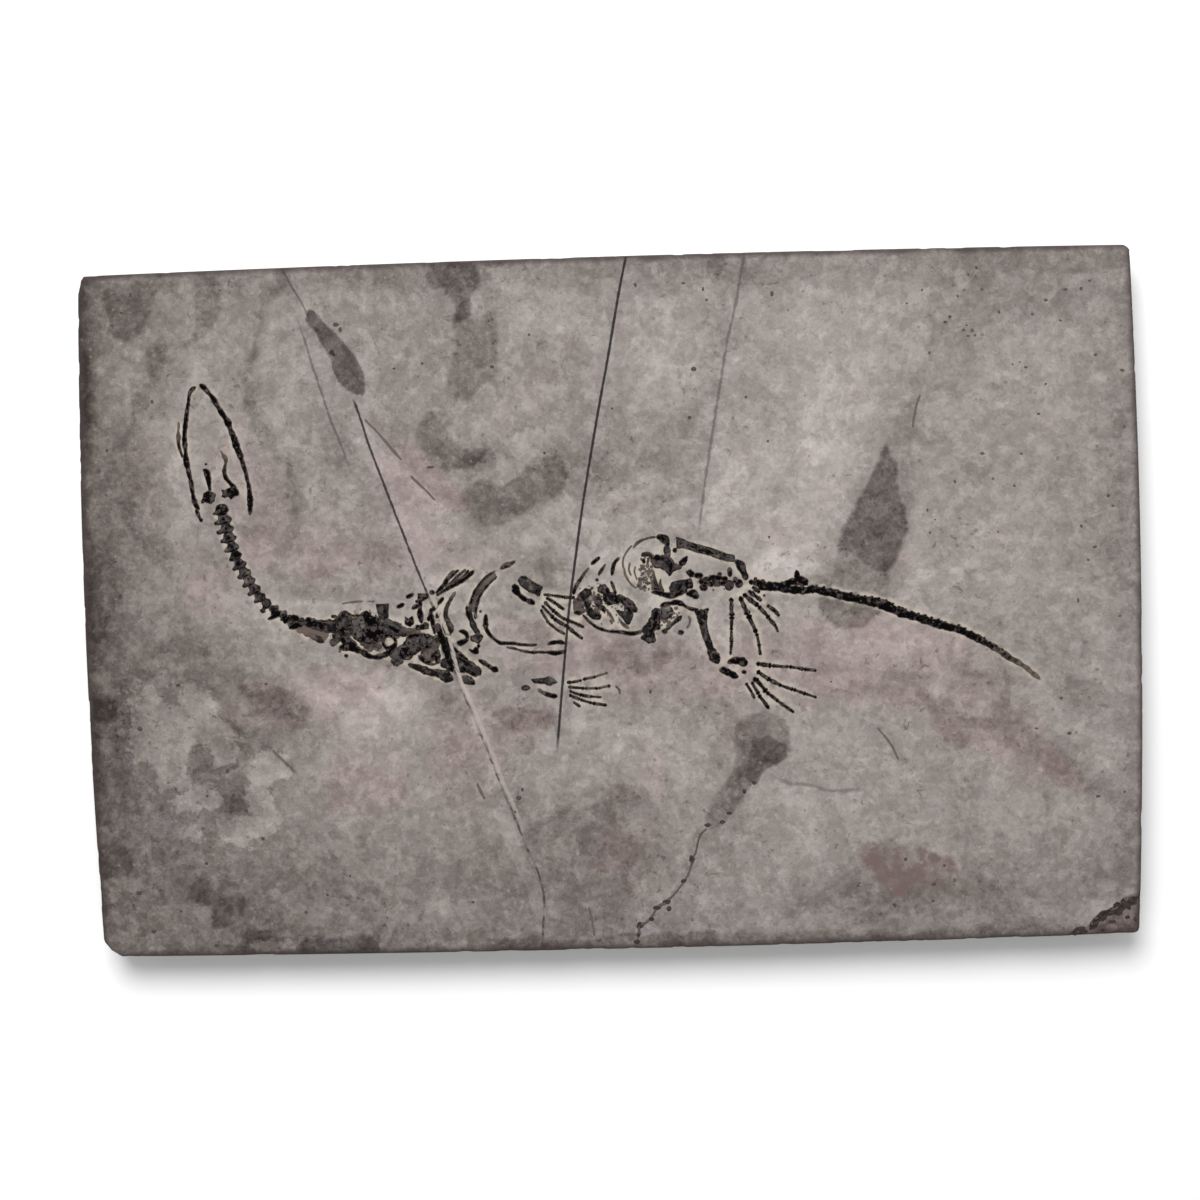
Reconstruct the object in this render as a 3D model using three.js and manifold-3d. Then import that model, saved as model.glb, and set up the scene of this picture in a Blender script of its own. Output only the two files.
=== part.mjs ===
// A fossil slab: a sawn plate of limestone that lies flat, with the flattened skeleton of a small
// long-necked marine reptile in a shallow bed on its upper face.
//
// Frame: +X along the slab towards the tip of the tail, +Y across it towards the snout's side,
// +Z up, millimetres. The origin is at the middle of the flat underside.
//
// The bones are low relief: each is a flat plan shape, raised with bevelled edges, that rests on the
// floor of the bed and stands a little proud of the slab's face. Hands, feet and tail are plain solids
// of the outline that their many small bones fill.

import * as THREE from 'three';
import { mergeVertices } from 'three/addons/utils/BufferGeometryUtils.js';
import Module from 'manifold-3d';

// ---------------------------------------------------------------- driving dimensions

const CORNER_X = 105;          // half length of the slab, measured at its corners
const CORNER_Y = 69;           // half width of the slab, measured at its corners
const BOW_SHORT_SIDE = 1.4;    // how far the two short sides bulge out at their middle
const BOW_LONG_SIDE = 0.8;     // the same for the two long sides
const SIDE_STEPS = 8;          // straight facets along each bowed side
const THICKNESS = 12;          // of the slab
const SLAB_BEVEL = 0.5;        // rubbed-down arris around both faces

const BED_DEPTH = 0.6;         // of the prepared bed around the skeleton
const BED_STEPS = 88;          // facets around the bed's wall

const TIP_REACH = 0.35;        // how far a bone's rounded end passes its last station, in widths
const BONE_BEVEL = 0.16;       // largest bevel on a bone's edges
const BEVEL_SHARE = 0.22;      // and never more than this share of the bone's width

// How far the bones stand above the slab's face.
const PROUD_THICK = 0.55;      // girdles, limb bones and crushed masses
const PROUD_NECK = 0.5;        // vertebrae
const PROUD_JAW = 0.45;
const PROUD_RIB = 0.35;
const PROUD_FAN = 0.25;        // hands and feet

const NECK_COUNT = 16;
const NECK_PITCH = 1.94;       // from one vertebra's middle to the next

const STONE = { color: 0x8b837e, roughness: 0.9, metalness: 0 };
const BONE = { color: 0x29232a, roughness: 0.55, metalness: 0 };

const object = new THREE.Group();
const wasm = await Module();
wasm.setup();

// ---------------------------------------------------------------- helpers

function addMesh(name, geometry, finish) {
  const mesh = new THREE.Mesh(geometry, new THREE.MeshStandardMaterial(finish));
  mesh.name = name;
  object.add(mesh);
  return mesh;
}

function shapeOf(points) {
  return new THREE.Shape(points.map(([x, y]) => new THREE.Vector2(x, y)));
}

// Raises a plan shape into a plate with bevelled edges that keeps the shape's full width between
// the bevels. Its lowest face is at z = 0 and its top at z = height.
function bevelledPlate(shape, height, bevel) {
  const geometry = new THREE.ExtrudeGeometry(shape, {
    depth: height - 2 * bevel,
    bevelEnabled: true,
    bevelThickness: bevel,
    bevelSize: bevel,
    bevelOffset: -bevel,
    bevelSegments: 1,
    steps: 1,
  });
  geometry.translate(0, 0, bevel);
  return geometry;
}

// Puts a bone's plan shape on the floor of the bed.
function addBone(name, shape, proud, bevel = BONE_BEVEL) {
  const mesh = addMesh(name, bevelledPlate(shape, BED_DEPTH + proud, bevel), BONE);
  mesh.position.z = THICKNESS - BED_DEPTH;
}

// A bone drawn as one stroke. Stations are [x, y, width]; a spline runs through them, and the
// outline keeps half the width on each side of it, with a pointed-round tip at both ends.
function strokeShape(stations, steps) {
  const spline = new THREE.CatmullRomCurve3(stations.map((s) => new THREE.Vector3(...s)), false, 'centripetal');
  const left = [];
  const right = [];
  const tips = [];
  for (let i = 0; i <= steps; i += 1) {
    const at = spline.getPoint(i / steps);
    const along = spline.getTangent(i / steps).setZ(0).normalize();
    const half = at.z / 2;
    left.push([at.x - along.y * half, at.y + along.x * half]);
    right.push([at.x + along.y * half, at.y - along.x * half]);
    if (i === 0 || i === steps) {
      const reach = (i === 0 ? -1 : 1) * TIP_REACH * at.z;
      tips.push([at.x + along.x * reach, at.y + along.y * reach]);
    }
  }
  return shapeOf([tips[0], ...right, tips[1], ...left.reverse()]);
}

function addStroke(name, stations, proud, steps = stations.length) {
  const narrowest = Math.min(...stations.map(([, , width]) => width));
  addBone(name, strokeShape(stations, steps), proud, Math.min(BONE_BEVEL, BEVEL_SHARE * narrowest));
}

// A bone or a crushed group of bones given by its outline.
function addOutline(name, points, proud) {
  addBone(name, shapeOf(points), proud);
}

// ---------------------------------------------------------------- the slab

// Sawn by hand, so each side bulges slightly, and every corner is chipped differently: a cut gives
// how far it reaches along the long side and along the short side.
const CORNER_CUTS = [
  { x: 1, y: 1, along: 1.2, down: 1.0 },
  { x: -1, y: 1, along: 0.6, down: 2.6 },
  { x: -1, y: -1, along: 3.2, down: 2.4 },
  { x: 1, y: -1, along: 1.6, down: 1.2 },
];

function slabOutline() {
  const points = [];
  CORNER_CUTS.forEach((corner, i) => {
    const next = CORNER_CUTS[(i + 1) % CORNER_CUTS.length];
    const longSide = corner.y === next.y;
    const start = longSide ? corner.x * (CORNER_X - corner.along) : corner.y * (CORNER_Y - corner.down);
    const end = longSide ? next.x * (CORNER_X - next.along) : next.y * (CORNER_Y - next.down);
    const half = longSide ? CORNER_X : CORNER_Y;
    for (let k = 0; k <= SIDE_STEPS; k += 1) {
      const t = start + ((end - start) * k) / SIDE_STEPS;
      const swell = 1 - (t / half) ** 2;
      if (longSide) points.push([t, corner.y * (CORNER_Y + BOW_LONG_SIDE * swell)]);
      else points.push([corner.x * (CORNER_X + BOW_SHORT_SIDE * swell), t]);
    }
  });
  return points;
}

// The bed follows the skeleton at a finger's breadth: around the skull, down the neck, over the
// trunk and out along the tail, then back below the hind foot, the belly and the lower hand.
const BED_RIM = [
  [-81.5, 51.5], [-75, 46], [-70, 37], [-68, 27], [-69, 15], [-65, 6], [-57, 4.6], [-48, 5.4],
  [-40, 9.5], [-30, 12], [-18, 13], [-6, 13], [4, 16.4], [13, 17.2], [23, 14], [32, 9.6], [41, 8.8],
  [52, 3.6], [66, -1.4], [79, -7.6], [89, -15], [87, -20], [76, -14.6], [62, -8.8], [48, -5.4],
  [43.5, -9], [45, -17], [39, -25], [30, -24.6], [20, -17], [9, -13], [5, -18], [-2, -23.6],
  [-14, -22.6], [-24, -18.6], [-38, -17.4], [-52, -13], [-65, -7], [-74, 1], [-80, 10], [-87, 20],
  [-89.6, 33], [-87, 46],
];

function solidOf(geometry) {
  geometry.deleteAttribute('normal');
  geometry.deleteAttribute('uv');
  const merged = mergeVertices(geometry);
  return new wasm.Manifold(new wasm.Mesh({
    numProp: 3,
    vertProperties: new Float32Array(merged.attributes.position.array),
    triVerts: new Uint32Array(merged.index.array),
  }));
}

function geometryOf(solid) {
  const { vertProperties, triVerts } = solid.getMesh();
  const geometry = new THREE.BufferGeometry();
  geometry.setAttribute('position', new THREE.BufferAttribute(vertProperties, 3));
  geometry.setIndex(new THREE.BufferAttribute(triVerts, 1));
  geometry.computeVertexNormals();
  return geometry;
}

function addSlab() {
  const plate = bevelledPlate(shapeOf(slabOutline()), THICKNESS, SLAB_BEVEL);
  const rim = new THREE.CatmullRomCurve3(BED_RIM.map(([x, y]) => new THREE.Vector3(x, y, 0)), true, 'centripetal');
  const rimPoints = rim.getPoints(BED_STEPS).slice(0, -1).map((p) => [p.x, p.y]);
  const bed = new THREE.ExtrudeGeometry(shapeOf(rimPoints), { depth: 2 * BED_DEPTH, bevelEnabled: false });
  bed.translate(0, 0, THICKNESS - BED_DEPTH);
  addMesh('slab', geometryOf(solidOf(plate).subtract(solidOf(bed))), STONE);
}

// ---------------------------------------------------------------- skull

function addSkull() {
  addStroke('jaw_left', [
    [-82.2, 46.2, 0.7], [-83.4, 44.6, 0.8], [-84.0, 41.2, 0.8], [-84.6, 37, 0.8], [-84.7, 33, 0.9],
    [-84.3, 29.6, 0.9], [-83.7, 26, 0.8], [-83.0, 22.8, 0.9], [-82.1, 19.6, 0.7],
  ], PROUD_JAW);
  addStroke('jaw_right', [
    [-81.2, 46.6, 0.6], [-79.4, 44.9, 0.8], [-77.8, 42.3, 0.8], [-76.0, 39.1, 1.0], [-74.6, 35.2, 1.1],
    [-73.4, 31.4, 0.9], [-72.3, 27, 0.7], [-71.95, 23, 0.8], [-72.1, 20.3, 0.7],
  ], PROUD_JAW);
  addStroke('quadrate_left', [
    [-81.0, 29.5, 0.7], [-80.3, 28.6, 0.9], [-80.1, 26.8, 0.6], [-80.1, 25.4, 1.2], [-80.3, 24.2, 2.6],
    [-80.3, 23.3, 2.2],
  ], PROUD_THICK, 7);
  addOutline('quadrate_right', [
    [-77.0, 32.4], [-76.2, 32.0], [-76.3, 30.2], [-76.4, 28.2], [-75.2, 26.6], [-74.1, 24.5], [-75.0, 24.2],
    [-75.9, 23.6], [-76.6, 24.1], [-77.7, 24.2], [-77.5, 25.3], [-76.1, 25.6], [-76.9, 27.4], [-77.3, 29.2],
    [-77.0, 30.6],
  ], PROUD_THICK);
}

// ---------------------------------------------------------------- neck

// The middle line of the neck, from the back of the skull to the shoulder.
const NECK_LINE = [
  [-77.7, 21.4], [-76.9, 18], [-75.7, 13.8], [-74.0, 9.8], [-71.9, 6.0], [-69.9, 2.8], [-67.4, 0.5],
  [-64.8, -0.9], [-61.6, -1.9], [-58.0, -2.5],
];

// One vertebra in plan: [towards the tail, sideways]. Its side processes are at the front half.
const VERTEBRA = [
  [-0.76, 0.72], [-0.5, 1.55], [0.1, 0.95], [0.74, 0.62], [0.74, -0.62], [0.1, -0.95], [-0.5, -1.55],
  [-0.76, -0.72],
];

function addNeck() {
  const line = new THREE.CatmullRomCurve3(NECK_LINE.map(([x, y]) => new THREE.Vector3(x, y, 0)), false, 'centripetal');
  const length = line.getLength();
  for (let i = 0; i < NECK_COUNT; i += 1) {
    const u = (i * NECK_PITCH) / length;
    const middle = line.getPointAt(u);
    const along = line.getTangentAt(u);
    const points = VERTEBRA.map(([back, side]) => [
      middle.x + along.x * back - along.y * side,
      middle.y + along.y * back + along.x * side,
    ]);
    addOutline(`neck_${String(i + 1).padStart(2, '0')}`, points, PROUD_NECK);
  }
}

// ---------------------------------------------------------------- shoulder

function addShoulder() {
  addOutline('shoulder_mass', [
    [-58.0, -2.2], [-55.7, -1.9], [-55.2, -0.3], [-53.6, 0.2], [-52, -0.5], [-50, -0.3], [-48.8, 0.2],
    [-47.6, -1.2], [-46.6, -1.9], [-45, -1.9], [-43, -2.4], [-41.9, -3.6], [-42.2, -4.5], [-45.8, -4.6],
    [-46.8, -5.9], [-48.5, -6.6], [-51.0, -6.2], [-51.4, -7.3], [-54.6, -7.4], [-54.3, -5.9], [-55.2, -4.6],
    [-58.1, -3.5],
  ], PROUD_THICK);
  addOutline('shoulder_block', [
    [-47.1, 1.4], [-46.9, -0.2], [-46.5, -1.3], [-45.2, -1.3], [-44.8, -0.3], [-44.7, 1.4],
  ], PROUD_THICK);
  addStroke('clavicle', [
    [-50.0, -7.9, 0.6], [-48.7, -8.8, 0.7], [-47.0, -9.0, 0.7], [-45.7, -8.4, 0.7],
  ], PROUD_RIB);
  addOutline('coracoid', [
    [-44.7, -9.0], [-44.2, -7.7], [-43.3, -6.9], [-42.5, -7.2], [-41.6, -6.6], [-40.9, -5.1], [-39.3, -5.1],
    [-37.8, -4.9], [-36.6, -5.4], [-36.0, -6.2], [-36.4, -6.8], [-37.6, -7.0], [-38.8, -8.0], [-39.4, -9.0],
    [-40.6, -9.7], [-42.4, -10.3], [-43.6, -10.8], [-44.4, -10.2],
  ], PROUD_THICK);
  addOutline('scapula', [
    [-38.9, -9.2], [-38.3, -8.3], [-37.2, -7.5], [-36.0, -7.4], [-35.1, -8.0], [-34.6, -9.0], [-34.6, -10.0],
    [-35.3, -10.9], [-36.6, -10.8], [-37.9, -10.3],
  ], PROUD_THICK);
  addStroke('humerus_lower', [
    [-41.0, -11.2, 0.9], [-39, -11.8, 1.3], [-36.5, -12.6, 1.5], [-34.2, -13.2, 1.6], [-32.6, -13.6, 1.4],
  ], PROUD_THICK);
  addOutline('humerus_upper', [
    [-31.4, -9.9], [-30.2, -10.0], [-28.5, -10.8], [-27.2, -11.7], [-26.4, -12.4], [-26.7, -13.5],
    [-28.8, -12.7], [-31.2, -12.0],
  ], PROUD_THICK);
}

// ---------------------------------------------------------------- ribs

function addRibs() {
  const ribs = [
    // two leaf-shaped ribs above the shoulder
    [[-35.2, 3.5, 0.45], [-33.8, 4.7, 0.6], [-32.6, 5.9, 0.7], [-31.7, 7, 0.8], [-30.4, 7.8, 0.5]],
    [[-34.4, 2.6, 0.45], [-33.2, 3.7, 0.6], [-31.2, 4.9, 0.8], [-29.4, 6.1, 1.0], [-27.6, 7.5, 0.6]],
    // a short one with a swollen head
    [[-32.8, -4.4, 1.0], [-32.7, -3.5, 1.6], [-33.0, -2.3, 1.1], [-33.3, -1, 0.9], [-32.9, 0.6, 0.8],
      [-31.5, 3.2, 0.6]],
    // one that stands upright in front of it
    [[-37.6, 2.9, 1.0], [-38.2, 1.6, 0.8], [-38.3, 0, 0.7], [-38.2, -1.6, 0.7], [-38.0, -3.2, 1.2]],
    // the stout one that passes down between the upper arm bones
    [[-34.9, -2.8, 0.8], [-34.5, -4.5, 1.0], [-33.9, -6.4, 1.0], [-33.3, -8.2, 1.1], [-32.7, -10.2, 1.1],
      [-32.4, -11.5, 0.8]],
    // the wide arc behind the shoulder
    [[-19.0, 9.3, 0.5], [-21.4, 8.2, 0.6], [-23.8, 6.4, 0.9], [-25.8, 4.2, 1.2], [-27.3, 1.6, 1.3],
      [-27.9, -0.9, 1.1], [-27.3, -3.5, 0.8], [-26.1, -5.1, 0.9]],
    // two long fine belly ribs
    [[-25.0, -1.0, 0.7], [-25.2, -2.6, 0.8], [-24.8, -4.5, 0.8], [-23.2, -6.3, 0.6], [-20, -7.1, 0.5],
      [-15, -7.5, 0.45], [-9.3, -7.3, 0.5]],
    [[-21, -8.1, 0.4], [-16, -9.0, 0.45], [-12.5, -9.2, 0.6], [-9.3, -9.0, 0.6]],
    // over and under the crushed middle of the trunk
    [[-1.8, 9.7, 0.6], [-3.3, 8.7, 0.7], [-5, 6.5, 0.5], [-6.9, 3.8, 0.5]],
    [[2.0, 9.6, 0.5], [1.1, 8.5, 0.6], [0.6, 6.8, 0.6], [0.2, 5, 0.5]],
    [[-5.5, -2.0, 0.45], [-3.4, -3.8, 0.45], [-1.2, -4.9, 0.5], [1.8, -5.35, 0.5], [5.3, -5.6, 0.5]],
  ];
  ribs.forEach((stations, i) => {
    addStroke(`rib_${String(i + 1).padStart(2, '0')}`, stations, PROUD_RIB);
  });
}

// ---------------------------------------------------------------- forelimbs

function addForelimbs() {
  addOutline('radius_upper', [
    [-18.4, 5.7], [-17.6, 6.3], [-16.8, 6.2], [-15.8, 5.3], [-13.6, 4.0], [-14.1, 2.6], [-16.3, 3.4],
    [-17.4, 4.3],
  ], PROUD_THICK);
  addStroke('ulna_upper', [
    [-19.3, 4.2, 1.1], [-18.6, 3.1, 0.9], [-17.4, 1.9, 0.8], [-15.5, 1.0, 0.8],
  ], PROUD_RIB);
  addOutline('hand_upper', [
    [-13.3, 2.9], [-8.3, 2.3], [-8.2, -1.6], [-5.4, -4.1], [-5.7, -6.5], [-6.6, -6.3], [-9.4, -5.7],
    [-12.5, -3.9], [-14.3, -0.6], [-14.1, 1.6],
  ], PROUD_FAN);
  addOutline('radius_lower', [
    [-16.3, -14.4], [-14.5, -14.2], [-12.8, -14.2], [-11.9, -14.7], [-12.1, -15.6], [-14, -15.4],
    [-15.8, -15.4],
  ], PROUD_RIB);
  addStroke('ulna_lower', [
    [-15.0, -16.5, 0.6], [-14.2, -17.1, 0.7], [-12.8, -17.7, 0.7], [-11.2, -18.0, 0.5],
  ], PROUD_RIB);
  addOutline('hand_lower', [
    [-9.3, -14.9], [-6.3, -14.6], [-1, -13.3], [-0.3, -13.9], [1.8, -17.4], [1.3, -18.1], [-1.0, -20.4],
    [-6.4, -20.5], [-8.1, -19.6], [-9.3, -17.8],
  ], PROUD_FAN);
}

// ---------------------------------------------------------------- trunk and pelvis

function addTrunkAndPelvis() {
  addOutline('trunk_mass', [
    [-7.5, -1.2], [-7.3, 0.9], [-6.7, 2.3], [-5.6, 3.3], [-3.4, 3.4], [-2, 4.2], [-0.9, 4.2], [-0.4, 3.3],
    [2.8, 1.7], [4.4, 0.1], [5.4, -1.0], [4.6, -2.6], [3.5, -3.9], [1.0, -1.0], [-0.4, 0.4], [-1.2, -1.0],
    [-3.3, -2.6], [-5.6, -1.0],
  ], PROUD_THICK);
  addStroke('pelvis_arch', [
    [5.0, 11.3, 0.5], [6.3, 12.7, 0.6], [8.2, 13.35, 0.6], [10, 13.6, 0.9], [11.4, 13.0, 1.1],
    [12.05, 11.6, 1.1], [12.1, 10.4, 0.9],
  ], PROUD_RIB);
  addOutline('pelvis_plate', [
    [8.7, 9.0], [10.3, 9.7], [11.3, 9.2], [12.3, 9.4], [13.3, 7.9], [14, 7.3], [12.7, 7], [12.2, 5.9],
    [11.7, 5.7], [11.3, 6.8], [9.6, 7.2], [8.3, 8.2],
  ], PROUD_THICK);
  addOutline('pelvis_cup', [
    [8.4, 6.4], [9.2, 6.6], [10.1, 3.8], [10.8, 2.8], [12.2, 2.9], [13, 3.9], [15.2, 4.8], [16.1, 4.7],
    [16.6, 3.9], [15.2, 2.0], [13.8, 1.4], [12, 1.3], [10.3, 1.7], [9.2, 2.8], [8.6, 4.6],
  ], PROUD_THICK);
  addStroke('pelvis_bar', [
    [9.9, -0.2, 0.6], [11.3, 0.15, 0.7], [13.2, 0.2, 0.7], [14.8, -0.4, 0.6], [16.1, -1.0, 0.5],
  ], PROUD_RIB);
  addOutline('pelvis_keel', [
    [8.2, -2.3], [8.8, -1.5], [9.9, -1.2], [12.4, -1.2], [13, -1.8], [12.3, -2.9], [10.2, -3.3],
    [9.9, -4.3], [8.9, -5.2], [8.5, -7.7], [7.2, -7.8], [6.1, -7.2], [7.2, -5.9], [7, -4.2],
  ], PROUD_THICK);
  addStroke('sacrum', [
    [17.8, 3.7, 1.4], [19.2, 3.8, 1.8], [20.8, 4.4, 1.8], [22.4, 4.3, 1.8], [24.1, 4.2, 2.2],
    [25.7, 4.0, 1.3],
  ], PROUD_NECK);
}

// ---------------------------------------------------------------- hind limbs and tail

function addHindLimbs() {
  addOutline('femur_upper', [
    [13.7, 13.4], [14.9, 12.9], [16.5, 12.2], [20.5, 11], [25.2, 9.3], [25.1, 8.4], [22.3, 8.9],
    [19.5, 9.9], [16, 11], [13.8, 11.2],
  ], PROUD_THICK);
  addOutline('shin_upper', [
    [25.6, 8.1], [26.5, 8.2], [27.1, 7.2], [27.8, 5.2], [27.3, 4.5], [26.8, 4.9], [25.9, 7.0],
  ], PROUD_THICK);
  addOutline('foot_upper', [
    [24.0, 1.1], [26.0, 1.6], [27.6, 2.6], [28.8, 2.5], [30.3, 1.6], [32.0, 0.0], [34.0, -2.6],
    [33.8, -6.1], [33.2, -6.2], [30.3, -10.6], [29.7, -10.7], [24.3, -10.5], [23.6, -10.3],
  ], PROUD_FAN);
  addOutline('femur_lower', [
    [17.2, -1.4], [18.3, -1.6], [19.6, -1.2], [19.1, -4], [19.7, -7], [20.5, -9.5], [22.0, -11.8],
    [21.4, -12.4], [20.7, -12.7], [19.9, -10], [18.2, -5.8], [17.3, -2.8],
  ], PROUD_THICK);
  addStroke('tibia_lower', [
    [23.9, -12.0, 0.8], [25.3, -11.75, 0.8], [26.6, -12.1, 1.2],
  ], PROUD_RIB, 4);
  addStroke('fibula_lower', [
    [22.0, -13.7, 0.9], [23.5, -14.2, 1.0], [25.2, -14.9, 0.9],
  ], PROUD_RIB, 4);
  addOutline('foot_lower', [
    [28.8, -12.3], [30, -12.1], [41.2, -13.8], [41.3, -14.4], [41.1, -19.3], [40.7, -19.9], [36.5, -22.7],
    [35.9, -22.6], [31.6, -21.8], [28.8, -19.7], [28.2, -19.4], [26.8, -16.4], [28.4, -14.6],
  ], PROUD_FAN);
}

function addTail() {
  addStroke('tail', [
    [28.6, 4.0, 1.2], [31.3, 3.2, 1.6], [35, 2.6, 1.7], [39.5, 2.3, 1.8], [44.5, 1.4, 1.7],
    [50.5, -0.3, 1.6], [57.5, -2.6, 1.4], [63.5, -4.7, 1.3], [70.5, -7.0, 1.1], [75.5, -9.7, 0.9],
    [80, -12.7, 0.6], [83, -14.6, 0.45], [85.6, -16.8, 0.35],
  ], PROUD_NECK, 16);
}

addSlab();
addSkull();
addNeck();
addShoulder();
addRibs();
addForelimbs();
addTrunkAndPelvis();
addHindLimbs();
addTail();

export default object;
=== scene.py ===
# %% [markdown]
# # A fossil slab with a long-necked swimming reptile
# The real thing is a sawn plate of grey limestone that lies flat. A flattened skeleton, nearly
# black, stands a hair's breadth proud of it. The plate has cracks, pale veins and dark stains.
#
# The lesson builds it in this order: camera and light, a few tools for curves and noise, the cracks,
# the plan of the skeleton, the stone, the two materials, and last the bones, which are raised from
# the plan onto the stone.

import math

import bpy
import numpy as np
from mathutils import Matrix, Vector


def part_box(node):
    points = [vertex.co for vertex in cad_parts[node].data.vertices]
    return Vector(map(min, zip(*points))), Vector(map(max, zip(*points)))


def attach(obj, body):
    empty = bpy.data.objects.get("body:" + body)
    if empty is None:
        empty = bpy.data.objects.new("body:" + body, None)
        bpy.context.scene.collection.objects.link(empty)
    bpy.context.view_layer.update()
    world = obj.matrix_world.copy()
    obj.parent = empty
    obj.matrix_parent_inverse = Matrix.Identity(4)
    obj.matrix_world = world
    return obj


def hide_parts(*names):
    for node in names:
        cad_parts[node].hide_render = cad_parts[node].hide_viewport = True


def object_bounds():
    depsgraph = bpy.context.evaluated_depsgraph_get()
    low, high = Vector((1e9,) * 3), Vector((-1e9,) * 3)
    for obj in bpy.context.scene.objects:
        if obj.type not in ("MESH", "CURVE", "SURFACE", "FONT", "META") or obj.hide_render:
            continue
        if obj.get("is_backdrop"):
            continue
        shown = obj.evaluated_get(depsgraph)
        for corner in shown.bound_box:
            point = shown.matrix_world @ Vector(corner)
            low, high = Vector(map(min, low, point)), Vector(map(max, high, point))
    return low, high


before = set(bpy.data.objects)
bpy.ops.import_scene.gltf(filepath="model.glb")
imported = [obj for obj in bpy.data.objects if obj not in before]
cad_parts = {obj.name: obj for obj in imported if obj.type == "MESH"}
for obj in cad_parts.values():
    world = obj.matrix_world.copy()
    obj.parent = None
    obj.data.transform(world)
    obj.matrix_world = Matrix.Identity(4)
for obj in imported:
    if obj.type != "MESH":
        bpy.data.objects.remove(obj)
cad_low, cad_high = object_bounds()
slab_low, slab_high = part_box("slab")

MM = 0.001
FACE = slab_high.z / MM
print("CAD box, mm:", [round(v / MM, 2) for v in (*cad_low, *cad_high)])

# %% [markdown]
# ## Camera
# The slab is seen from almost straight above, a little from the right and from the snout's side.
# The camera's place is given from the middle of the slab, so it stays right if the slab moves.
# A long lens keeps the four edges nearly parallel.

# %% Camera
EYE_FROM_MIDDLE = Vector((10.3, 27.6, 484.3)) * MM
TURN = (math.radians(-3.24), math.radians(1.40), math.radians(-1.61))
SENSOR_WIDTH = 36.0
FOCAL_LENGTH = 70.6

lens = bpy.data.cameras.new("camera")
lens.sensor_width = SENSOR_WIDTH
lens.lens = FOCAL_LENGTH
camera = bpy.data.objects.new("camera", lens)
bpy.context.scene.collection.objects.link(camera)
slab_middle = Vector(((slab_low.x + slab_high.x) / 2, (slab_low.y + slab_high.y) / 2, slab_low.z))
camera.location = slab_middle + EYE_FROM_MIDDLE
camera.rotation_euler = TURN
bpy.context.scene.camera = camera
print("camera at, mm:", [round(v / MM, 1) for v in camera.location])

# %% [markdown]
# ## Light and floor
# One wide lamp high on the snout's side gives the soft shadow that lies along the near edge. A white
# world fills in from everywhere else. The Standard view transform shows colours as they are typed,
# which helps when stone has to be a known grey.

# %% Light and floor
LAMP_HEIGHT = 60.0
LAMP_DISTANCE = 0.80
LAMP_ASIDE = -0.10
LAMP_WIDTH = 0.42
LAMP_POWER = 6.4
FILL = 0.52
FLOOR_REACH = 2.5
FLOOR_GREY = 0.9
FLOOR_ROUGHNESS = 0.8


def plain_material(name, colour, roughness):
    """A material with one colour, for things that aren't part of the object."""
    made = bpy.data.materials.new(name)
    made.use_nodes = True
    shader = made.node_tree.nodes["Principled BSDF"]
    shader.inputs["Base Color"].default_value = (*colour, 1.0)
    shader.inputs["Roughness"].default_value = roughness
    return made


lamp_data = bpy.data.lights.new("wide lamp", "AREA")
lamp_data.shape = "DISK"
lamp_data.size = LAMP_WIDTH
lamp_data.energy = LAMP_POWER
lamp = bpy.data.objects.new("wide lamp", lamp_data)
bpy.context.scene.collection.objects.link(lamp)
lift = math.radians(LAMP_HEIGHT)
lamp.location = slab_middle + LAMP_DISTANCE * Vector((LAMP_ASIDE, math.cos(lift), math.sin(lift)))
lamp.rotation_euler = (slab_middle - lamp.location).to_track_quat("-Z", "Y").to_euler()

world = bpy.data.worlds.new("white room")
world.use_nodes = True
world.node_tree.nodes["Background"].inputs["Color"].default_value = (1.0, 1.0, 1.0, 1.0)
world.node_tree.nodes["Background"].inputs["Strength"].default_value = FILL
bpy.context.scene.world = world
bpy.context.scene.view_settings.view_transform = "Standard"

floor_mesh = bpy.data.meshes.new("floor")
corners = [(sx * FLOOR_REACH, sy * FLOOR_REACH, 0.0) for sx, sy in ((-1, -1), (1, -1), (1, 1), (-1, 1))]
floor_mesh.from_pydata(corners, [], [(0, 1, 2, 3)])
floor = bpy.data.objects.new("floor", floor_mesh)
floor_mesh.materials.append(plain_material("pale floor", (FLOOR_GREY,) * 3, FLOOR_ROUGHNESS))
bpy.context.scene.collection.objects.link(floor)
floor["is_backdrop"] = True
print("lamp at, mm:", [round(v / MM) for v in lamp.location])

# %% [markdown]
# ## Curves and noise
# Every bone, crack and stain is drawn from a few stations, in millimetres on the slab's face, and a
# smooth curve runs through them. Stone and bone also need chance that comes out the same each time:
# a square lattice of random numbers, drawn once with a fixed seed, is enough for that.

# %% Smooth curves
STEPS_BETWEEN = 12


def lengths(steps):
    """How long each step [x, y] is."""
    return np.hypot(*steps.T)


def unit(steps):
    """The same steps, brought to length 1."""
    return steps / np.maximum(lengths(steps), 1e-9)[:, None]


def travelled_along(points):
    """How far along the line each of its points lies."""
    return np.concatenate([[0.0], np.cumsum(lengths(np.diff(points[:, :2], axis=0)))])


def evenly(points, pitch):
    """The same line, cut again into equal steps of about `pitch` mm; every column is interpolated."""
    travelled = travelled_along(points)
    count = max(3, int(math.ceil(travelled[-1] / pitch)) + 1)
    at = np.linspace(0.0, travelled[-1], count)
    return np.stack([np.interp(at, travelled, column) for column in points.T], axis=1)


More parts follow.
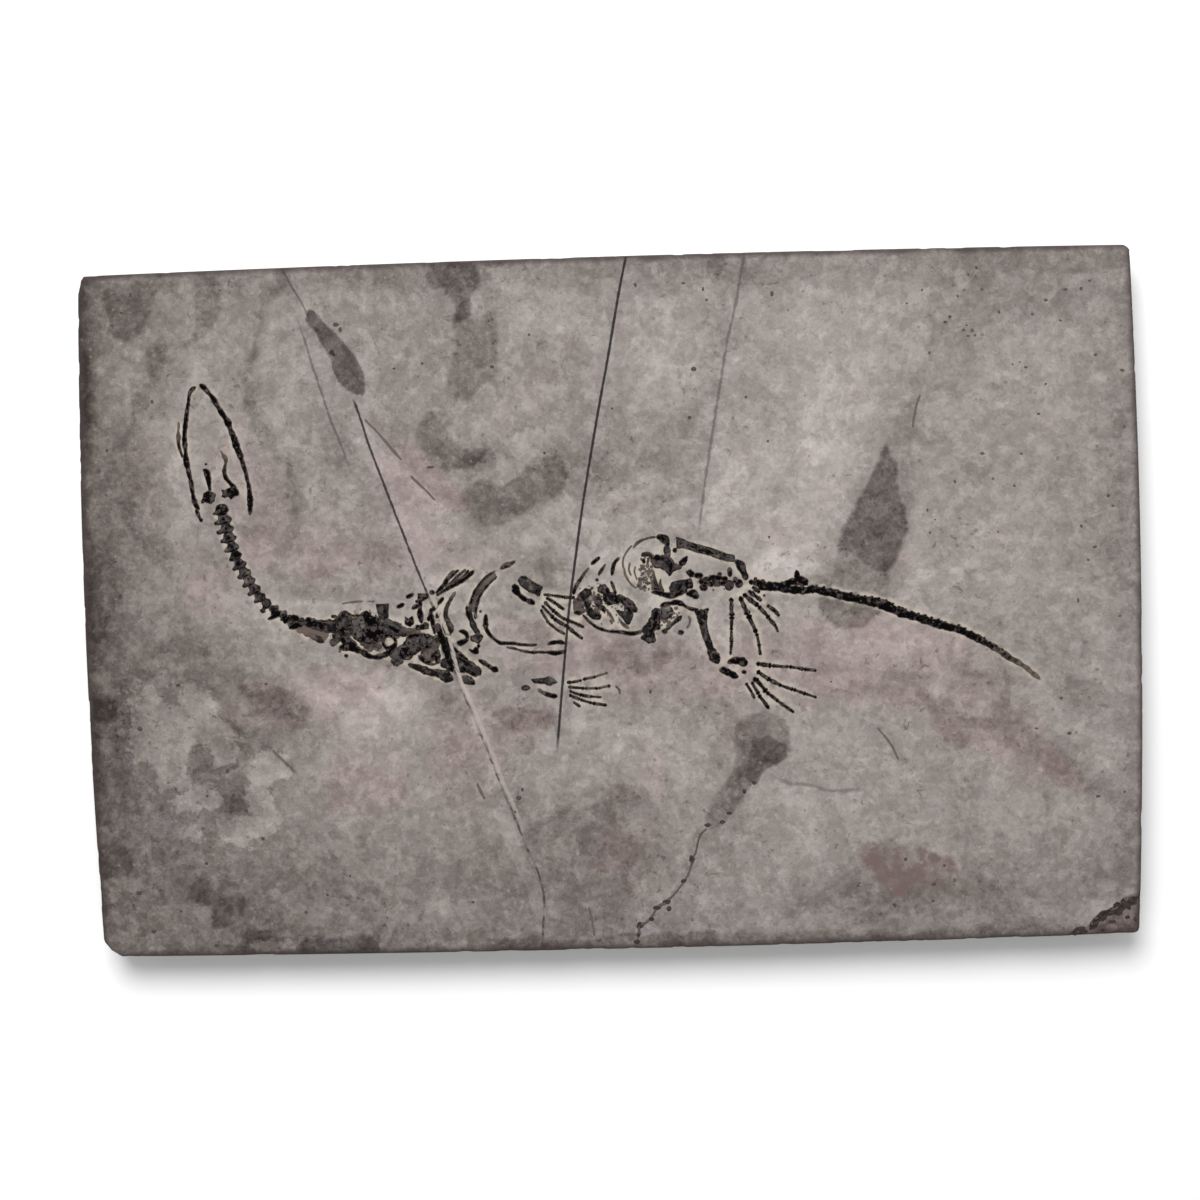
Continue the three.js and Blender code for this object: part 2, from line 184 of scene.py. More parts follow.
def smooth_line(stations, pitch=0.3, closed=False):
    """A curve through the stations, in equal steps. The speed at a station is the mean of the two
    neighbouring slopes, each weighted by the other stretch's length. Between stations a and b, a
    length h apart, with speeds u and v, the curve is
    a + t h u + t^2 (3(b - a) - h(2u + v)) + t^3 (h(u + v) - 2(b - a)) for t from 0 to 1."""
    p = np.asarray(stations, float)
    if closed:
        p = np.vstack([p[-1:], p, p[:2]])
    else:
        p = np.vstack([2 * p[0] - p[1], p, 2 * p[-1] - p[-2]])
    gap = np.maximum(lengths(np.diff(p[:, :2], axis=0)), 1e-9)[:, None]
    slope = np.diff(p, axis=0) / gap
    speed = (slope[:-1] * gap[1:] + slope[1:] * gap[:-1]) / (gap[:-1] + gap[1:])
    a, b, h = p[1:-2, None], p[2:-1, None], gap[1:-1, None]
    u, v = speed[:-1, None] * h, speed[1:, None] * h
    t = np.linspace(0.0, 1.0, STEPS_BETWEEN, endpoint=False)[None, :, None]
    bend = a + t * u + t**2 * (3 * (b - a) - 2 * u - v) + t**3 * (u + v - 2 * (b - a))
    return evenly(np.vstack([bend.reshape(-1, p.shape[1]), p[-2]]), pitch)


trial = smooth_line([(0, 0, 1), (4, 3, 2), (8, 0, 1)], 0.5)
print("a trial curve has", len(trial), "points; widest", round(trial[:, 2].max(), 2), "mm")

# %% Repeatable noise
LATTICE_SIDE = 256
LATTICE = np.random.default_rng(7).random((LATTICE_SIDE, LATTICE_SIDE))


def noise(x, y, size, draw=0):
    """Noise from -1 to 1: random heights on a lattice `size` mm apart, joined by 3t^2 - 2t^3 steps.
    Each `draw` looks at another part of the lattice."""
    u = np.asarray(x) / size + 37.1 * draw + 900.0
    v = np.asarray(y) / size + 11.7 * draw + 900.0
    i, j = np.floor(u).astype(int), np.floor(v).astype(int)
    fu, fv = u - i, v - j
    fu, fv = fu * fu * (3 - 2 * fu), fv * fv * (3 - 2 * fv)
    i0, j0 = i % LATTICE_SIDE, j % LATTICE_SIDE
    i1, j1 = (i + 1) % LATTICE_SIDE, (j + 1) % LATTICE_SIDE
    low = LATTICE[i0, j0] * (1 - fu) + LATTICE[i1, j0] * fu
    high = LATTICE[i0, j1] * (1 - fu) + LATTICE[i1, j1] * fu
    return 2 * (low * (1 - fv) + high * fv) - 1


def rough_noise(x, y, size, octaves=3, draw=0):
    """Noise with finer noise on it: each octave is half the size and half the height of the last."""
    layers = [noise(x, y, size / 2**k, draw + k) / 2**k for k in range(octaves)]
    return sum(layers) / (2 - 2.0 ** (1 - octaves))


def step(value, low, high):
    """0 below `low`, 1 above `high`, and a smooth 3t^2 - 2t^3 rise between them."""
    t = np.clip((value - low) / (high - low), 0.0, 1.0)
    return t * t * (3 - 2 * t)


print("noise at three places:", np.round(rough_noise(np.array([0.0, 5.0, 9.0]), 2.0, 4.0), 3))

# %% [markdown]
# ## Distances on the face
# A crack is a line, and a stain is a loop. The stone's colour near them depends on how far a point
# lies from that line, and on which side. The distance is signed, positive on the left of the line,
# because a signed number passes through zero just at the crack, so it stays sharp when Blender
# interpolates it between two vertices.

# %% Distance to a line or a loop
LINE_PITCH = 1.0
PAST_ENDS = 150


def distance_to(x, y, line):
    """Distance in mm from each point to the nearest stretch of the line, positive on the left of it."""
    a, along = line[:-1, :2], np.diff(line[:, :2], axis=0)
    px, py = x[:, None] - a[:, 0], y[:, None] - a[:, 1]
    t = np.clip((px * along[:, 0] + py * along[:, 1]) / (along**2).sum(axis=1), 0.0, 1.0)
    apart = np.hypot(px - t * along[:, 0], py - t * along[:, 1])
    nearest = apart.argmin(axis=1)
    every = np.arange(len(x))
    side = np.sign(along[nearest, 0] * py[every, nearest] - along[nearest, 1] * px[every, nearest])
    return side * apart[every, nearest]


def across_seam(x, y, stations, runs_along=1):
    """Signed distance to a line that crosses the slab and goes on straight past both of its ends. At
    the point's own y (or x), it is the gap to the line times the cosine of the line's slope there."""
    line = smooth_line(stations, LINE_PITCH)
    before, after = (line[0] - line[1]) * PAST_ENDS, (line[-1] - line[-2]) * PAST_ENDS
    line = np.vstack([line[0] + before, line, line[-1] + after])
    line = line[line[:, runs_along].argsort()]
    along, off = line[:, runs_along], line[:, 1 - runs_along]
    here, there = (x, y)[runs_along], (x, y)[1 - runs_along]
    slope = np.interp(here, along, np.gradient(off, along))
    return (there - np.interp(here, along, off)) / np.sqrt(1 + slope**2)


def along_seam(x, y, stations, fade):
    """1 beside the line and 0 past its ends, judged along the straight line from end to end."""
    ends = np.asarray(stations, float)[[0, -1], :2]
    chord = ends[1] - ends[0]
    length = np.hypot(*chord)
    here = ((x - ends[0, 0]) * chord[0] + (y - ends[0, 1]) * chord[1]) / length
    return step(here, -fade / 2, fade / 2) * (1 - step(here, length - fade / 2, length + fade / 2))


def inside_loop(x, y, stations):
    """Distance in mm to a closed outline, positive inside it. A point is inside when a ray from it
    towards +X crosses the outline an odd number of times."""
    loop = smooth_line(stations, LINE_PITCH, closed=True)
    ax, ay, bx, by = loop[:-1, 0], loop[:-1, 1], loop[1:, 0], loop[1:, 1]
    spans = (ay > y[:, None]) != (by > y[:, None])
    rise = np.where(by == ay, 1e-9, by - ay)
    crossing = ax + (y[:, None] - ay) * (bx - ax) / rise
    odd = (spans & (x[:, None] < crossing)).sum(axis=1) % 2
    return np.where(odd == 1, 1.0, -1.0) * np.abs(distance_to(x, y, loop))


square = [(-2, -2), (2, -2), (2, 2), (-2, 2)]
print("distance into a square:", np.round(inside_loop(np.array([0.0, 4.0]), np.zeros(2), square), 2))

# %% [markdown]
# ## Cracks and stains
# Two long cracks cut the skeleton. One slants from edge to edge, dark as far as the ribs and filled with
# pale calcite beyond them; the other is a straight dark hairline that ends past the ribs. Fainter ones
# run beside them. Three stains, shaped like a lens, a spear and a drop, lie under the cracks.

# %% Where the cracks and stains lie
SLANTING_CRACK = [
    (-64, 69.6), (-62.3, 66.2), (-60, 62.1), (-58.6, 59), (-54.6, 51), (-50.4, 42.9), (-49.3, 39.6),
    (-47.8, 34.4), (-45, 26.2), (-42.1, 18), (-37.5, 5.2), (-33.6, -5), (-31.2, -14.5), (-28.5, -21),
    (-25.5, -29), (-22.5, -37.5), (-21, -41), (-18.5, -48), (-16, -54), (-15, -60), (-15.3, -64),
    (-15.7, -69),
]
STRAIGHT_CRACK = [
    (5, 69.2), (3.8, 64), (1, 50), (-1.1, 40), (-3.1, 30), (-5, 20), (-6.65, 10), (-8, 1.5),
    (-9.4, -10), (-10.75, -22), (-11.4, -28),
]
FAINT_CRACK = [(28.4, 68), (26.8, 60), (24.8, 52), (23.3, 44), (21.8, 36), (20, 26), (18.3, 15)]
BRANCH_CRACK = [
    (-60.6, 57.5), (-59.5, 54), (-58.3, 49.3), (-57, 45.3), (-55.9, 41.5), (-54.8, 38), (-53.6, 35),
    (-51.9, 30),
]
SCRATCH = [(-69.3, -27.4), (-64.8, -32)]
THREAD_CRACK = [(32.3, -35.4), (35, -36.9), (39, -37.1), (43, -38.5), (49.7, -38.4)]

LENS_STAIN = [
    (-58.8, 61), (-56.5, 59.5), (-54.5, 57), (-51, 53), (-48.7, 49.5), (-48, 45.5), (-48.7, 43.2),
    (-50.2, 44), (-53.2, 46.5), (-54.8, 51), (-57.5, 56), (-59.2, 60),
]
SPEAR_STAIN = [
    (56, 31), (57.5, 28.5), (58, 24), (58.7, 20), (59.7, 17), (59.4, 12), (57.5, 8), (55, 5.2),
    (53, 6.2), (50.5, 8), (49, 9.8), (46.2, 9.6), (46.8, 13), (48.4, 16.5), (50, 19.5), (52, 22.5),
    (54.2, 27),
]
DROP_STAIN = [
    (24.5, -25), (27, -23), (31, -22.5), (34, -23.5), (35.7, -26.5), (35.5, -29.5), (33, -32.5),
    (30, -34.5), (28, -36.5), (26, -39), (25, -41.5), (22.5, -44), (18.5, -45.3), (18, -44), (19, -41),
    (21, -38), (23.5, -35), (24.5, -31), (24.3, -28),
]
DROP_CORE = [
    (28, -27.2), (29.4, -27.9), (31, -26.6), (32.4, -28), (34.8, -28.8), (34.6, -31), (32.4, -33.2),
    (30, -34.1), (28.6, -36.8), (27.4, -36.4), (27.2, -31), (27.9, -29),
]
crack_steps = np.diff(np.array(SLANTING_CRACK), axis=0)
print("length of the slanting crack, mm:", round(lengths(crack_steps).sum(), 1))

# %% [markdown]
# ## The plan of the skeleton
# Before any mesh is made, every bone is put on a plan. A long bone is a stroke, given by stations
# [x, y, width]. A flat or crushed bone is an outline. Small round bones are beads [x, y, half length,
# half width]. The stone needs this plan first, because it was scraped away around the bones, and the
# bones need the stone's height, because they rest on it.

# %% The plan and how it is filled
RIB, JAW, THICK, NECK, DIGIT, FILM = 0.35, 0.45, 0.46, 0.45, 0.28, 0.08
STROKE_PITCH = 0.26
FOOT_GROWTH, FOOT_SPREAD = 1.1, 0.32
OUTLINE_PITCH, FEWEST_PARTS = 0.24, 9
CHIP_CORNERS, CHIP_RAGGED, CHIP_CLEARANCE, CHIP_TRIES = 7, 0.05, 0.12, 5
BEAD_CORNERS, BEAD_RAGGED = 8, 0.07

plan = {}


def on_plan(piece, kind, line, high, grey, fade, ragged=0.0):
    """Files a shape under its piece; a piece's shapes become one mesh."""
    shape = dict(kind=kind, line=line, high=high, grey=grey, fade=fade, ragged=ragged)
    plan.setdefault(piece, []).append(shape)


def stroke(piece, stations, high=RIB, grey=0.0, fade=(0.0, 0.0), closed=False):
    """A long bone, or a ring if closed. Its foot is wider than its crest. `grey` above 0 lightens the
    crest and below 0 blackens it, and `fade` thins the bone to a brown film at each end."""
    line = smooth_line(stations, STROKE_PITCH, closed)
    line = np.column_stack([line[:, :2], FOOT_GROWTH * line[:, 2] + FOOT_SPREAD])
    on_plan(piece, "stroke", line, high, grey, fade)


def strokes(piece, *many, **finish):
    """Several strokes with the same finish."""
    for stations in many:
        stroke(piece, stations, **finish)


def outline(piece, points, high=THICK, grey=0.0, ragged=0.10, faded=0.0, curved=False):
    """A flat bone with broken, ragged edges, or curved ones. `faded` thins all of it to a brown film."""
    points = np.asarray(points, float)
    round_it = lengths(points - np.roll(points, 1, 0)).sum()
    pitch = min(OUTLINE_PITCH, round_it / FEWEST_PARTS)
    once_round = np.vstack([points, points[:1]])
    loop = smooth_line(points, pitch, closed=True) if curved else evenly(once_round, pitch)
    on_plan(piece, "outline", loop[:-1], high, grey, (faded, faded), ragged)


def angles(count):
    """That many equal steps once round."""
    return np.linspace(0, 2 * np.pi, count, endpoint=False)


def turned(x, y, u, v, turn):
    """The points (u, v) away from the place (x, y), turned about it by an angle in radians."""
    c, s = math.cos(turn), math.sin(turn)
    return np.stack([x + c * u - s * v, y + s * u + c * v], 1)


def chips(piece, loop, count, size=(.25, .85), high=THICK + .04, grey=.8, faded=0.0, draw=0):
    """Small broken bits of bone inside a loop, with places, sizes and greys by chance."""
    chance = np.random.default_rng(draw)
    spots = chance.uniform(np.min(loop, axis=0), np.max(loop, axis=0), (count * CHIP_TRIES, 2))
    spots = spots[inside_loop(spots[:, 0], spots[:, 1], loop) > CHIP_CLEARANCE][:count]
    turns = angles(CHIP_CORNERS)
    for x, y in spots:
        long, wide, turn = chance.uniform(*size) / 2, chance.uniform(.45, .9), chance.uniform(0, np.pi)
        far = 1 + chance.uniform(-.3, .3, len(turns))
        u, v = long * far * np.cos(turns), long * wide * far * np.sin(turns)
        lightened, thinned = grey * chance.uniform(), faded * chance.uniform(.5, 1)
        outline(piece, turned(x, y, u, v, turn), high, lightened, CHIP_RAGGED, thinned)


def beads(piece, *many, high=THICK, grey=0.0, turn=0.0):
    """Small bones, each an ellipse [x, y, half length, half width], turned by `turn` degrees."""
    turns = angles(BEAD_CORNERS)
    for x, y, rx, ry in many:
        points = turned(x, y, rx * np.cos(turns), ry * np.sin(turns), math.radians(turn))
        outline(piece, points, high, grey, BEAD_RAGGED, curved=True)


stroke("trial", [(0, 0, 1), (4, 3, 2)])
print("a trial stroke has", len(plan.pop("trial")[0]["line"]), "points along it")

# %% [markdown]
# ### Skull
# Only the two lower jaws and the two hinge bones are left of the skull, as a slim arrow head. Jaws are
# strokes: their width changes a little all along, which the stations carry.

# %% Skull on the plan
stroke("jaw_left", [
    (-82.0, 46.3, .31), (-82.7, 45.9, .56), (-83.3, 45, .51), (-83.6, 43.6, .51), (-84, 41.6, .46),
    (-84.4, 39.2, .56), (-84.7, 36.8, .51), (-84.75, 34.6, .61), (-84.6, 32.6, .56), (-84.5, 31, .81),
    (-84.15, 29.2, .56), (-83.75, 27.2, .51), (-83.55, 25.2, .51), (-83.25, 23.4, .56),
    (-82.9, 22.4, .66), (-82.2, 21.6, .46),
], JAW)
stroke("jaw_left", [(-83, 21.8, .5), (-82.6, 20.7, .5), (-82.2, 19.8, .5), (-81.8, 19.1, .7)], RIB)
stroke("jaw_splint", [
    (-85.75, 39.4, .2), (-85.95, 37.6, .25), (-85.95, 36.3, .45), (-85.95, 34.8, .35),
    (-85.6, 33.2, .35), (-85.1, 32.1, .3),
], DIGIT, fade=(1, 0.3))
stroke("jaw_right", [
    (-81.35, 46.75, .38), (-80.6, 46.2, .63), (-79.6, 45.1, .63), (-78.7, 43.9, .68),
    (-77.95, 42.5, .58), (-77.2, 41.2, .63), (-76.4, 39.9, .78), (-75.85, 38.9, .93),
    (-75.35, 37.4, .73), (-74.8, 35.9, .83), (-74.35, 34.4, 1.03), (-73.85, 32.8, .83),
    (-73.2, 30.9, .63), (-72.65, 28.8, .48), (-72.25, 26.8, .48), (-72, 24.8, .63), (-71.9, 22.8, .73),
    (-72.05, 21, .58), (-72.15, 20.2, .48),
], JAW)
stroke("quadrate_left", [
    (-81.3, 29.6, .4), (-80.7, 29.3, .85), (-80.35, 28.4, 1.05), (-80.15, 27.2, .8), (-80.05, 26.2, .3),
    (-80, 25.3, .5),
], JAW, -1)
outline("quadrate_left", [
    (-80.3, 25.3), (-79.6, 25), (-78.8, 24.45), (-79.2, 23.9), (-79.25, 23.2), (-79.9, 22.8),
    (-80.5, 22.95), (-81.1, 23.25), (-81.8, 22.85), (-81.5, 23.9), (-81.1, 24.9),
])
beads("quadrate_left", (-80.6, 30.7, .25, .2), high=DIGIT)
stroke("quadrate_right", [
    (-77.5, 33.4, .1), (-77.1, 32.5, .2), (-76.65, 31.8, .5), (-76.6, 31, .35), (-76.8, 30.2, .35),
    (-76.95, 29.4, .7), (-76.9, 28.6, .65), (-76.6, 27.8, .5), (-75.9, 26.9, .5), (-75.2, 26, .7),
    (-74.7, 25.2, .8), (-74.2, 24.4, .5),
], JAW, -.5, (.8, 0))
outline("quadrate_right", [
    (-77.7, 25.5), (-77, 25.2), (-76.2, 25.6), (-75.3, 25.8), (-74.7, 25.2), (-74.15, 24.4),
    (-75, 24.2), (-75.8, 23.5), (-76.3, 24.1), (-77, 23.9), (-77.7, 24.1), (-77.3, 24.8),
])
print("skull: the plan has", len(plan), "pieces")

# %% [markdown]
# ### Neck
# Sixteen vertebrae follow each other like beads, each with a short process out to either side. All
# have one outline, in the vertebra's own directions, and the frame says where each one sits.

# %% Neck on the plan
NECK_NAMES = sorted(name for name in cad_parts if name.startswith("neck_"))
VERTEBRA = np.array([
    (-1.02, 0), (-1, .5), (-.8, .78), (-.68, 1.2), (-.5, 1.68), (-.24, 1.74), (-.06, 1.2), (.2, .84),
    (.62, .76), (.96, .55), (1.02, 0), (.96, -.55), (.62, -.78), (.3, -.84), (.04, -1.0), (-.2, -1.22),
    (-.44, -1.18), (-.6, -.94), (-.8, -.78), (-1, -.52),
])
SPREAD_EACH = [1.15, 1.2, 1.15, 1.1, 1, .96, 1, 1.04, 1, .96, .9, .8, .75, .7, .66, .6]
UPPER_NECK = 10.0
RIDGE = ((-.7, 1), (0, .84), (.7, 1))

corners = [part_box(name) for name in NECK_NAMES]
middles = np.array([[(low[k] + high[k]) / 2 / MM for k in (0, 1)] for low, high in corners])
headings = unit(np.gradient(middles, axis=0))


def beside(place, heading, ahead, aside):
    """The point so far ahead of a place, along its heading, and so far to the left of that."""
    (x, y), (hx, hy) = place, heading
    return x + hx * ahead - hy * aside, y + hy * ahead + hx * aside


for name, place, heading, spread in zip(NECK_NAMES, middles, headings, SPREAD_EACH):
    grey, ridge, ridge_grey = (.35, .95, -.3) if place[1] > UPPER_NECK else (.45, .5, .25)
    back, out = -VERTEBRA[:, 0] * min(1, spread + .05), VERTEBRA[:, 1] * spread
    points = np.stack(beside(place, heading, back, -out), axis=1)
    points += 0.10 * np.stack([noise(*points.T, 0.9, draw) for draw in (3, 4)], 1)
    outline(name, points, NECK, grey, .12, .06)
    ridge_line = [(*beside(place, heading, at, 0), ridge * wide) for at, wide in RIDGE]
    stroke(name, ridge_line, NECK + 0.06, ridge_grey)
    joint = [(*beside(place, heading, .8, side), .3) for side in (-.7 * spread, 0, .7 * spread)]
    stroke(name, joint, NECK + 0.08, -.6)
strokes(
    "neck_01", [(-79, 21.2, .3), (-78, 21.9, .9), (-77, 21.8, .8), (-76.7, 21.2, .4)],
    [(-78.6, 20.5, .3), (-77.6, 20.7, 1), (-76.8, 20.4, .4)],
    high=NECK + .05, grey=-1,
)
stroke("neck_10", [(-70.8, 1, .3), (-70.2, .8, .5), (-69.6, .6, .3)], DIGIT, -1)
stroke("neck_11", [
    (-69.3, -.9, .2), (-68.5, -.65, .45), (-67.7, -.2, .55), (-66.9, .15, .75), (-66.2, .1, .4),
], NECK + .05, -1)
stroke("neck_12", [(-65.9, 0, .5), (-65.6, -.9, 1), (-65.8, -1.9, .7)], NECK + .05, -1)
stroke("neck_13", [(-64.9, -.6, .5), (-63.8, -.8, .9), (-62.8, -1.1, .7)], NECK + .05, -1)
stroke("neck_14", [(-65.1, -2.8, .4), (-64, -2.5, 1), (-63, -2.2, 1), (-62.4, -2.7, .5)], NECK + .05, -1)
print(len(NECK_NAMES), "vertebrae, from", np.round(middles[0], 1), "to", np.round(middles[-1], 1), "mm")

# %% [markdown]
# ### Shoulder
# The chest is the most crushed part: plates of the shoulder girdle lie over the backbone in a dark
# mass. A thin film of bone lies under the plates, so that no clean stone shows between them, and the
# grey plates, the black rims and the ribs across them are pieces of their own.

# %% Shoulder on the plan
beads("neck_base", (-60.6, -1.9, 1.3, .8), (-59, -2.5, 1, .8), (-61, -1.1, .5, .35), high=NECK)
outline("neck_base", [
    (-61.8, -1.4), (-60.6, -1), (-58.6, -1.6), (-56.2, -2), (-55, -3.6), (-56, -4.1), (-57.2, -4),
    (-58.6, -4.4), (-59.8, -4.1), (-60.8, -3.4), (-61.8, -2.6),
], FILM, .6, .25, .35)
outline("neck_base", [
    (-56.4, -4.2), (-55.2, -3.8), (-54.6, -5.2), (-55.3, -6), (-56.2, -6.7), (-56.7, -6), (-56.1, -5.2),
], FILM, .6, .2, .3)
stroke("neck_base", [
    (-62, -4.1, .3), (-60.8, -4.3, .6), (-59.8, -4.8, .9), (-58.8, -5.4, .9), (-58, -5.9, .7),
], RIB, .3, (.9, .1))
outline("shoulder_film", [
    (-50.6, -6.1), (-48.8, -6.5), (-47.2, -6.2), (-46.4, -7), (-47.2, -7.9), (-48.6, -7.8),
    (-49.8, -7.2),
], FILM, .6, .3, .5)
outline("neck_base", [
    (-65.2, -.6), (-63.6, -.6), (-61.8, -1.2), (-61.9, -2.6), (-63.4, -2.6), (-65, -2.2),
], FILM, .4, .25, .7)
outline("shoulder_film", [
    (-61, -2.2), (-58.6, -1.6), (-56, -1.5), (-54.6, -.2), (-53.4, .1), (-52.2, -.5), (-52, -2.5),
    (-52.4, -4.6), (-54, -5), (-55.4, -4.3), (-57.6, -3.9), (-59.6, -3.5),
], FILM, .2, .2)
outline("shoulder_film", [
    (-52.6, -.5), (-50.8, -.6), (-49.2, .1), (-48.2, -.8), (-46.4, -1.4), (-45.4, -3), (-46, -5),
    (-46.9, -6.3), (-48.6, -6.7), (-50.4, -6.3), (-51.8, -5.3), (-52.6, -4.6), (-52.8, -2.4),
], FILM, .2, .2)
outline("shoulder_film", [
    (-46.6, -1.5), (-44.8, -1.8), (-43, -2.4), (-41.8, -3.3), (-40.8, -4.6), (-41.6, -5.3), (-43.4, -5),
    (-45, -4.8), (-46.2, -4.6),
], FILM, .2, .2)
outline("shoulder_film", [
    (-54.8, -4.4), (-53, -4.6), (-52.4, -5.6), (-51.2, -6.8), (-51.8, -7.7), (-53.4, -7.8), (-55, -7.3),
    (-54.4, -6.2),
], FILM, .1, .2)
outline("shoulder_plate_1", [
    (-58.6, -2.2), (-57, -1.9), (-55.4, -2.1), (-55.1, -3.2), (-55.6, -3.9), (-57.2, -3.7),
    (-58.5, -3.2),
], RIB, .1, .15)
outline("shoulder_plate_2", [
    (-55.1, -.7), (-54.4, .2), (-53.2, .1), (-52.3, -.5), (-52.3, -2.4), (-52.6, -4.3), (-53.8, -4.7),
    (-55, -4.1), (-55.3, -2.4),
], THICK, .3, .15)
outline("shoulder_plate_3", [
    (-54.5, -5), (-53, -5), (-52.4, -6), (-51.2, -6.8), (-50, -7.8), (-50.6, -8.3), (-51.9, -7.8),
    (-53.2, -7.7), (-54.9, -7.4), (-54.2, -6.3),
], RIB, 0, .15)
outline("shoulder_plate_4", [
    (-52.2, -1), (-51, -.6), (-49.9, -.5), (-49.3, -1.6), (-49.4, -3.4), (-50, -5), (-51, -5.4),
    (-52.2, -4.4), (-52.4, -2.6),
], RIB, .95, .15)
outline("shoulder_plate_4", [
    (-49.9, -.5), (-49.2, .2), (-48.4, -.7), (-47, -1.2), (-46, -2.2), (-45.6, -3.8), (-46.2, -5.2),
    (-47.4, -6.2), (-49, -6.5), (-50.4, -6), (-50.4, -4.4), (-49.6, -2.4),
], THICK, 0, .15)
strokes(
    "shoulder_plate_4", [(-50, -4.8, .8), (-49, -4.5, 1.7), (-47.6, -4.2, 1.7), (-46.2, -3.6, 1)],
    [(-49.8, -.9, .7), (-48.6, -1.8, 1.4), (-47, -2.3, 1.4)], high=THICK + .06, grey=-.4,
)
stroke("shoulder_plate_2", [(-54.9, -3.6, .5), (-54, -3.4, 1), (-53, -3.2, .7)], THICK + .06, -.6)
stroke("shoulder_plate_5", [
    (-44.9, -2.8, .4), (-44.2, -3.4, .8), (-43.2, -3.9, .8), (-42.2, -4.4, .6),
], THICK + .06, -.6)
outline("shoulder_plate_5", [
    (-46.3, -1.6), (-45, -1.6), (-43.2, -2.3), (-42, -3.3), (-41.2, -4.6), (-42.8, -4.9), (-44.4, -4.5),
    (-45.8, -4.4), (-46.3, -3.2),
], THICK, .4, .15)
SHOULDER = [
    (-55.5, -.4), (-49, .2), (-44, -1.8), (-41.4, -4.2), (-44, -4.8), (-46.6, -6.2), (-50.6, -6.4),
    (-53, -5.2), (-55.6, -4),
]
chips("chest_chips", SHOULDER, 60, grey=.3, draw=1)
chips("chest_chips", [
    (-56, .2), (-49, .9), (-43, -1), (-40.6, -5), (-46, -6.8), (-51, -6.9), (-55.2, -8.2), (-56.6, -4),
], 40, (.2, .5), RIB, .4, draw=2)
beads("chest_chips", (-55.8, -.7, .6, .3), high=RIB)
outline("shoulder_block", [
    (-47.1, 1.4), (-44.7, 1.45), (-44.8, .2), (-45, -1.2), (-46, -1.6), (-46.6, -1.2), (-46.9, 0),
], THICK, .35)
strokes(
    "fine_rib_left", [(-54.2, 1.8, .05), (-51.6, 2.1, .1), (-49.8, 2.2, .05)],
    [(-49, 2.2, .05), (-47.4, 2.1, .1)], high=FILM, fade=(1, 1),
)
beads(
    "chest_crumbs", (-42.3, 1.1, .85, .36), (-40.3, 3.1, .85, .34), (-39.3, .8, .8, .36), high=RIB,
    turn=24,
)
beads("chest_crumbs", (-53.6, -8.7, .4, .32), (-39, 1.9, .3, .3), high=DIGIT)
outline("chest_crumbs", [
    (-41.4, -1.2), (-40.8, -1.7), (-39.9, -1), (-39.8, -2.6), (-40.5, -3.2), (-41.4, -2.7),
], RIB)
stroke("clavicle", [
    (-51.4, -7.3, .7), (-50.3, -8, .8), (-49.2, -8.8, .8), (-48, -9.1, .6), (-47, -9.1, .6),
    (-46, -8.8, .8), (-45, -8.3, 1), (-44.5, -7.6, .9),
], JAW)
stroke("clavicle_ring", [
    (-45.8, -5.1, .7), (-46.1, -6.2, .5), (-45.5, -7.3, .5), (-44.3, -7.4, .8), (-43.5, -6.4, .4),
    (-43.9, -5.2, .45), (-44.9, -4.8, .5),
], closed=True)
outline("coracoid", [
    (-44.7, -9.2), (-44.3, -8), (-43.4, -7.2), (-42.6, -8), (-42.1, -9.2), (-42.3, -10.3),
    (-43.4, -10.9), (-44.4, -10.3),
], FILM, .6, .3, .3)
outline("coracoid", [
    (-42.9, -7.5), (-41.8, -6.6), (-40.8, -5.2), (-39.5, -4.8), (-37.8, -4.6), (-36.3, -5),
    (-35.8, -5.9), (-36.4, -6.8), (-37.8, -7.2), (-39, -8.1), (-40.2, -9.3), (-41.6, -9.9),
    (-42.7, -9.6), (-43, -8.6),
], DIGIT, .7, .2)
strokes(
    "coracoid", [(-43, -8.9, .7), (-42.2, -8.6, 1.6), (-41.4, -8, 1.9), (-40.7, -7, 1.2)],
    [(-41.4, -6, .2), (-40.4, -5.2, .5), (-38.8, -4.9, .5), (-37.2, -4.9, .4)],
    [(-40, -8.9, .3), (-39, -7.9, .5), (-37.6, -7, .4)], high=RIB,
)
chips("coracoid", [
    (-42.6, -9), (-41, -6.2), (-38, -4.9), (-36.2, -5.6), (-38.6, -7.4), (-41, -9.4),
], 14, grey=.4, draw=3)
stroke("scapula", [
    (-38.4, -9.1, .3), (-37.8, -7.9, .2), (-36.4, -7.4, .2), (-35.2, -8.2, .4), (-34.9, -9.6, .3),
    (-35.5, -10.7, .2), (-36.9, -10.8, .3), (-38.1, -10.1, .4),
], DIGIT, .6, closed=True)
strokes(
    "scapula", [(-38, -7.7, .2), (-37.3, -7.3, .6), (-36.4, -7.1, .8), (-35.6, -7.3, .5)],
    [(-39, -9, .4), (-38.4, -9.6, .8), (-37.6, -10.2, .6), (-36.4, -10.5, .3)],
)
stroke("scapula", [(-35.6, -8, .6), (-35.2, -8.9, .8), (-35.2, -10, .8), (-35, -10.9, .4)])
stroke("scapula", [(-36.2, -8.6, .4), (-36, -9.2, .6), (-36.6, -9.6, .4)], DIGIT)
outline("scapula", [
    (-38, -8.6), (-37, -7.8), (-35.6, -8.2), (-35.4, -10), (-36.6, -10.4), (-37.8, -9.8),
], FILM, .7, .2, .5)
outline("scapula", [
    (-34.4, -10.2), (-33.4, -9.6), (-32.6, -10.4), (-32.2, -11.6), (-32.6, -12.4), (-33.6, -11.9),
    (-34.4, -11.2),
], RIB, .3, .14)
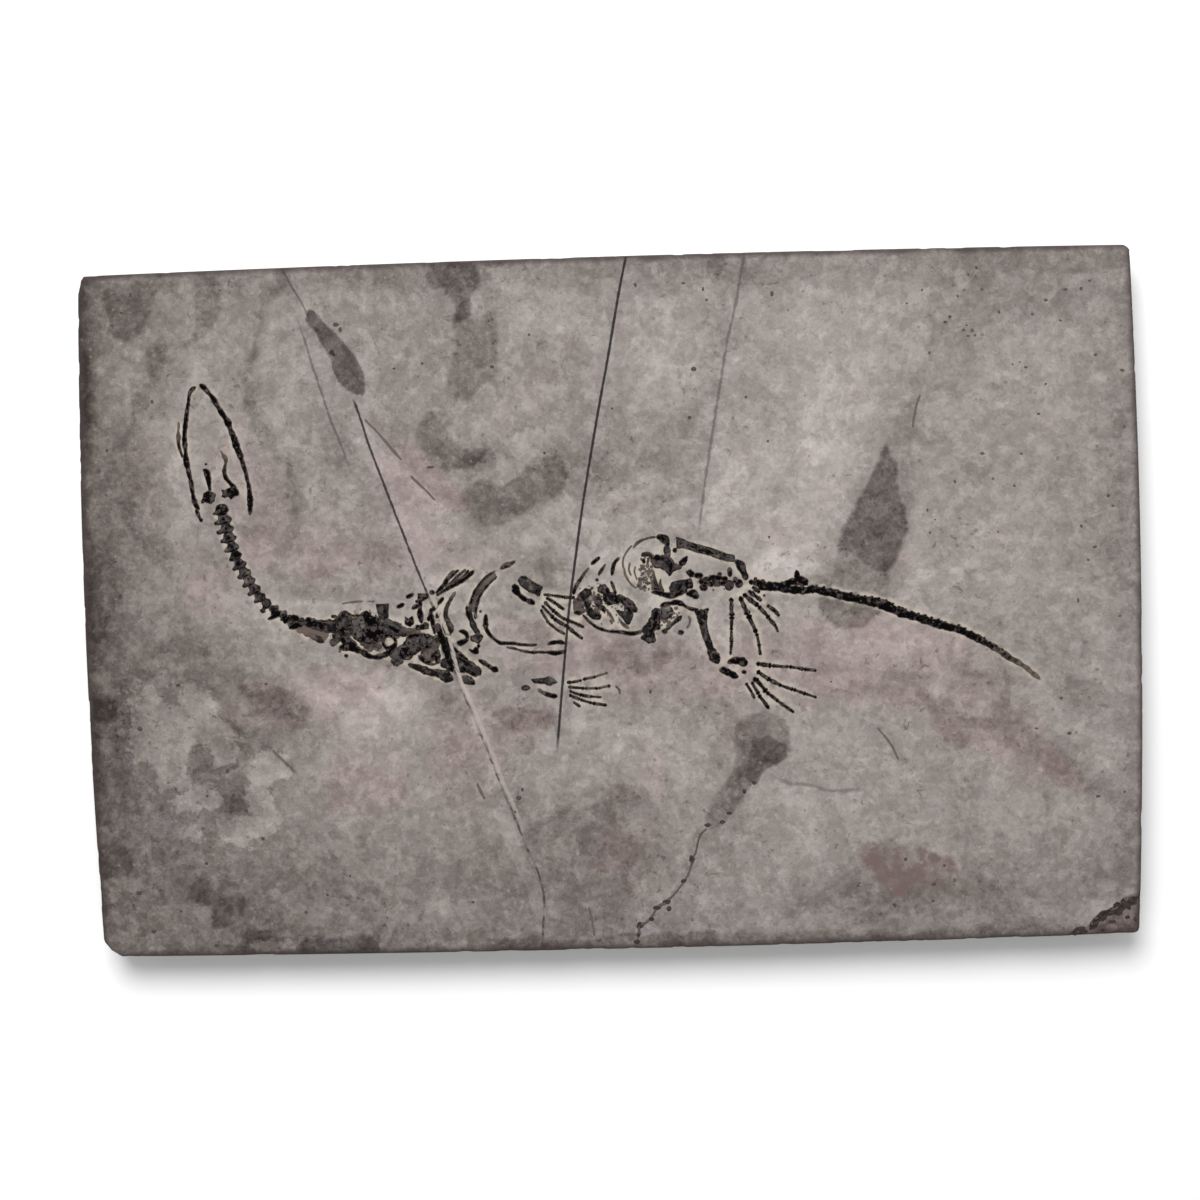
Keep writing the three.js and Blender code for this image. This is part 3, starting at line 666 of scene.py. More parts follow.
outline("shoulder_film", [
    (-44.4, -3), (-43, -2.6), (-41, -3.4), (-39, -3.6), (-38.6, -4.4), (-41.4, -4.8), (-43, -5.4),
    (-44, -4.6),
], FILM, .6, .25, .6)
outline("scapula", [
    (-38, -7), (-36.6, -6.2), (-35.2, -5), (-34.6, -6), (-35, -8), (-36.6, -7.6),
], FILM, .6, .25, .4)
outline("neck_base", [
    (-63.5, -2.4), (-61, -2.6), (-58.6, -3.4), (-57, -4.2), (-58, -5.6), (-59.6, -5.4), (-61.6, -4.6),
    (-63.2, -3.6),
], FILM, .9, .3, .9)
stroke("humerus_lower", [
    (-41.2, -10.8, .6), (-39.9, -11.2, .9), (-38.2, -11.9, 1), (-36.4, -12.6, 1.1), (-34.6, -13.2, 1.3),
    (-33.2, -13.7, 1.4), (-32.1, -14.2, 1),
], RIB, .1)
stroke("humerus_lower", [
    (-37, -12.6, .05), (-35.4, -13.2, .2), (-33.8, -13.8, .2), (-32.8, -14, .1),
], RIB + .05, .8, (.9, .8))
stroke("humerus_lower", [
    (-36.6, -12, .3), (-35, -12.3, .5), (-33.4, -12.6, .6), (-32.6, -13, .5),
], DIGIT, .5, (.6, .2))
stroke("humerus_upper", [
    (-32, -10.2, 1.4), (-30.6, -10.8, 1.6), (-29.2, -11.4, 1.8), (-28, -12.1, 1.7), (-27, -12.8, 1.5),
    (-26.6, -13.4, 1),
], THICK, .3)
strokes(
    "humerus_upper", [(-31.2, -11.7, .4), (-29.8, -12, .6), (-28.2, -12.9, .6), (-27.1, -13.5, .4)],
    [(-31, -9.6, .2), (-29.4, -10.6, .4), (-27.8, -11.8, .3)],
    high=THICK + .05,
)
outline("humerus_upper", [
    (-32.2, -8.6), (-31.2, -8.8), (-30, -9.4), (-29, -10), (-29.4, -10.8), (-30.8, -10.4),
    (-31.9, -9.8),
], RIB, .3, .14)
outline("humerus_upper", [
    (-31.6, -11.2), (-30.4, -11.2), (-29.4, -11.8), (-29.8, -12.6), (-31, -12.6),
], RIB, .1, .14)
outline("humerus_end", [
    (-30.2, -13.6), (-29.3, -13.4), (-28.5, -13.8), (-27.8, -14.4), (-27.8, -15.1), (-29, -15.1),
    (-30, -14.9),
], RIB, .5)
print("shoulder and upper arm: the plan has", len(plan), "pieces")

# %% [markdown]
# ### Ribs
# Ribs are slim strokes. Where the real one shows as two dark walls with a pale strip between, the
# hollow bone has broken open, so it is two strokes side by side.

# %% Front ribs on the plan
stroke("rib_01", [
    (-35.1, 3.3, .1), (-34.2, 4.2, .35), (-33.4, 5.1, .45), (-32.5, 6.2, .4), (-31.7, 7, .45),
    (-30.8, 7.7, .35), (-30.2, 8, .15),
])
stroke("rib_01", [(-33.9, 4.7, .05), (-33, 6.1, .1), (-31.9, 7.4, .15), (-31.2, 8, .1)], RIB, .2, (.5, .5))
stroke("rib_01", [
    (-33.2, 4.6, .05), (-31.6, 5.9, .15), (-30.2, 7.1, .2), (-29.3, 7.8, .2), (-28.8, 8.2, .1),
], RIB, .2, (.5, .5))
beads("rib_01", (-35.8, 3.6, .55, .4))
stroke("rib_02", [
    (-35, 2.9, .2), (-33.6, 3.8, .3), (-32.2, 4.6, .35), (-30.7, 5.3, .45), (-29.3, 6.1, .5),
    (-28.3, 6.8, .6), (-27.5, 7.5, .4), (-27.2, 7.9, .15),
])
stroke("rib_02", [
    (-33, 4.7, .05), (-31.4, 5.5, .1), (-30, 6.3, .15), (-28.8, 7.3, .25), (-28.2, 8, .1),
], RIB, .3, (.7, .2))
stroke("rib_03", [
    (-32.7, -4.9, .6), (-32.5, -4, 1), (-32.6, -3.2, 1), (-32.9, -2.3, .8), (-33.2, -1.2, .5),
    (-33, .2, .45), (-32.5, 1.4, .45), (-31.9, 2.5, .4), (-31.4, 3.2, .25), (-31.1, 3.7, .1),
], JAW, .3, (0, .75))
outline("rib_03", [
    (-33.8, -2.8), (-33.1, -1.9), (-32.4, -2.2), (-31.8, -3.2), (-31.8, -4.3), (-32.4, -5.1),
    (-33.3, -4.8), (-33.8, -3.9),
], JAW + .05, .1)
outline("rib_04", [
    (-38.7, 3.5), (-37.6, 3.3), (-36.6, 3.3), (-36.7, 2.5), (-37.6, 2), (-38.6, 1.8),
], RIB, .3)
stroke("rib_04", [
    (-38.2, 2.3, .6), (-38.3, 1, .7), (-38.35, -.3, .75), (-38.3, -1.5, .6), (-38.1, -2.6, .6),
])
outline("rib_04", [
    (-39.2, -3), (-38.2, -2.9), (-37.4, -2.4), (-36.7, -2.8), (-36.8, -3.6), (-38, -3.8), (-39.2, -3.7),
], RIB)
strokes(
    "rib_splinters", [(-36.1, .5, .5), (-36.3, -.8, .5), (-36.8, -2.2, .5)],
    [(-36, -.6, .45), (-35.95, -2, .55), (-35.75, -3.5, .5), (-35.45, -4.9, .45)],
    [(-36, -.2, .2), (-34.9, 1, .4), (-33.5, 2.6, .3)],
    [(-34.4, -.2, .5), (-34.8, -.9, .5), (-35.2, -1.6, .5)],
)
stroke("rib_05", [
    (-35, -2.6, .5), (-34.7, -3.8, .9), (-34.3, -5.2, 1), (-33.8, -6.6, 1), (-33.4, -7.9, 1.1),
    (-33, -9.3, 1.1), (-32.7, -10.7, .9), (-32.4, -11.9, .7), (-32.1, -12.6, .4),
], JAW)
stroke("rib_05", [
    (-33.3, -5.4, .5), (-32.6, -7, .8), (-31.7, -8.3, .9), (-30.6, -9.2, .8), (-29.6, -9.6, .5),
])
stroke("rib_hooks", [
    (-30.7, -4.3, .3), (-29.9, -4.4, .45), (-29.3, -4.8, .5), (-29, -5.5, .5), (-29.2, -6.1, .4),
])
outline("rib_hooks", [
    (-31.1, -6.5), (-30.3, -6.3), (-29.4, -6.1), (-28.8, -6.2), (-29.5, -6.9), (-30.3, -7.3),
    (-30.9, -7.1),
], RIB)
outline("rib_hooks", [
    (-28.3, -5.5), (-27.3, -5.2), (-26.3, -5.1), (-25.7, -5.5), (-26.2, -6.2), (-26.7, -6.9),
    (-27.3, -6.6), (-28.2, -6.3),
], RIB, .3)
outline("rib_hooks", [
    (-28.8, -8), (-28, -8.3), (-27.4, -7.7), (-26.8, -7.9), (-26.9, -8.8), (-27.5, -9), (-28.3, -8.6),
], RIB)
stroke("rib_hooks", [(-26.7, -7, .6), (-26.8, -7.5, .55), (-26.8, -7.9, .5)])
stroke("small_rib", [
    (-26.9, -10.2, .35), (-25.8, -10.9, .55), (-24.9, -11.5, .5), (-24, -12.1, .7), (-23.4, -12.4, .9),
    (-22.9, -12.7, .4),
])
print("front ribs: the plan has", len(plan), "pieces")

# %% Middle ribs on the plan
stroke("rib_06_tip", [(-18.8, 9.5, .3), (-19.8, 9, .55), (-21.4, 8.3, .5), (-22, 8, .2)], RIB, 0, (.6, .3))
stroke("rib_06", [
    (-22.9, 7.6, .15), (-24, 7, .25), (-25.4, 5.9, .3), (-26.6, 4.4, .3), (-27.6, 2.6, .35),
    (-28.1, .8, .35), (-28.2, -.8, .4), (-27.9, -2.6, .7), (-27.3, -4.1, .75), (-26.5, -5.1, .55),
], RIB, .3, (.4, 0))
stroke("rib_06_inner", [
    (-22.6, 6.6, .15), (-24, 5.4, .25), (-25.3, 3.9, .3), (-26.3, 2.4, .3), (-26.9, .8, .3),
    (-27.2, -.8, .3), (-27.3, -2, .2),
], RIB, .2, (.3, 0))
stroke("rib_06_inner", [
    (-22.8, 7, .6), (-24.1, 6.1, .7), (-25.5, 4.8, .7), (-26.5, 3.2, .7), (-27.2, 1.4, .6),
    (-27.6, -.6, .4),
], DIGIT, .8, (.9, .55))
stroke("rib_06", [(-28.85, .8, .25), (-28.8, -.4, .5), (-28.5, -1.6, .55), (-28.2, -2.5, .4)])
beads("rib_06_inner", (-26.15, -.4, .3, .3))
stroke("rib_07", [
    (-25.05, -1, .33), (-25.15, -2, .63), (-25.2, -3.2, .68), (-24.95, -4.4, .58), (-24.3, -5.4, .48),
    (-23.4, -6.2, .43), (-22.5, -6.9, .48), (-20.8, -7, .33), (-18.6, -7.3, .28), (-16.5, -7.5, .33),
    (-14.9, -7.5, .23),
])
stroke("rib_07_end", [(-12.9, -7.5, .3), (-11.8, -7.2, .5), (-10.6, -7.1, .55), (-9.2, -7.4, .45)])
stroke("rib_08", [
    (-21.2, -7.8, .12), (-19.5, -8.2, .2), (-17.6, -8.7, .3), (-16, -9, .35), (-14.4, -9, .25),
    (-12.8, -9.1, .35), (-11.3, -9.3, .55), (-9.9, -9.1, .4), (-9.1, -8.9, .4),
], RIB, 0, (.5, 0))
print("all ribs: the plan has", len(plan), "pieces")

# %% [markdown]
# ### Hands and feet
# A hand is a fan of fingers, and a finger is a row of small waisted bones. One function lays them out:
# it walks along the finger's joints and puts a grey waist and two swollen black ends between each pair.

# %% Fingers and toes on the plan
JOINT_GAP = -0.10
# Stations along a bone as share and swelling, then height, grey and how much more it fades
WAIST = (((.1, .7), (.5, .7), (.9, .7)), DIGIT, .35, .1)
NEAR_END = (((0, 1), (.13, 1.35), (.3, .5)), DIGIT + .03, -.4, 0)
FAR_END = (((.7, .5), (.87, 1.35), (1, 1)), DIGIT + .03, -.4, 0)


def digit(piece, joints, wide, wide_end=None, fade=0.0):
    """A finger or toe: between each pair of joints one bone with swollen black ends and a grey waist."""
    joints = np.asarray(joints, float)
    count = len(joints) - 1
    widths = np.linspace(wide, wide if wide_end is None else wide_end, count)
    for k, (a, b, w) in enumerate(zip(joints[:-1], joints[1:], widths)):
        along = (b - a) / np.hypot(*(b - a))
        a, b = a + along * JOINT_GAP, b - along * JOINT_GAP
        dim = fade * (k + 1) / count
        dims = dim * .7, dim
        for stations, high, grey, more in WAIST, NEAR_END, FAR_END:
            bone = [(*(a + (b - a) * t), w * swell) for t, swell in stations]
            stroke(piece, bone, high, grey, (dims[0] + more, dims[1] + more))


outline("radius_upper", [
    (-18.5, 5.6), (-17.7, 6.4), (-16.9, 6.3), (-15.9, 5.4), (-14.6, 4.7), (-13.5, 4.1), (-13.9, 3.3),
    (-14.2, 2.4), (-15, 2.8), (-16.4, 3.4), (-17.6, 4.3),
], THICK, .35)
stroke("ulna_upper", [
    (-19.7, 4.1, .5), (-19.2, 4.3, 1), (-18.9, 3.6, 1), (-18.2, 2.7, .8), (-17.3, 1.9, .75),
    (-16.2, 1.3, .8), (-15.4, .9, .7), (-15.1, .7, .3),
], JAW)
digit("finger_upper_1", [(-13.3, 2.6), (-11.3, 2.3), (-9.3, 1.95), (-7.1, 1.8)], .4)
digit("finger_upper_2", [(-12.8, 1.9), (-10.9, .7), (-9.3, -.5)], .5)
digit("finger_upper_3", [(-13.2, 1.1), (-11.2, -1), (-9.1, -2.6), (-7.2, -3.3), (-5.4, -4.2)], .5, .6)
digit("finger_upper_4", [(-13.7, .4), (-11.4, -2.3), (-8.8, -4), (-7.3, -5.3), (-5.7, -6.5)], .5, .7)
digit("finger_upper_5", [(-14, -.4), (-12.5, -3.2), (-10.8, -4.6), (-9.3, -5.5)], .35)
outline("radius_lower", [
    (-16.3, -14.5), (-14.4, -14.3), (-12.7, -14.2), (-11.8, -14.6), (-11.2, -15.2), (-12.6, -15.8),
    (-13.8, -15.3), (-15.6, -15.3),
], RIB, .35)
beads("radius_lower", (-17.5, -16.2, .9, .5), high=FILM, grey=.8)
stroke("ulna_lower", [
    (-15.1, -16.4, .35), (-14.3, -17, .6), (-13.2, -17.6, .65), (-12.2, -17.9, .55), (-11.1, -18.1, .4),
], RIB, 0, (.8, 0))
digit("finger_lower_1", [(-9.1, -15.3), (-7.9, -15.3), (-6.2, -14.9)], .5)
digit("finger_lower_1", [(-5.9, -14.8), (-3.2, -14.3), (-.9, -13.5)], .28, .22, fade=.9)
digit("finger_lower_2", [(-8.9, -16.2), (-5.6, -16.6), (-2.9, -16.6), (-.4, -16.2)], .35, .25, fade=.6)
digit("finger_lower_3", [(-8.7, -17), (-6.2, -18), (-4.1, -18.3), (-2.3, -18.4)], .4, .35, fade=.3)
digit("finger_lower_4", [(-8.7, -17.8), (-6.6, -18.8), (-4.2, -19.6), (-1.2, -20.1)], .45, .35, fade=.3)
digit("finger_lower_5", [(-7.9, -19.3), (-6.6, -20.2)], .5)
stroke("finger_lower_tip", [(.6, -16.2, .2), (1.4, -17.2, .25), (1.5, -18, .2)], FILM, 0, (.8, .8))

digit("toe_upper_1", [
    (24.4, .9), (24.4, -2.8), (24.2, -5.7), (24.2, -8.1), (24, -9.6), (23.9, -10.5),
], .7, .42)
digit("toe_upper_2", [(26.1, 1.1), (27.7, -2.6), (29.3, -6.3), (29.8, -9.1), (30, -10.7)], .8, .42)
digit("toe_upper_3", [(26.8, 1.6), (29.8, -.9), (31.9, -3.4), (33.1, -5), (33.6, -6.2)], .85, .5)
digit("toe_upper_4", [(27.9, 2.2), (29.4, 1.1), (30.4, .2)], .9)
digit("toe_upper_4", [(31.6, -.8), (33, -1.9), (33.9, -3)], .8)
digit("toe_upper_5", [(28.7, 3), (30.1, 1.9)], 1.1)
beads("toe_upper_5", (31, 1.2, .3, .25), high=DIGIT)
digit("toe_lower_1", [(29.1, -12.5), (32.2, -12.95), (35.6, -13.3), (38.6, -13.85), (41.1, -14.15)], .6, .4)
digit("toe_lower_2", [
    (29.2, -14), (31.8, -15.9), (33.4, -16.8), (36.4, -17.9), (38.9, -18.9), (41, -19.6),
], .7, .4)
digit("toe_lower_3", [(28.8, -15.4), (31, -18.3), (33.4, -20.3), (34.8, -21.3), (36.4, -22.5)], .65, .45)
digit("toe_lower_4", [(28.1, -16.1), (29.4, -18.7), (31.4, -21.6)], .6, .5)
digit("toe_lower_5", [(26.9, -16.4), (28, -18.2), (28.5, -19.5)], .6, .55)
print("fingers and toes: the plan has", len(plan), "pieces")

# %% [markdown]
# ### Trunk
# Behind the ribs the backbone and the belly ribs are pressed together into a knot of short, thick
# strokes, with fine ribs above and one long thin rib curving below.

# %% Trunk on the plan
outline("trunk_bone_1", [
    (-6.6, 1.4), (-6, 2.8), (-5, 3.6), (-3.8, 3.4), (-3.8, 2.6), (-4.5, 2), (-5.2, 1.1), (-6, 1),
], THICK, .25, .16)
outline("trunk_bone_1", [
    (-7.2, 1.6), (-6.2, 1.2), (-5.5, .6), (-5.4, -.8), (-6, -1.5), (-7.1, -1.5), (-7.3, 0),
], DIGIT, .5, .18, .55)
beads("trunk_bone_1", (-6.6, -1.2, .75, .35), high=RIB)
stroke("trunk_bone_2", [
    (-5, 1.8, .6), (-4.7, .6, .8), (-4.3, -.6, .9), (-3.6, -1.7, 1.1), (-2.8, -2.2, 1.1), (-2, -2, .7),
], RIB, .15)
outline("trunk_bone_2", [(-3.7, -1.6), (-2.6, -1.5), (-1.8, -1.9), (-2.2, -2.6), (-3.2, -2.6)], RIB, 0, .14)
chips("trunk_bone_2", [
    (-6.8, 1.4), (-3, 2.4), (-1.4, 1.6), (-1.4, -.8), (-2.4, -1.8), (-6.6, -1.6),
], 70, (.35, 1), FILM, .4, .9, 12)
outline("trunk_bone_3", [
    (-3.1, 1.8), (-2.2, 2), (-1.7, 1.2), (-1.8, 0), (-2.4, -.5), (-3.1, .4),
], RIB, .3, .16)
stroke("trunk_bone_3", [(-1.8, .2, .6), (-1.4, -.6, .7), (-1.2, -1.4, .4)])
outline("trunk_bone_4", [
    (-2.3, 3), (-1.9, 4), (-.9, 4.2), (-.2, 3.2), (-.2, 2.4), (-1.2, 2.2),
], THICK, .75, .16)
outline("trunk_bone_4", [
    (-1.4, 2.4), (-.2, 2.8), (1, 2.2), (2, 1.6), (1.9, .6), (.8, .3), (-.4, .2), (-1.2, .9),
], THICK, .1, .16)
stroke("trunk_bone_4", [
    (1, 1.6, 1.2), (2.2, 1.3, 1.1), (3.2, .7, 1.3), (4.1, 0, 1.6), (4.9, -.9, 1.1), (5.4, -1.4, .4),
], THICK, .3)
outline("trunk_plate", [
    (1.2, -1), (2.4, -1.2), (3.5, -1.3), (4.5, -1.2), (4.5, -2.6), (3.7, -3.9), (2.9, -3.2),
    (2.1, -2.1),
], RIB, .2, .16)
stroke("trunk_plate", [(3.2, .2, .5), (3.7, -.8, .8), (4.2, -1.6, .8)])
chips("trunk_chips", [
    (-6.8, 1.6), (-5, 3.2), (-2, 4), (1.6, 2), (5, -1), (4.2, -2.8), (1.6, .2), (-2, -2.4),
    (-5.6, -1.4),
], 44, (.25, .8), RIB + .06, .7, draw=4)
chips("trunk_chips", [
    (-7, -2), (-7, 4.6), (-2.4, 5), (2.4, 3.4), (5.6, -2), (1, -4), (-3, -3.6),
], 26, (.15, .4), DIGIT, 0, .5, draw=5)
strokes(
    "trunk_chips", [(-.8, -.6, .2), (0, -2, .35), (.8, -3.4, .2)],
    [(1.6, -2.6, .2), (2.6, -3.9, .3), (3.8, -4.7, .2)],
    [(-.2, -2.8, .2), (.4, -3.8, .2)], high=FILM, fade=(.8, .9),
)
stroke("rib_09", [(-1.7, 9.8, .3), (-2.4, 9.4, .5), (-3.1, 8.8, .5), (-3.6, 8.3, .3)], RIB, -.3)
stroke("rib_09", [
    (-4, 7.8, .12), (-5.1, 6.5, .35), (-6.1, 5.1, .4), (-6.9, 3.8, .4), (-7.4, 2.4, .3),
], RIB, .1, (.6, .1))
stroke("rib_09_second", [
    (-.7, 8.5, .15), (-1.3, 7.5, .35), (-1.8, 6.8, .35), (-2.2, 6.1, .2),
], RIB, .3, (.5, .3))
beads("rib_09_second", (-2.5, 5.3, .35, .3))
stroke("rib_10", [
    (2.2, 9.7, .12), (1.6, 9.2, .4), (1, 8.3, .45), (.7, 7.2, .42), (.5, 6, .35),
], RIB, 0, (.3, .1))
stroke("rib_10", [(.2, 5, .2), (.6, 4.1, .4), (1, 3, .4), (1.2, 2.2, .5)])
strokes(
    "rib_10_faint", [(3, 7.6, .05), (3.1, 6.6, .15), (3.6, 5.4, .15), (4.4, 4.2, .15), (5.4, 3.3, .05)],
    [(4.2, 8.6, .05), (4, 7.2, .1), (4.4, 5.8, .1)], [(5.3, 7.8, .05), (5.1, 6.4, .1), (5.6, 5, .05)],
    high=DIGIT, fade=(1, .8),
)
stroke("rib_11", [
    (-5.6, -1.6, .2), (-4.6, -2.8, .3), (-3.2, -4, .35), (-1.6, -4.8, .35), (.2, -5.2, .35),
    (2.2, -5.4, .4), (4.2, -5.75, .4), (5.4, -5.6, .35), (6.4, -5.2, .2),
])
print("trunk: the plan has", len(plan), "pieces")

# %% [markdown]
# ### Hip
# The pelvis stands on edge: an arch on top, a plate inside it, a cup for the thigh bone, a bar and a
# keel below. The vertebrae between them have fallen apart, so they are beads.

# %% Hip on the plan
stroke("pelvis_arch", [
    (4.9, 11.4, .1), (5.5, 12.2, .3), (6.4, 12.8, .3), (7.5, 13.2, .15), (8.6, 13.5, .2),
    (9.6, 13.6, .3),
], DIGIT, .1, (.9, .5))
stroke("pelvis_arch", [
    (3, 7.2, .05), (2.8, 8.4, .1), (3.1, 9.8, .1), (3.8, 11, .1), (4.8, 12, .1),
], FILM, .1, (1, .9))
stroke("pelvis_arch", [
    (9.6, 13.6, .6), (10.4, 13.5, 1), (11.2, 13.1, 1.2), (11.8, 12.3, 1.1), (12, 11.6, 1),
], THICK)
stroke("pelvis_arch", [(11.8, 12, 1), (11.7, 11, 1.1), (11.8, 10, 1.2), (12, 9.2, 1)], RIB, .45)
beads("pelvis_arch", (13.3, 10.8, .4, .4), high=RIB)
outline("pelvis_plate", [
    (8.4, 8.6), (8.9, 9.4), (9.8, 9.7), (10.8, 9.9), (11.4, 9.3), (12.4, 9.5), (12.9, 8.6), (13.6, 7.9),
    (14.6, 7.6), (14.4, 7), (13.4, 6.9), (12.8, 6.4), (12.2, 5.7), (11.6, 6.2), (11.2, 6.9),
    (10.4, 7.4), (9.3, 7.5), (8.7, 8),
], RIB, .45, .2)
stroke("pelvis_plate", [(8.8, 9, .5), (9.8, 9.3, 1), (10.9, 9.2, .8)], THICK)
stroke("pelvis_plate", [(11.9, 9.2, .4), (12.3, 8.2, .8), (12.4, 7.2, .7), (12.2, 6.3, .3)], THICK)
outline("pelvis_plate_2", [
    (14.1, 8.3), (14.9, 9.2), (15.8, 9.6), (15.7, 8.7), (15.2, 7.8), (14.5, 7.6),
], RIB)
stroke("pelvis_ring", [
    (6.5, 9.8, .2), (7.1, 10.1, .5), (8, 10.1, .5), (8.6, 9.6, .4), (8.6, 8.6, .3),
], RIB, .5, (.3, .3))
strokes(
    "pelvis_ring", [(7.2, 9.4, .3), (7, 8.8, .4), (7.3, 8.3, .2)],
    [(7.8, 9.5, .1), (7.9, 8.8, .2), (7.7, 8.1, .1)], fade=(.3, .3),
)
chips("pelvis_ring", [(6.5, 10.4), (8.9, 10.4), (8.9, 8.2), (6.6, 8.2)], 16, (.25, .6), DIGIT, .6, .5, 9)
COLUMN = [(6.2, 8), (8.6, 8), (9, 5.6), (9.2, 3), (7.4, 2.6), (5.4, 3.4), (5.8, 6)]
chips("pelvis_column", COLUMN, 60, (.35, .9), FILM, .3, .95, 10)
chips("pelvis_column", COLUMN, 30, (.18, .5), DIGIT, .3, .3, 6)
stroke("pelvis_cup", [
    (8.8, 7, .1), (9, 5.8, .2), (9.2, 4.6, .45), (9.4, 3.4, .9), (9.9, 2.5, .9),
], RIB, .3, (.9, 0))
stroke("pelvis_cup", [
    (8.3, 2.5, .4), (9.4, 2.4, .6), (10.4, 2.1, .7), (11.6, 1.8, .75), (12.8, 1.75, .7), (13.8, 2, .6),
    (14.8, 2.5, .5), (15.6, 3.1, .5),
], THICK)
stroke("pelvis_cup", [(10.4, 5.2, .1), (10.2, 4.2, .25), (10.4, 3, .5), (10.8, 2.2, .5)], RIB, .8, (.6, 0))
outline("pelvis_socket", [
    (11.9, 3.2), (12.6, 4.1), (13.8, 4.5), (15.1, 4.8), (15.6, 4), (15.3, 2.9), (14, 2.2), (12.4, 2.3),
], RIB, .3, .14)
outline("pelvis_socket", [(15.3, 4.7), (16.3, 4.9), (16.8, 4), (16.5, 3.1), (15.6, 3), (15.1, 3.8)], THICK)
outline("sacrum", [(15.5, 6.3), (16.3, 6.8), (17, 6.3), (17.2, 5.6), (16.2, 5.3)], THICK)
beads(
    "sacrum", (17.9, 5.6, .9, .45), (18.9, 3.2, .75, .6), (18.5, 4.4, .55, .55), (19.6, 4.8, .8, .45),
    (20.8, 5.1, .7, .45), (21.9, 5, .8, .45), (20.3, 3.8, .6, .5), (21.6, 3.8, .8, .45),
    (22.9, 3.9, .7, .45), (23.2, 4.8, .6, .45), (22.2, 5.8, .4, .3), (24.2, 6.1, .4, .9),
    (25.3, 4.5, .45, .6), (26, 3.8, .7, .8), (16.7, 2, .9, .7), (17.2, 1.4, .7, .5), (15.8, 2, .5, .4),
    (19.3, 4, .5, .4), (21.1, 4.4, .5, .4),
)
beads("sacrum", (24, 3.5, .8, 1), grey=.4)
chips("sacrum", [
    (17.4, 5.4), (20, 5.8), (24, 5.4), (26.6, 4.6), (24.4, 2.6), (19, 2.6), (17.8, 3.6),
], 14, (.2, .45), RIB + .04, .3, draw=7)
stroke("pelvis_bar", [
    (10, -.5, .38), (11, -.1, .58), (12.2, .1, .58), (13.4, .3, .68), (14.4, 0, .58), (15.3, -.7, .38),
    (16.4, -1.1, .38), (17.8, -1.3, .28),
])
outline("pelvis_keel", [
    (9, -.7), (9.9, -1), (9.9, -2.4), (10, -3.6), (9.8, -4.8), (9.1, -5), (8.7, -5.5), (8.8, -6.5),
    (8.6, -7.7), (7.6, -7.8), (6.7, -7.2), (6.1, -6.6), (7, -6.3), (6.5, -5.7), (6.5, -4.8), (7, -4.1),
    (7.7, -3.4), (8.1, -2.4), (8.4, -1.4),
], RIB, .15, .2)
stroke("pelvis_keel", [
    (9.3, -1, .6), (9.1, -2.6, .9), (8.6, -3.9, 1.1), (8.2, -5, .8), (7.9, -6.6, .7),
], THICK)
outline("keel_plate", [
    (10.3, -.6), (12, -.5), (12.8, -1.5), (12.3, -2.6), (11.3, -3.1), (10.2, -2.9),
], RIB, .9, .18)
chips("keel_plate", [
    (9.8, -1), (11.6, -.6), (14.2, -1.4), (14, -2.6), (12.6, -4.2), (11.2, -5), (10.2, -5), (10, -3),
], 44, (.4, 1), FILM, .4, .95, 11)
stroke("keel_rod", [
    (10.3, -5.5, .6), (11.3, -5, .4), (12.2, -4.3, .35), (13.2, -3.4, .5), (14, -2.7, .55),
    (14.4, -2.3, .2),
], RIB, .1, (.3, 0))
beads("keel_rod", (10.8, -5.5, .6, .4), high=RIB)
stroke("keel_rod", [
    (15.6, -2.4, .05), (16, -3.2, .15), (15.9, -4, .1), (15.2, -5, .05),
], DIGIT, 0, (.9, .9))
beads("keel_rod", (14.1, -5.8, .6, .45), high=RIB, grey=.4)
print("hip: the plan has", len(plan), "pieces")

# %% [markdown]
# ### Hind limbs
# The upper thigh bone is the plainest single bone: a flat bar with a black rim and a grey middle. The
# other leg stands away from the body, bent at the knee.

# %% Hind limbs on the plan
outline("femur_upper", [
    (13.7, 13.4), (14.9, 12.9), (16.5, 12.2), (18.5, 11.6), (20.5, 11), (22.5, 10.2), (24, 9.6),
    (25.2, 9.3), (25.2, 8.2), (23.8, 8.4), (22.3, 8.8), (21, 9.4), (19.5, 9.9), (17.5, 10.4), (16, 11),
    (14.6, 11.3), (13.8, 11.2),
], RIB, .55, 0.06)
stroke("femur_upper", [(16, 11.8, .2), (17.5, 11.2, .6), (19.5, 10.5, .8), (21.2, 9.8, .5)], THICK, 0)
strokes(
    "femur_upper", [(20.8, 10.7, .1), (22.5, 10.1, .1), (25, 9.2, .1)],
    [(20.5, 9.6, .1), (22.4, 8.9, .1), (25.1, 8.4, .1)], high=RIB + .06,
)
stroke("shin_upper", [
    (25.3, 8.5, .6), (26.2, 7.7, 1.25), (26.7, 6.6, 1.15), (27.1, 5.6, 1.15), (27.4, 4.9, 1.05),
    (27.6, 4.4, .55),
], THICK, .2)
stroke("femur_lower", [
    (18.2, -1.2, 1.72), (18.4, -2.2, 1.9), (18.5, -3.6, 1.55), (18.7, -5, 1.25), (19.1, -6.5, 1.1),
    (19.6, -8, 1.0), (20, -9.4, 1.15), (20.5, -10.6, 1.62), (21.1, -11.6, 1.72), (21.4, -12.3, 1.02),
], THICK, .1)
outline("femur_lower", [(16.9, -1.4), (18.3, -1.6), (19.8, -1.1), (19.2, -2.4), (17.4, -2.5)], RIB)
stroke("tibia_lower", [
    (23.3, -12.2, .75), (24.3, -11.8, 1.05), (25.2, -11.7, 1.05), (26.1, -11.9, 1.1),
    (26.8, -12.1, 1.4), (27.4, -12, 1.2),
], JAW)
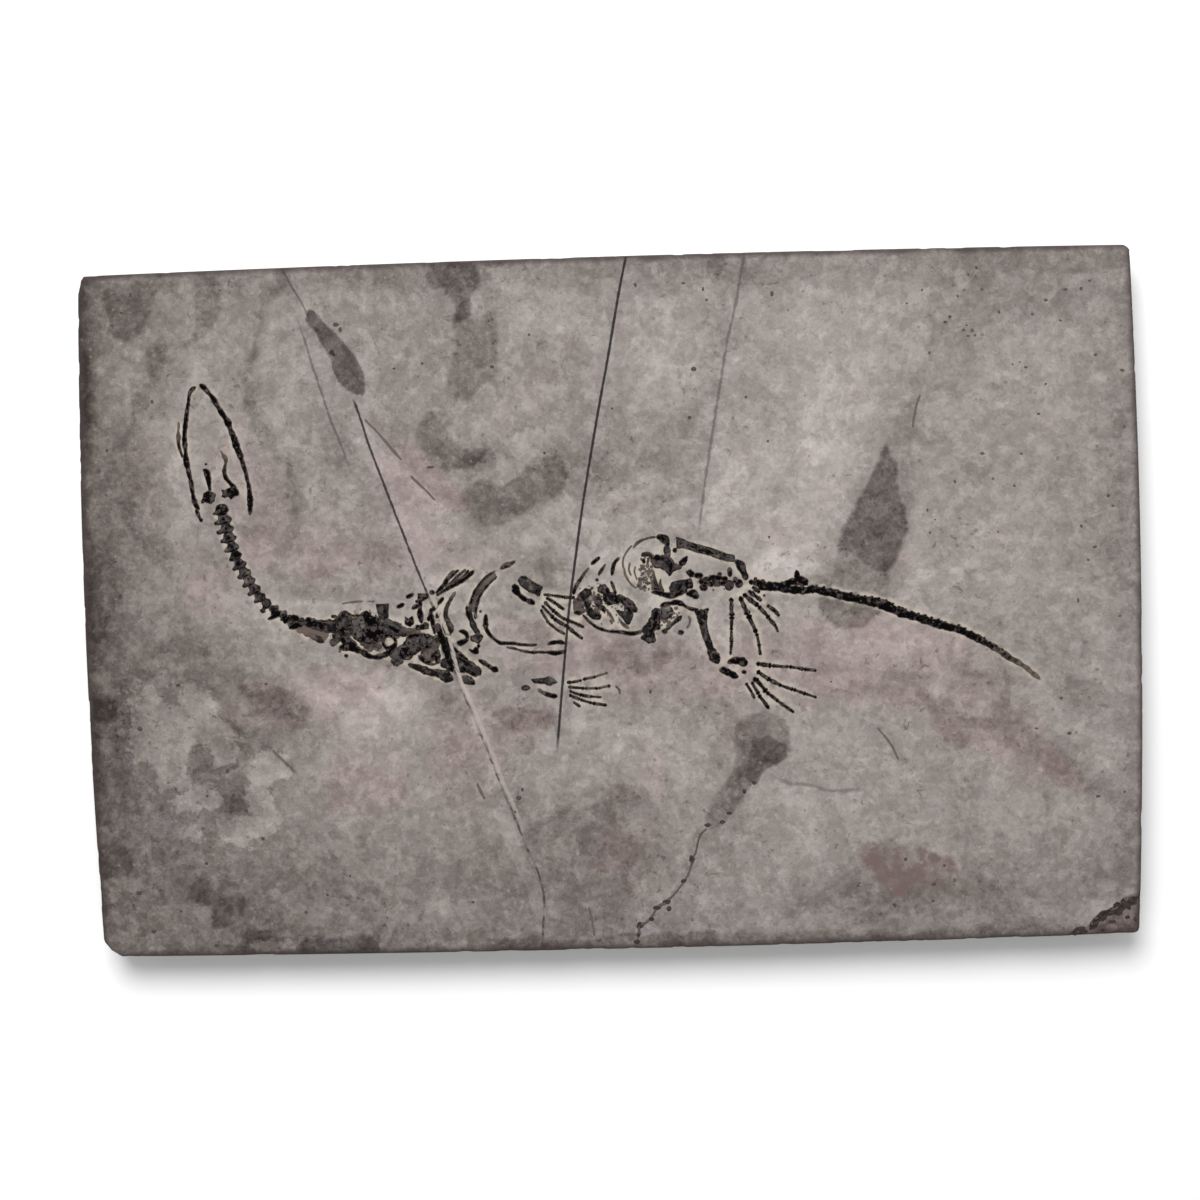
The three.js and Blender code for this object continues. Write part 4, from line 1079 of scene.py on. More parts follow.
stroke("fibula_lower", [
    (21.6, -13.7, .65), (22.3, -13.6, 1.05), (23.2, -14, 1), (24.2, -14.5, 1), (25, -14.9, 1.05),
    (25.5, -15, .55),
], JAW)
beads("fibula_lower", (26.6, -14.1, .5, .35), (28.7, -15.6, .4, .45), high=RIB)
print("hind limbs: the plan has", len(plan), "pieces")

# %% [markdown]
# ### Tail
# About forty small vertebrae run along the tail, each with a short spine that slants back. They are
# placed by arc length along one curve, and grow smaller and thinner until the last ones are a stain.

# %% Tail on the plan
TAIL_LINE = [
    (28.5, 4), (30.2, 3.6), (31.3, 3), (33, 3), (34.6, 2.8), (36, 2.3), (38, 2.2), (39.5, 2),
    (41.2, 2.2), (42.8, 1.7), (44.5, 1.4), (46, .9), (47.5, .5), (49, .2), (50.5, -.2), (52, -.5),
    (54, -1), (55.8, -1.7), (57.5, -2.6), (59, -3.2), (60.5, -3.7), (62, -4.2), (63.5, -4.7),
    (65.2, -5.3), (67, -5.9), (69, -6.4), (70.5, -7), (72.3, -7.9), (74, -8.8), (75.5, -9.7),
    (77, -10.6), (78.5, -11.6), (80, -12.7), (81.5, -13.6), (83, -14.6), (84.5, -15.9), (85.5, -16.7),
]
TAIL_WIDTH = ([28, 35, 45, 55, 65, 75, 80, 86], [1.75, 1.65, 1.45, 1.85, 1.55, 1.2, .95, .7])
TAIL_FADE = ([28, 76, 81, 86], [0, 0, .6, 1])
TAIL_PITCH = 1.42
TAIL_PARTS = ((28, 44, "tail_root"), (44, 66, "tail_middle"), (66, 90, "tail_end"))
BLACK_FROM, SPINES_TO = 56, 78

tail = smooth_line(TAIL_LINE, TAIL_PITCH)
tail_headings = unit(np.gradient(tail, axis=0))
tail_chance = np.random.default_rng(11).normal(0, 1, (len(tail), 3))
for place, heading, chance in zip(tail, tail_headings, tail_chance):
    along = place[0]
    part = next(name for low, high, name in TAIL_PARTS if low <= along < high)
    wide = np.interp(along, *TAIL_WIDTH) * (1 + .08 * chance[0])
    dim = float(np.interp(along, *TAIL_FADE))
    widths = ((-.4, .6), (0, .62 + .05 * chance[1]), (.4, .6))
    body = [(*beside(place, heading, TAIL_PITCH * at, 0), wide * share) for at, share in widths]
    stroke(part, body, RIB + .05, -.4 if along > BLACK_FROM else 0, (dim, dim))
    if along < SPINES_TO:
        foot, tip = (np.array(beside(place, heading, *at)) for at in ((.35, wide * .3), (1, wide * .62)))
        stroke(part, [(*foot, .35), (*(foot + tip) / 2, .3), (*tip, .22)], DIGIT, 0, (dim, dim))
for low, high, part in TAIL_PARTS:
    body = tail[(tail[:, 0] >= low - TAIL_PITCH) & (tail[:, 0] < high + TAIL_PITCH)]
    dim = [float(np.interp(x, *TAIL_FADE)) for x in body[[0, -1], 0]]
    stroke(part, np.column_stack([body, .78 * np.interp(body[:, 0], *TAIL_WIDTH)]), RIB, 0, dim)
outline("tail_spines", [
    (34.9, 3.6), (36.2, 4.4), (37.4, 4.4), (38.6, 4.9), (39.9, 4), (39.8, 3.1), (37.5, 3.3), (36, 3.3),
], RIB)
stroke("tail_spines", [(37.5, 4.2, .9), (37.7, 5.2, .7), (37.6, 6.2, .3)])
shapes_so_far = sum(map(len, plan.values()))
print(len(tail), "tail vertebrae; the plan has", len(plan), "pieces and", shapes_so_far, "shapes")

# %% [markdown]
# ### Mineral crust
# Black-brown specks of manganese and iron dot the stone. A thread of them runs from the tip of the drop
# stain to the edge, and they line the broken corner. They are films, a few hundredths of a
# millimetre high, drawn like the bones so that they stay crisp.

# %% Crust on the plan
CRUST = 0.05
SPECK_CORNERS, SPECK_RAGGED = 9, 0.06


def crust_specks(piece, *many, grey=0.0):
    """Ragged specks [x, y, width across, width down]; `grey` makes them fainter."""
    u, v = np.cos(angles(SPECK_CORNERS)), np.sin(angles(SPECK_CORNERS))
    for x, y, across, down in many:
        size = .88 + .35 * noise(x + 3 * u, y + 3 * v, 1.7, 6)
        loop = np.stack([x + across / 2 * size * u, y + down / 2 * size * v], 1)
        outline(piece, loop, CRUST, grey * (.7 + .3 * float(noise(x, y, 2, 8))), SPECK_RAGGED)


crust_specks(
    "crust_left", (-96, -22.5, .9, 1.1), (-75, -39.7, .8, .6), (-88, -13.8, .9, .6),
    (-97.5, -56, 1.3, .9), (-98.7, -58.5, .7, .8), (-93, -55.5, .7, .6), (-94.7, -64, .9, .8),
    (-82, -67.2, .9, .6), (-81.5, -61.5, .7, .6), (-63.5, -60.8, .6, .6), (-59, -57.3, .6, .5),
    (-54.3, -53.5, .6, .5), (-71.8, -45.5, .6, .8), (-83.5, -50.3, .6, .6), (-82.8, -36.5, .6, .6),
    (-102, -18, .9, 1.2), (-101, -20.5, .8, .9), (-101, -22.5, .7, .9), (-97, 64, 1.2, .4),
    (-96.5, 61.5, 1, .4), (-94.5, 65, .5, .9), (-98.5, 59, .9, .5), (-91, 43.5, .8, .8),
    (-99, 4.5, .8, 1.2), (-103.5, 8, .8, 2), (-78.5, -31.5, .8, 1.2), (-77.5, -36.5, .7, .9),
    (-70, -14, .6, .6), (-104, -48, .7, 1.6), (-89, -60, .6, .5),
    (-100.5, 34, .5, .6), grey=.6,
)
crust_specks(
    "crust_middle", (-22.3, 48.5, .7, .6), (-22.7, 57.7, .5, .5),
    (-22, 53.2, .5, .5), (-36.3, 49.6, .5, .5), (-42, 48.7, .5, .4), (-14.7, 54.7, .5, .5),
    (-12.3, 31, .6, .5), (-20.3, -41.3, .6, .5), (-19.5, -38.5, 1.2, 1), (-18.8, -36.8, .5, .9),
    (-29.5, -59.5, .6, .6), (-31.5, 65.2, .9, .7), (18, 46.9, 1.1, .8), (16.4, 64, .8, .4),
    (20.3, 62.7, .4, .9), (21, 60.6, .5, .5), (34, 61.4, .8, 1.2), (6.8, 64, .7, .9),
    (16.9, 37.2, .8, .7), (28.3, 41, .5, .6), (1.5, 39.5, .6, .5), (-25, 66.8, .8, .5),
    (32.4, 32.1, .5, .5), (32.3, 12.9, .5, .7), (44, -16.5, .5, .4), (7.6, -17.6, .5, .9),
    (48.5, -58, .5, .4), (55.6, -62, .6, .5),
    (48.8, -57.5, .5, .4), grey=.7,
)
crust_specks(
    "crust_right", (74.7, 65.3, .7, .7), (74.5, 63.6, .5, .6), (73, 64, .5, .5), (70.9, 59.8, .7, .6),
    (72.2, 61, .6, .4), (75.7, 61, .6, .5), (69.2, 55.8, .7, .8), (68.3, 54.8, .8, .5),
    (71.9, 53.1, .8, .6), (73.6, 52.9, .6, .7), (72.8, 51.9, .7, .5), (72.6, 54, .6, .4),
    (74.1, 52, .5, .5), (65, 48.8, .6, .5), (63.8, 61.2, .4, .5), (85.6, 55.8, .6, .5),
    (79, 56.5, .6, .8), (84.1, 45.3, .7, .6), (81.5, 46, .4, .5), (83, 46.4, .5, .4),
    (97, 62.1, .6, .5), (92.2, 60.5, .9, .5), (95.3, 60.6, .5, .7), (88.3, 58.5, .8, .4),
    (91.1, 54.4, .6, .5), (97.9, 47.4, .6, .5), (103.2, 44.2, .9, .6), (103.4, 33, .6, .9),
    (86.5, 36, .8, .5), (82.9, 28.2, .6, .5), (75.2, 28.4, .8, .5), (88, 41.9, .6, .4),
    (69.6, 23, .5, .6), (77.2, 23.4, .5, .5), (81.4, 21.8, .5, .6), (100, 19.4, .6, .8),
    (100.9, 17.3, .6, .5), (64, 17.4, .4, .8), (65.5, 15.5, .5, .4), (64.4, 12.9, .5, .7),
    (78, 12.7, .5, .5), (94.6, 13.4, .4, .6), (97.2, 9.2, .8, .5), (95.8, 6.6, .5, .5),
    (60.7, 58.7, .5, .4), (93.7, -1.5, .4, 1), (102, -4.8, .9, .4), (90, -21, .6, .6),
    (91.5, -28.1, .9, .6), (85, -27, .8, .4), (102.4, -40.2, .6, .5), (97, -41, .8, .5),
    (58.2, -52.8, .6, .7), (63.8, -58, 1, .8), (66, -54.3, .6, .5), (63.5, -61.5, .7, .5),
    (68, -57.3, .8, 1.2),
    (55.8, -62.2, .7, .8), grey=1,
)
strokes(
    "crust_vein", [(18.3, -45.6, .1), (17, -46.8, .12), (16.4, -48.6, .08), (16, -50.2, .1),
    (15.2, -52, .14), (14.5, -54.4, .1), (13.3, -56.4, .14),
     (12.2, -57.9, .1), (10.8, -59.4, .14), (9.6, -60.5, .3), (8, -61.4, .25), (6.8, -63, .1),
     (5.6, -64.4, .3), (4.2, -65.2, .4), (4, -67, .1),
     (3.6, -68.4, .1)], high=CRUST, grey=.7,
)
crust_specks(
    "crust_vein", (15.2, -51.8, 1.2, 1.4), (13.4, -56.2, 1.2, .9), (9.9, -60.3, 1.6, .9),
    (7.8, -61.5, 1.4, .8), (10.3, -61.8, .8, 1), (6.6, -63.8, 1, .8),
    (4.2, -65.1, 1.4, 1.3), (3.9, -67, .8, .9), (3.6, -68.4, 1.3, .9), grey=.1,
)
strokes(
    "crust_lines", [(-48.2, 38.8, .1), (-45, 35.2, .12), (-42.6, 32.2, .3), (-41, 30.4, .05)],
    [(-39.4, 27.2, .15), (-37, 24.8, .2), (-34.6, 22.2, .05)],
    [(-27.9, -35.2, .15), (-27.2, -37, .2), (-26.5, -38.6, .1)],
    [(53, -26, .05), (55.4, -29, .12), (57.2, -32.6, .05)],
    [(-6, -61, .1), (-5.4, -64, .15), (-5, -67, .1)],
    [(61.4, 34, .05), (62, 37.5, .15), (63, 40.5, .05)], high=CRUST, grey=1.0,
)
crust_specks(
    "crust_lines", (-58.3, 60.4, 1.5, 1), (-53.4, 57.8, 1.2, .7), (-52.5, 56.8, .6, 1),
    (-35.3, 28.8, 1.6, .5), grey=.7,
)
crust_specks(
    "crust_vein", (18.5, -45, 1.5, .9), (22.9, -42.6, 1.2, .7), (28, -36.6, 1, .8), (26, -38.3, .8, 1),
    (21.4, -44.4, 1.4, .7), grey=.2,
)
outline("crust_corner", [
    (91.4, -68.9), (91.8, -68), (93, -67.5), (94.2, -67.6), (94.4, -68.4), (93.4, -68.9),
], CRUST, ragged=.2)
outline("crust_corner", [
    (95, -68), (95.2, -66.6), (96.6, -65.4), (97.2, -64.6), (98.8, -64.1), (99.9, -63.4),
    (100.3, -62.6), (101.2, -62.8), (101.7, -61.7), (102.4, -62.6), (103.1, -62), (103.6, -61.6),
    (104.6, -61.7), (104.4, -62.9), (103.5, -63.3), (103.2, -64.3), (102.2, -63.9), (101.6, -64.8),
    (100.4, -65.2), (99.4, -64.8), (98.3, -65.4), (97.9, -66.4), (96.9, -66.6), (96.4, -67.8),
], CRUST, ragged=.22)
crust_specks("crust_middle", (-57.2, 56.9, .7, .7), (-54.4, 52.4, .9, 1.1), (-54, 51.8, .6, .5))
crust_specks(
    "crust_corner", (99.6, -66.6, 1.6, .8), (102.6, -65.8, 1.1, .9), (97.6, -68.3, 1.2, .5),
    (104.2, -66.3, .7, 1.2),
)
print("crust:", sum(len(shapes) for piece, shapes in plan.items() if piece.startswith("crust")), "films")

# %% [markdown]
# ### Which bone of the frame each piece stands for
# The frame has a plain solid for every bone or group of bones. A detailed piece takes the place of the
# solid that its name begins with. The solids that stand for pieces with other names are listed here.

# %% Pieces and their solids
STANDS_FOR = {
    "slab": ("crust",), "jaw_left": ("jaw_splint",), "humerus_upper": ("humerus_end", "small_rib"),
    "shoulder_mass": ("neck_base", "shoulder_film", "shoulder_plate", "chest_chips"),
    "shoulder_block": ("fine_rib", "chest_crumbs"), "rib_04": ("rib_splinters",), "rib_05": ("rib_hooks",),
    "hand_upper": ("finger_upper",), "hand_lower": ("finger_lower",), "trunk_mass": ("trunk",),
    "foot_upper": ("toe_upper",), "foot_lower": ("toe_lower",), "pelvis_plate": ("pelvis_ring",),
    "pelvis_cup": ("pelvis_column", "pelvis_socket"), "pelvis_keel": ("keel",),
}


def solid_of(piece):
    """The frame's node that a piece stands for."""
    listed = [solid for solid, starts in STANDS_FOR.items() if piece.startswith(starts)]
    alike = [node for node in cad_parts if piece.startswith(node)]
    return listed[0] if listed else max(alike, key=len)


uncovered = set(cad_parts) - {"slab"} - {solid_of(piece) for piece in plan}
print("bones of the frame with no piece yet:", sorted(uncovered))

# %% [markdown]
# ## A map of how much bone lies where
# The preparer scraped the stone down around the bones, and left it paler there. To know where "around
# the bones" is, the plan's bones are counted into small square cells, and the counts are blurred. A
# blur is a product of two spectra, so the Fourier transform does it in one line.

# %% Bone map
CELL = 0.5
ACROSS_STROKE = (-.3, 0, .3)
INTO_OUTLINE = (.2, .45, .7, .9)
BOX_TO_AREA = 5
CLOSE_BLUR, AROUND_BLUR = 0.9, 3.2
MAP_HALF_LONG, MAP_HALF_WIDE = 110, 74
MAP_X = np.arange(-MAP_HALF_LONG, MAP_HALF_LONG + CELL, CELL)
MAP_Y = np.arange(-MAP_HALF_WIDE, MAP_HALF_WIDE + CELL, CELL)


def bone_samples():
    """Points all over the bones, each with the area of bone it stands for, in square mm."""
    rows = []
    bones = [shape for piece, shapes in plan.items() if not piece.startswith("crust") for shape in shapes]
    for shape in bones:
        line = shape["line"]
        if shape["kind"] == "stroke":
            side = unit(np.gradient(line[:, :2], axis=0))[:, ::-1] * (-1, 1)
            area = STROKE_PITCH * line[:, 2] / len(ACROSS_STROKE)
            for share in ACROSS_STROKE:
                rows.append(np.column_stack([line[:, :2] + side * (line[:, 2:3] * share), area]))
        else:
            middle = line.mean(axis=0)
            size = np.prod(np.abs(line - middle).mean(axis=0)) * BOX_TO_AREA
            for share in INTO_OUTLINE:
                area = np.full(len(line), size * share / sum(INTO_OUTLINE) / len(line))
                rows.append(np.column_stack([middle + (line - middle) * share, area]))
    return np.vstack(rows)


def blurred(cells, width):
    """The map times a bell curve: the product of their Fourier transforms, turned back."""
    fx = np.fft.fftfreq(cells.shape[0], CELL)[:, None]
    fy = np.fft.fftfreq(cells.shape[1], CELL)[None, :]
    bell = np.exp(-2 * (np.pi * width) ** 2 * (fx**2 + fy**2))
    return np.fft.ifft2(np.fft.fft2(cells) * bell).real


def look_up(field, x, y):
    """The field's value between the four nearest cells, each weighted by how close it is."""
    u = np.clip((x - MAP_X[0]) / CELL - .5, 0, field.shape[0] - 1.001)
    v = np.clip((y - MAP_Y[0]) / CELL - .5, 0, field.shape[1] - 1.001)
    i, j = u.astype(int), v.astype(int)
    fu, fv = u - i, v - j
    i1, j1 = np.minimum(i + 1, field.shape[0] - 1), np.minimum(j + 1, field.shape[1] - 1)
    low = field[i, j] * (1 - fu) + field[i1, j] * fu
    high = field[i, j1] * (1 - fu) + field[i1, j1] * fu
    return low * (1 - fv) + high * fv


samples = bone_samples()
covered = np.histogram2d(samples[:, 0], samples[:, 1], bins=(MAP_X, MAP_Y), weights=samples[:, 2])[0]
covered = np.clip(covered / CELL**2, 0, 1)
BONE_CLOSE, BONE_AROUND = blurred(covered, CLOSE_BLUR), blurred(covered, AROUND_BLUR)
print("bone covers about", round(covered.sum() * CELL**2), "square mm of the face")

# %% [markdown]
# ## Flakes and the broken corner
# On the left a few skins of paler stone are still on, a twentieth of a millimetre thick, with crisp
# torn edges. One corner has lost a splinter. Both are loops, and both change the height of the stone
# as well as its colour.

# %% Where flakes and the broken corner lie
FLAKES = [
    [(-97.5, -14.5), (-93, -14), (-90.5, -17), (-88.5, -18.5), (-87.5, -15), (-85.5, -13.5),
    (-84.5, -15), (-81, -15.5),
     (-80.5, -19), (-79.5, -21), (-77, -22), (-76.5, -28), (-78, -29.5), (-80.5, -31.5), (-81.5, -28),
     (-82.5, -26), (-84, -25.5), (-85, -27), (-86.5, -30), (-86, -35), (-89, -35), (-92.5, -34.5),
     (-93, -31), (-95, -29.5), (-98, -27),
     (-98.5, -21)],
    [(-86, -35.5), (-81, -35), (-80.3, -37), (-81, -39.5), (-83, -39.8), (-86, -39), (-89.5, -41),
    (-90.3, -38.5), (-88, -36)],
    [(-71, -27.6), (-68.8, -27.4), (-66.6, -30), (-65.8, -33.2), (-67.5, -34), (-69.8, -34.6),
    (-69.2, -38), (-68.2, -41),
     (-68.8, -44), (-71.5, -44.5), (-73.5, -42), (-74.6, -36.5), (-74.3, -31.5), (-73, -29)],
    [(-80, -41), (-76, -41.5), (-73, -43), (-73.5, -46.5), (-77, -47), (-80.5, -45)],
    [(-87, -43), (-84.8, -43.4), (-84.6, -45.6), (-86.8, -46)],
    [(-74.5, -67), (-70, -66.8), (-66, -67.3), (-66.2, -68.6), (-74, -68.7)],
]
PALE_BAND = [
    (-24.6, -40.5), (-23.8, -44), (-21.2, -51), (-18.5, -57.5), (-17, -62), (-15, -64), (-14.9, -60),
    (-16, -56), (-18.4, -51), (-20.2, -46), (-22.2, -40.5),
]
WEDGE = [
    (-48.6, 39.4), (-46.5, 37.2), (-43.5, 33.8), (-39.2, 28.6), (-35.2, 23.4), (-32, 20), (-28.6, 16.6),
    (-33, 12.5), (-37, 8.5), (-38.6, 8.5), (-42, 18), (-45, 26.2), (-47.6, 34.4),
]
RED_PATCH = [
    (56, -50), (62, -50), (65, -52.5), (68, -54), (68.5, -57), (64, -58.8), (60, -59.8), (55, -60),
    (52.5, -57.5), (49.5, -53), (50, -50.6),
]
BROKEN_CORNER = [
    (90.6, -69.5), (91.6, -67.8), (94, -67.3), (95.4, -66), (97, -64.6), (99.4, -63.8), (101, -62.4),
    (102.6, -61.4), (107, -61.2), (107, -71), (98, -71.5),
]
FLAKE_THICKNESS = 0.06
SPLINTER_DEPTH = 0.75


def inside_any(x, y, loops, reach=4.0):
    """Distance into the nearest of the loops, and minus `reach` for points further away than that."""
    found = np.full(len(x), -reach)
    for stations in loops:
        low, high = np.min(stations, axis=0) - reach, np.max(stations, axis=0) + reach
        near = (x > low[0]) & (x < high[0]) & (y > low[1]) & (y < high[1])
        if near.any():
            found[near] = np.maximum(found[near], inside_loop(x[near], y[near], stations))
    return found


trial = inside_any(np.array([-90.0]), np.array([-25.0]), FLAKES)
print(len(FLAKES), "flakes; a point in the first is", np.round(trial, 1), "mm inside")

# %% [markdown]
# ## Height of the stone
# One function gives the height of the stone's face at any place: gentle waves from splitting along the
# bed, thin flakes lifted off, the scraped ground around the bones, and a groove along each crack. The
# slab's mesh uses it, and so does every bone, so bones sit on the stone wherever they are.

# %% Height of the stone
SEAMS = {
    "slanting": (SLANTING_CRACK, None), "straight": (STRAIGHT_CRACK, 5.0), "faint": (FAINT_CRACK, 12.0),
    "branch": (BRANCH_CRACK, 8.0), "scratch": (SCRATCH, 2.0), "thread": (THREAD_CRACK, 5.0),
}
GROOVES = {"slanting": 0.10, "straight": 0.16, "branch": 0.05, "scratch": 0.08}
GROOVE_WIDTH = 0.24
SCRAPED_DOWN = 0.30
WAVE_HEIGHT, RIPPLE_HEIGHT, STEP_HEIGHT = 0.07, 0.018, 0.05
WHOLE_BEYOND = 45


def seams_at(x, y):
    """For every seam its signed distance and its presence from 0 to 1, at these places."""
    found = {}
    for name, (stations, fade) in SEAMS.items():
        presence = np.ones_like(x) if fade is None else along_seam(x, y, stations, fade)
        if name in ("straight", "faint"):
            presence = np.where(y > WHOLE_BEYOND, 1.0, presence)
        found[name] = (across_seam(x, y, stations, 0 if name == "thread" else 1), presence)
    return found


def stone_height(x, y, seams=None):
    """Height in mm: the face, less waves, lifted flakes, the scraped ground and the splinter's bed, and
    a bell-shaped groove depth * exp(-(distance / width)^2) along each crack."""
    seams = seams_at(x, y) if seams is None else seams
    waves = WAVE_HEIGHT * (1 + rough_noise(x, y, 30, 3, 5))
    waves = waves + RIPPLE_HEIGHT * (1 + rough_noise(x, y, 2.4, 2, 9))
    flakes = STEP_HEIGHT * step(rough_noise(x, y, 13, 4, 20), .06, .14)
    scraped = SCRAPED_DOWN * step(look_up(BONE_AROUND, x, y), .015, .16)
    in_flake = inside_any(x, y, FLAKES) + .5 * rough_noise(x, y, 1.6, 3, 12)
    skins = FLAKE_THICKNESS * (1 - step(in_flake, -.2, .2))
    torn = step(inside_any(x, y, [BROKEN_CORNER]) + .9 * rough_noise(x, y, 1.8, 3, 14), 0, .7)
    bed = SPLINTER_DEPTH * torn * (.6 + .25 * rough_noise(x, y, 2.2, 3, 17))
    height = FACE - waves - flakes - scraped - np.maximum(skins, bed)
    for name, depth in GROOVES.items():
        distance, presence = seams[name]
        height = height - depth * presence * np.exp(-((distance / GROOVE_WIDTH) ** 2))
    return height


trial = stone_height(np.array([-95.0, -60.0, 0.0]), np.array([60.0, 0.0, 0.0]))
print("stone height at a clean place and twice in the scraped ground, mm:", np.round(trial, 2))
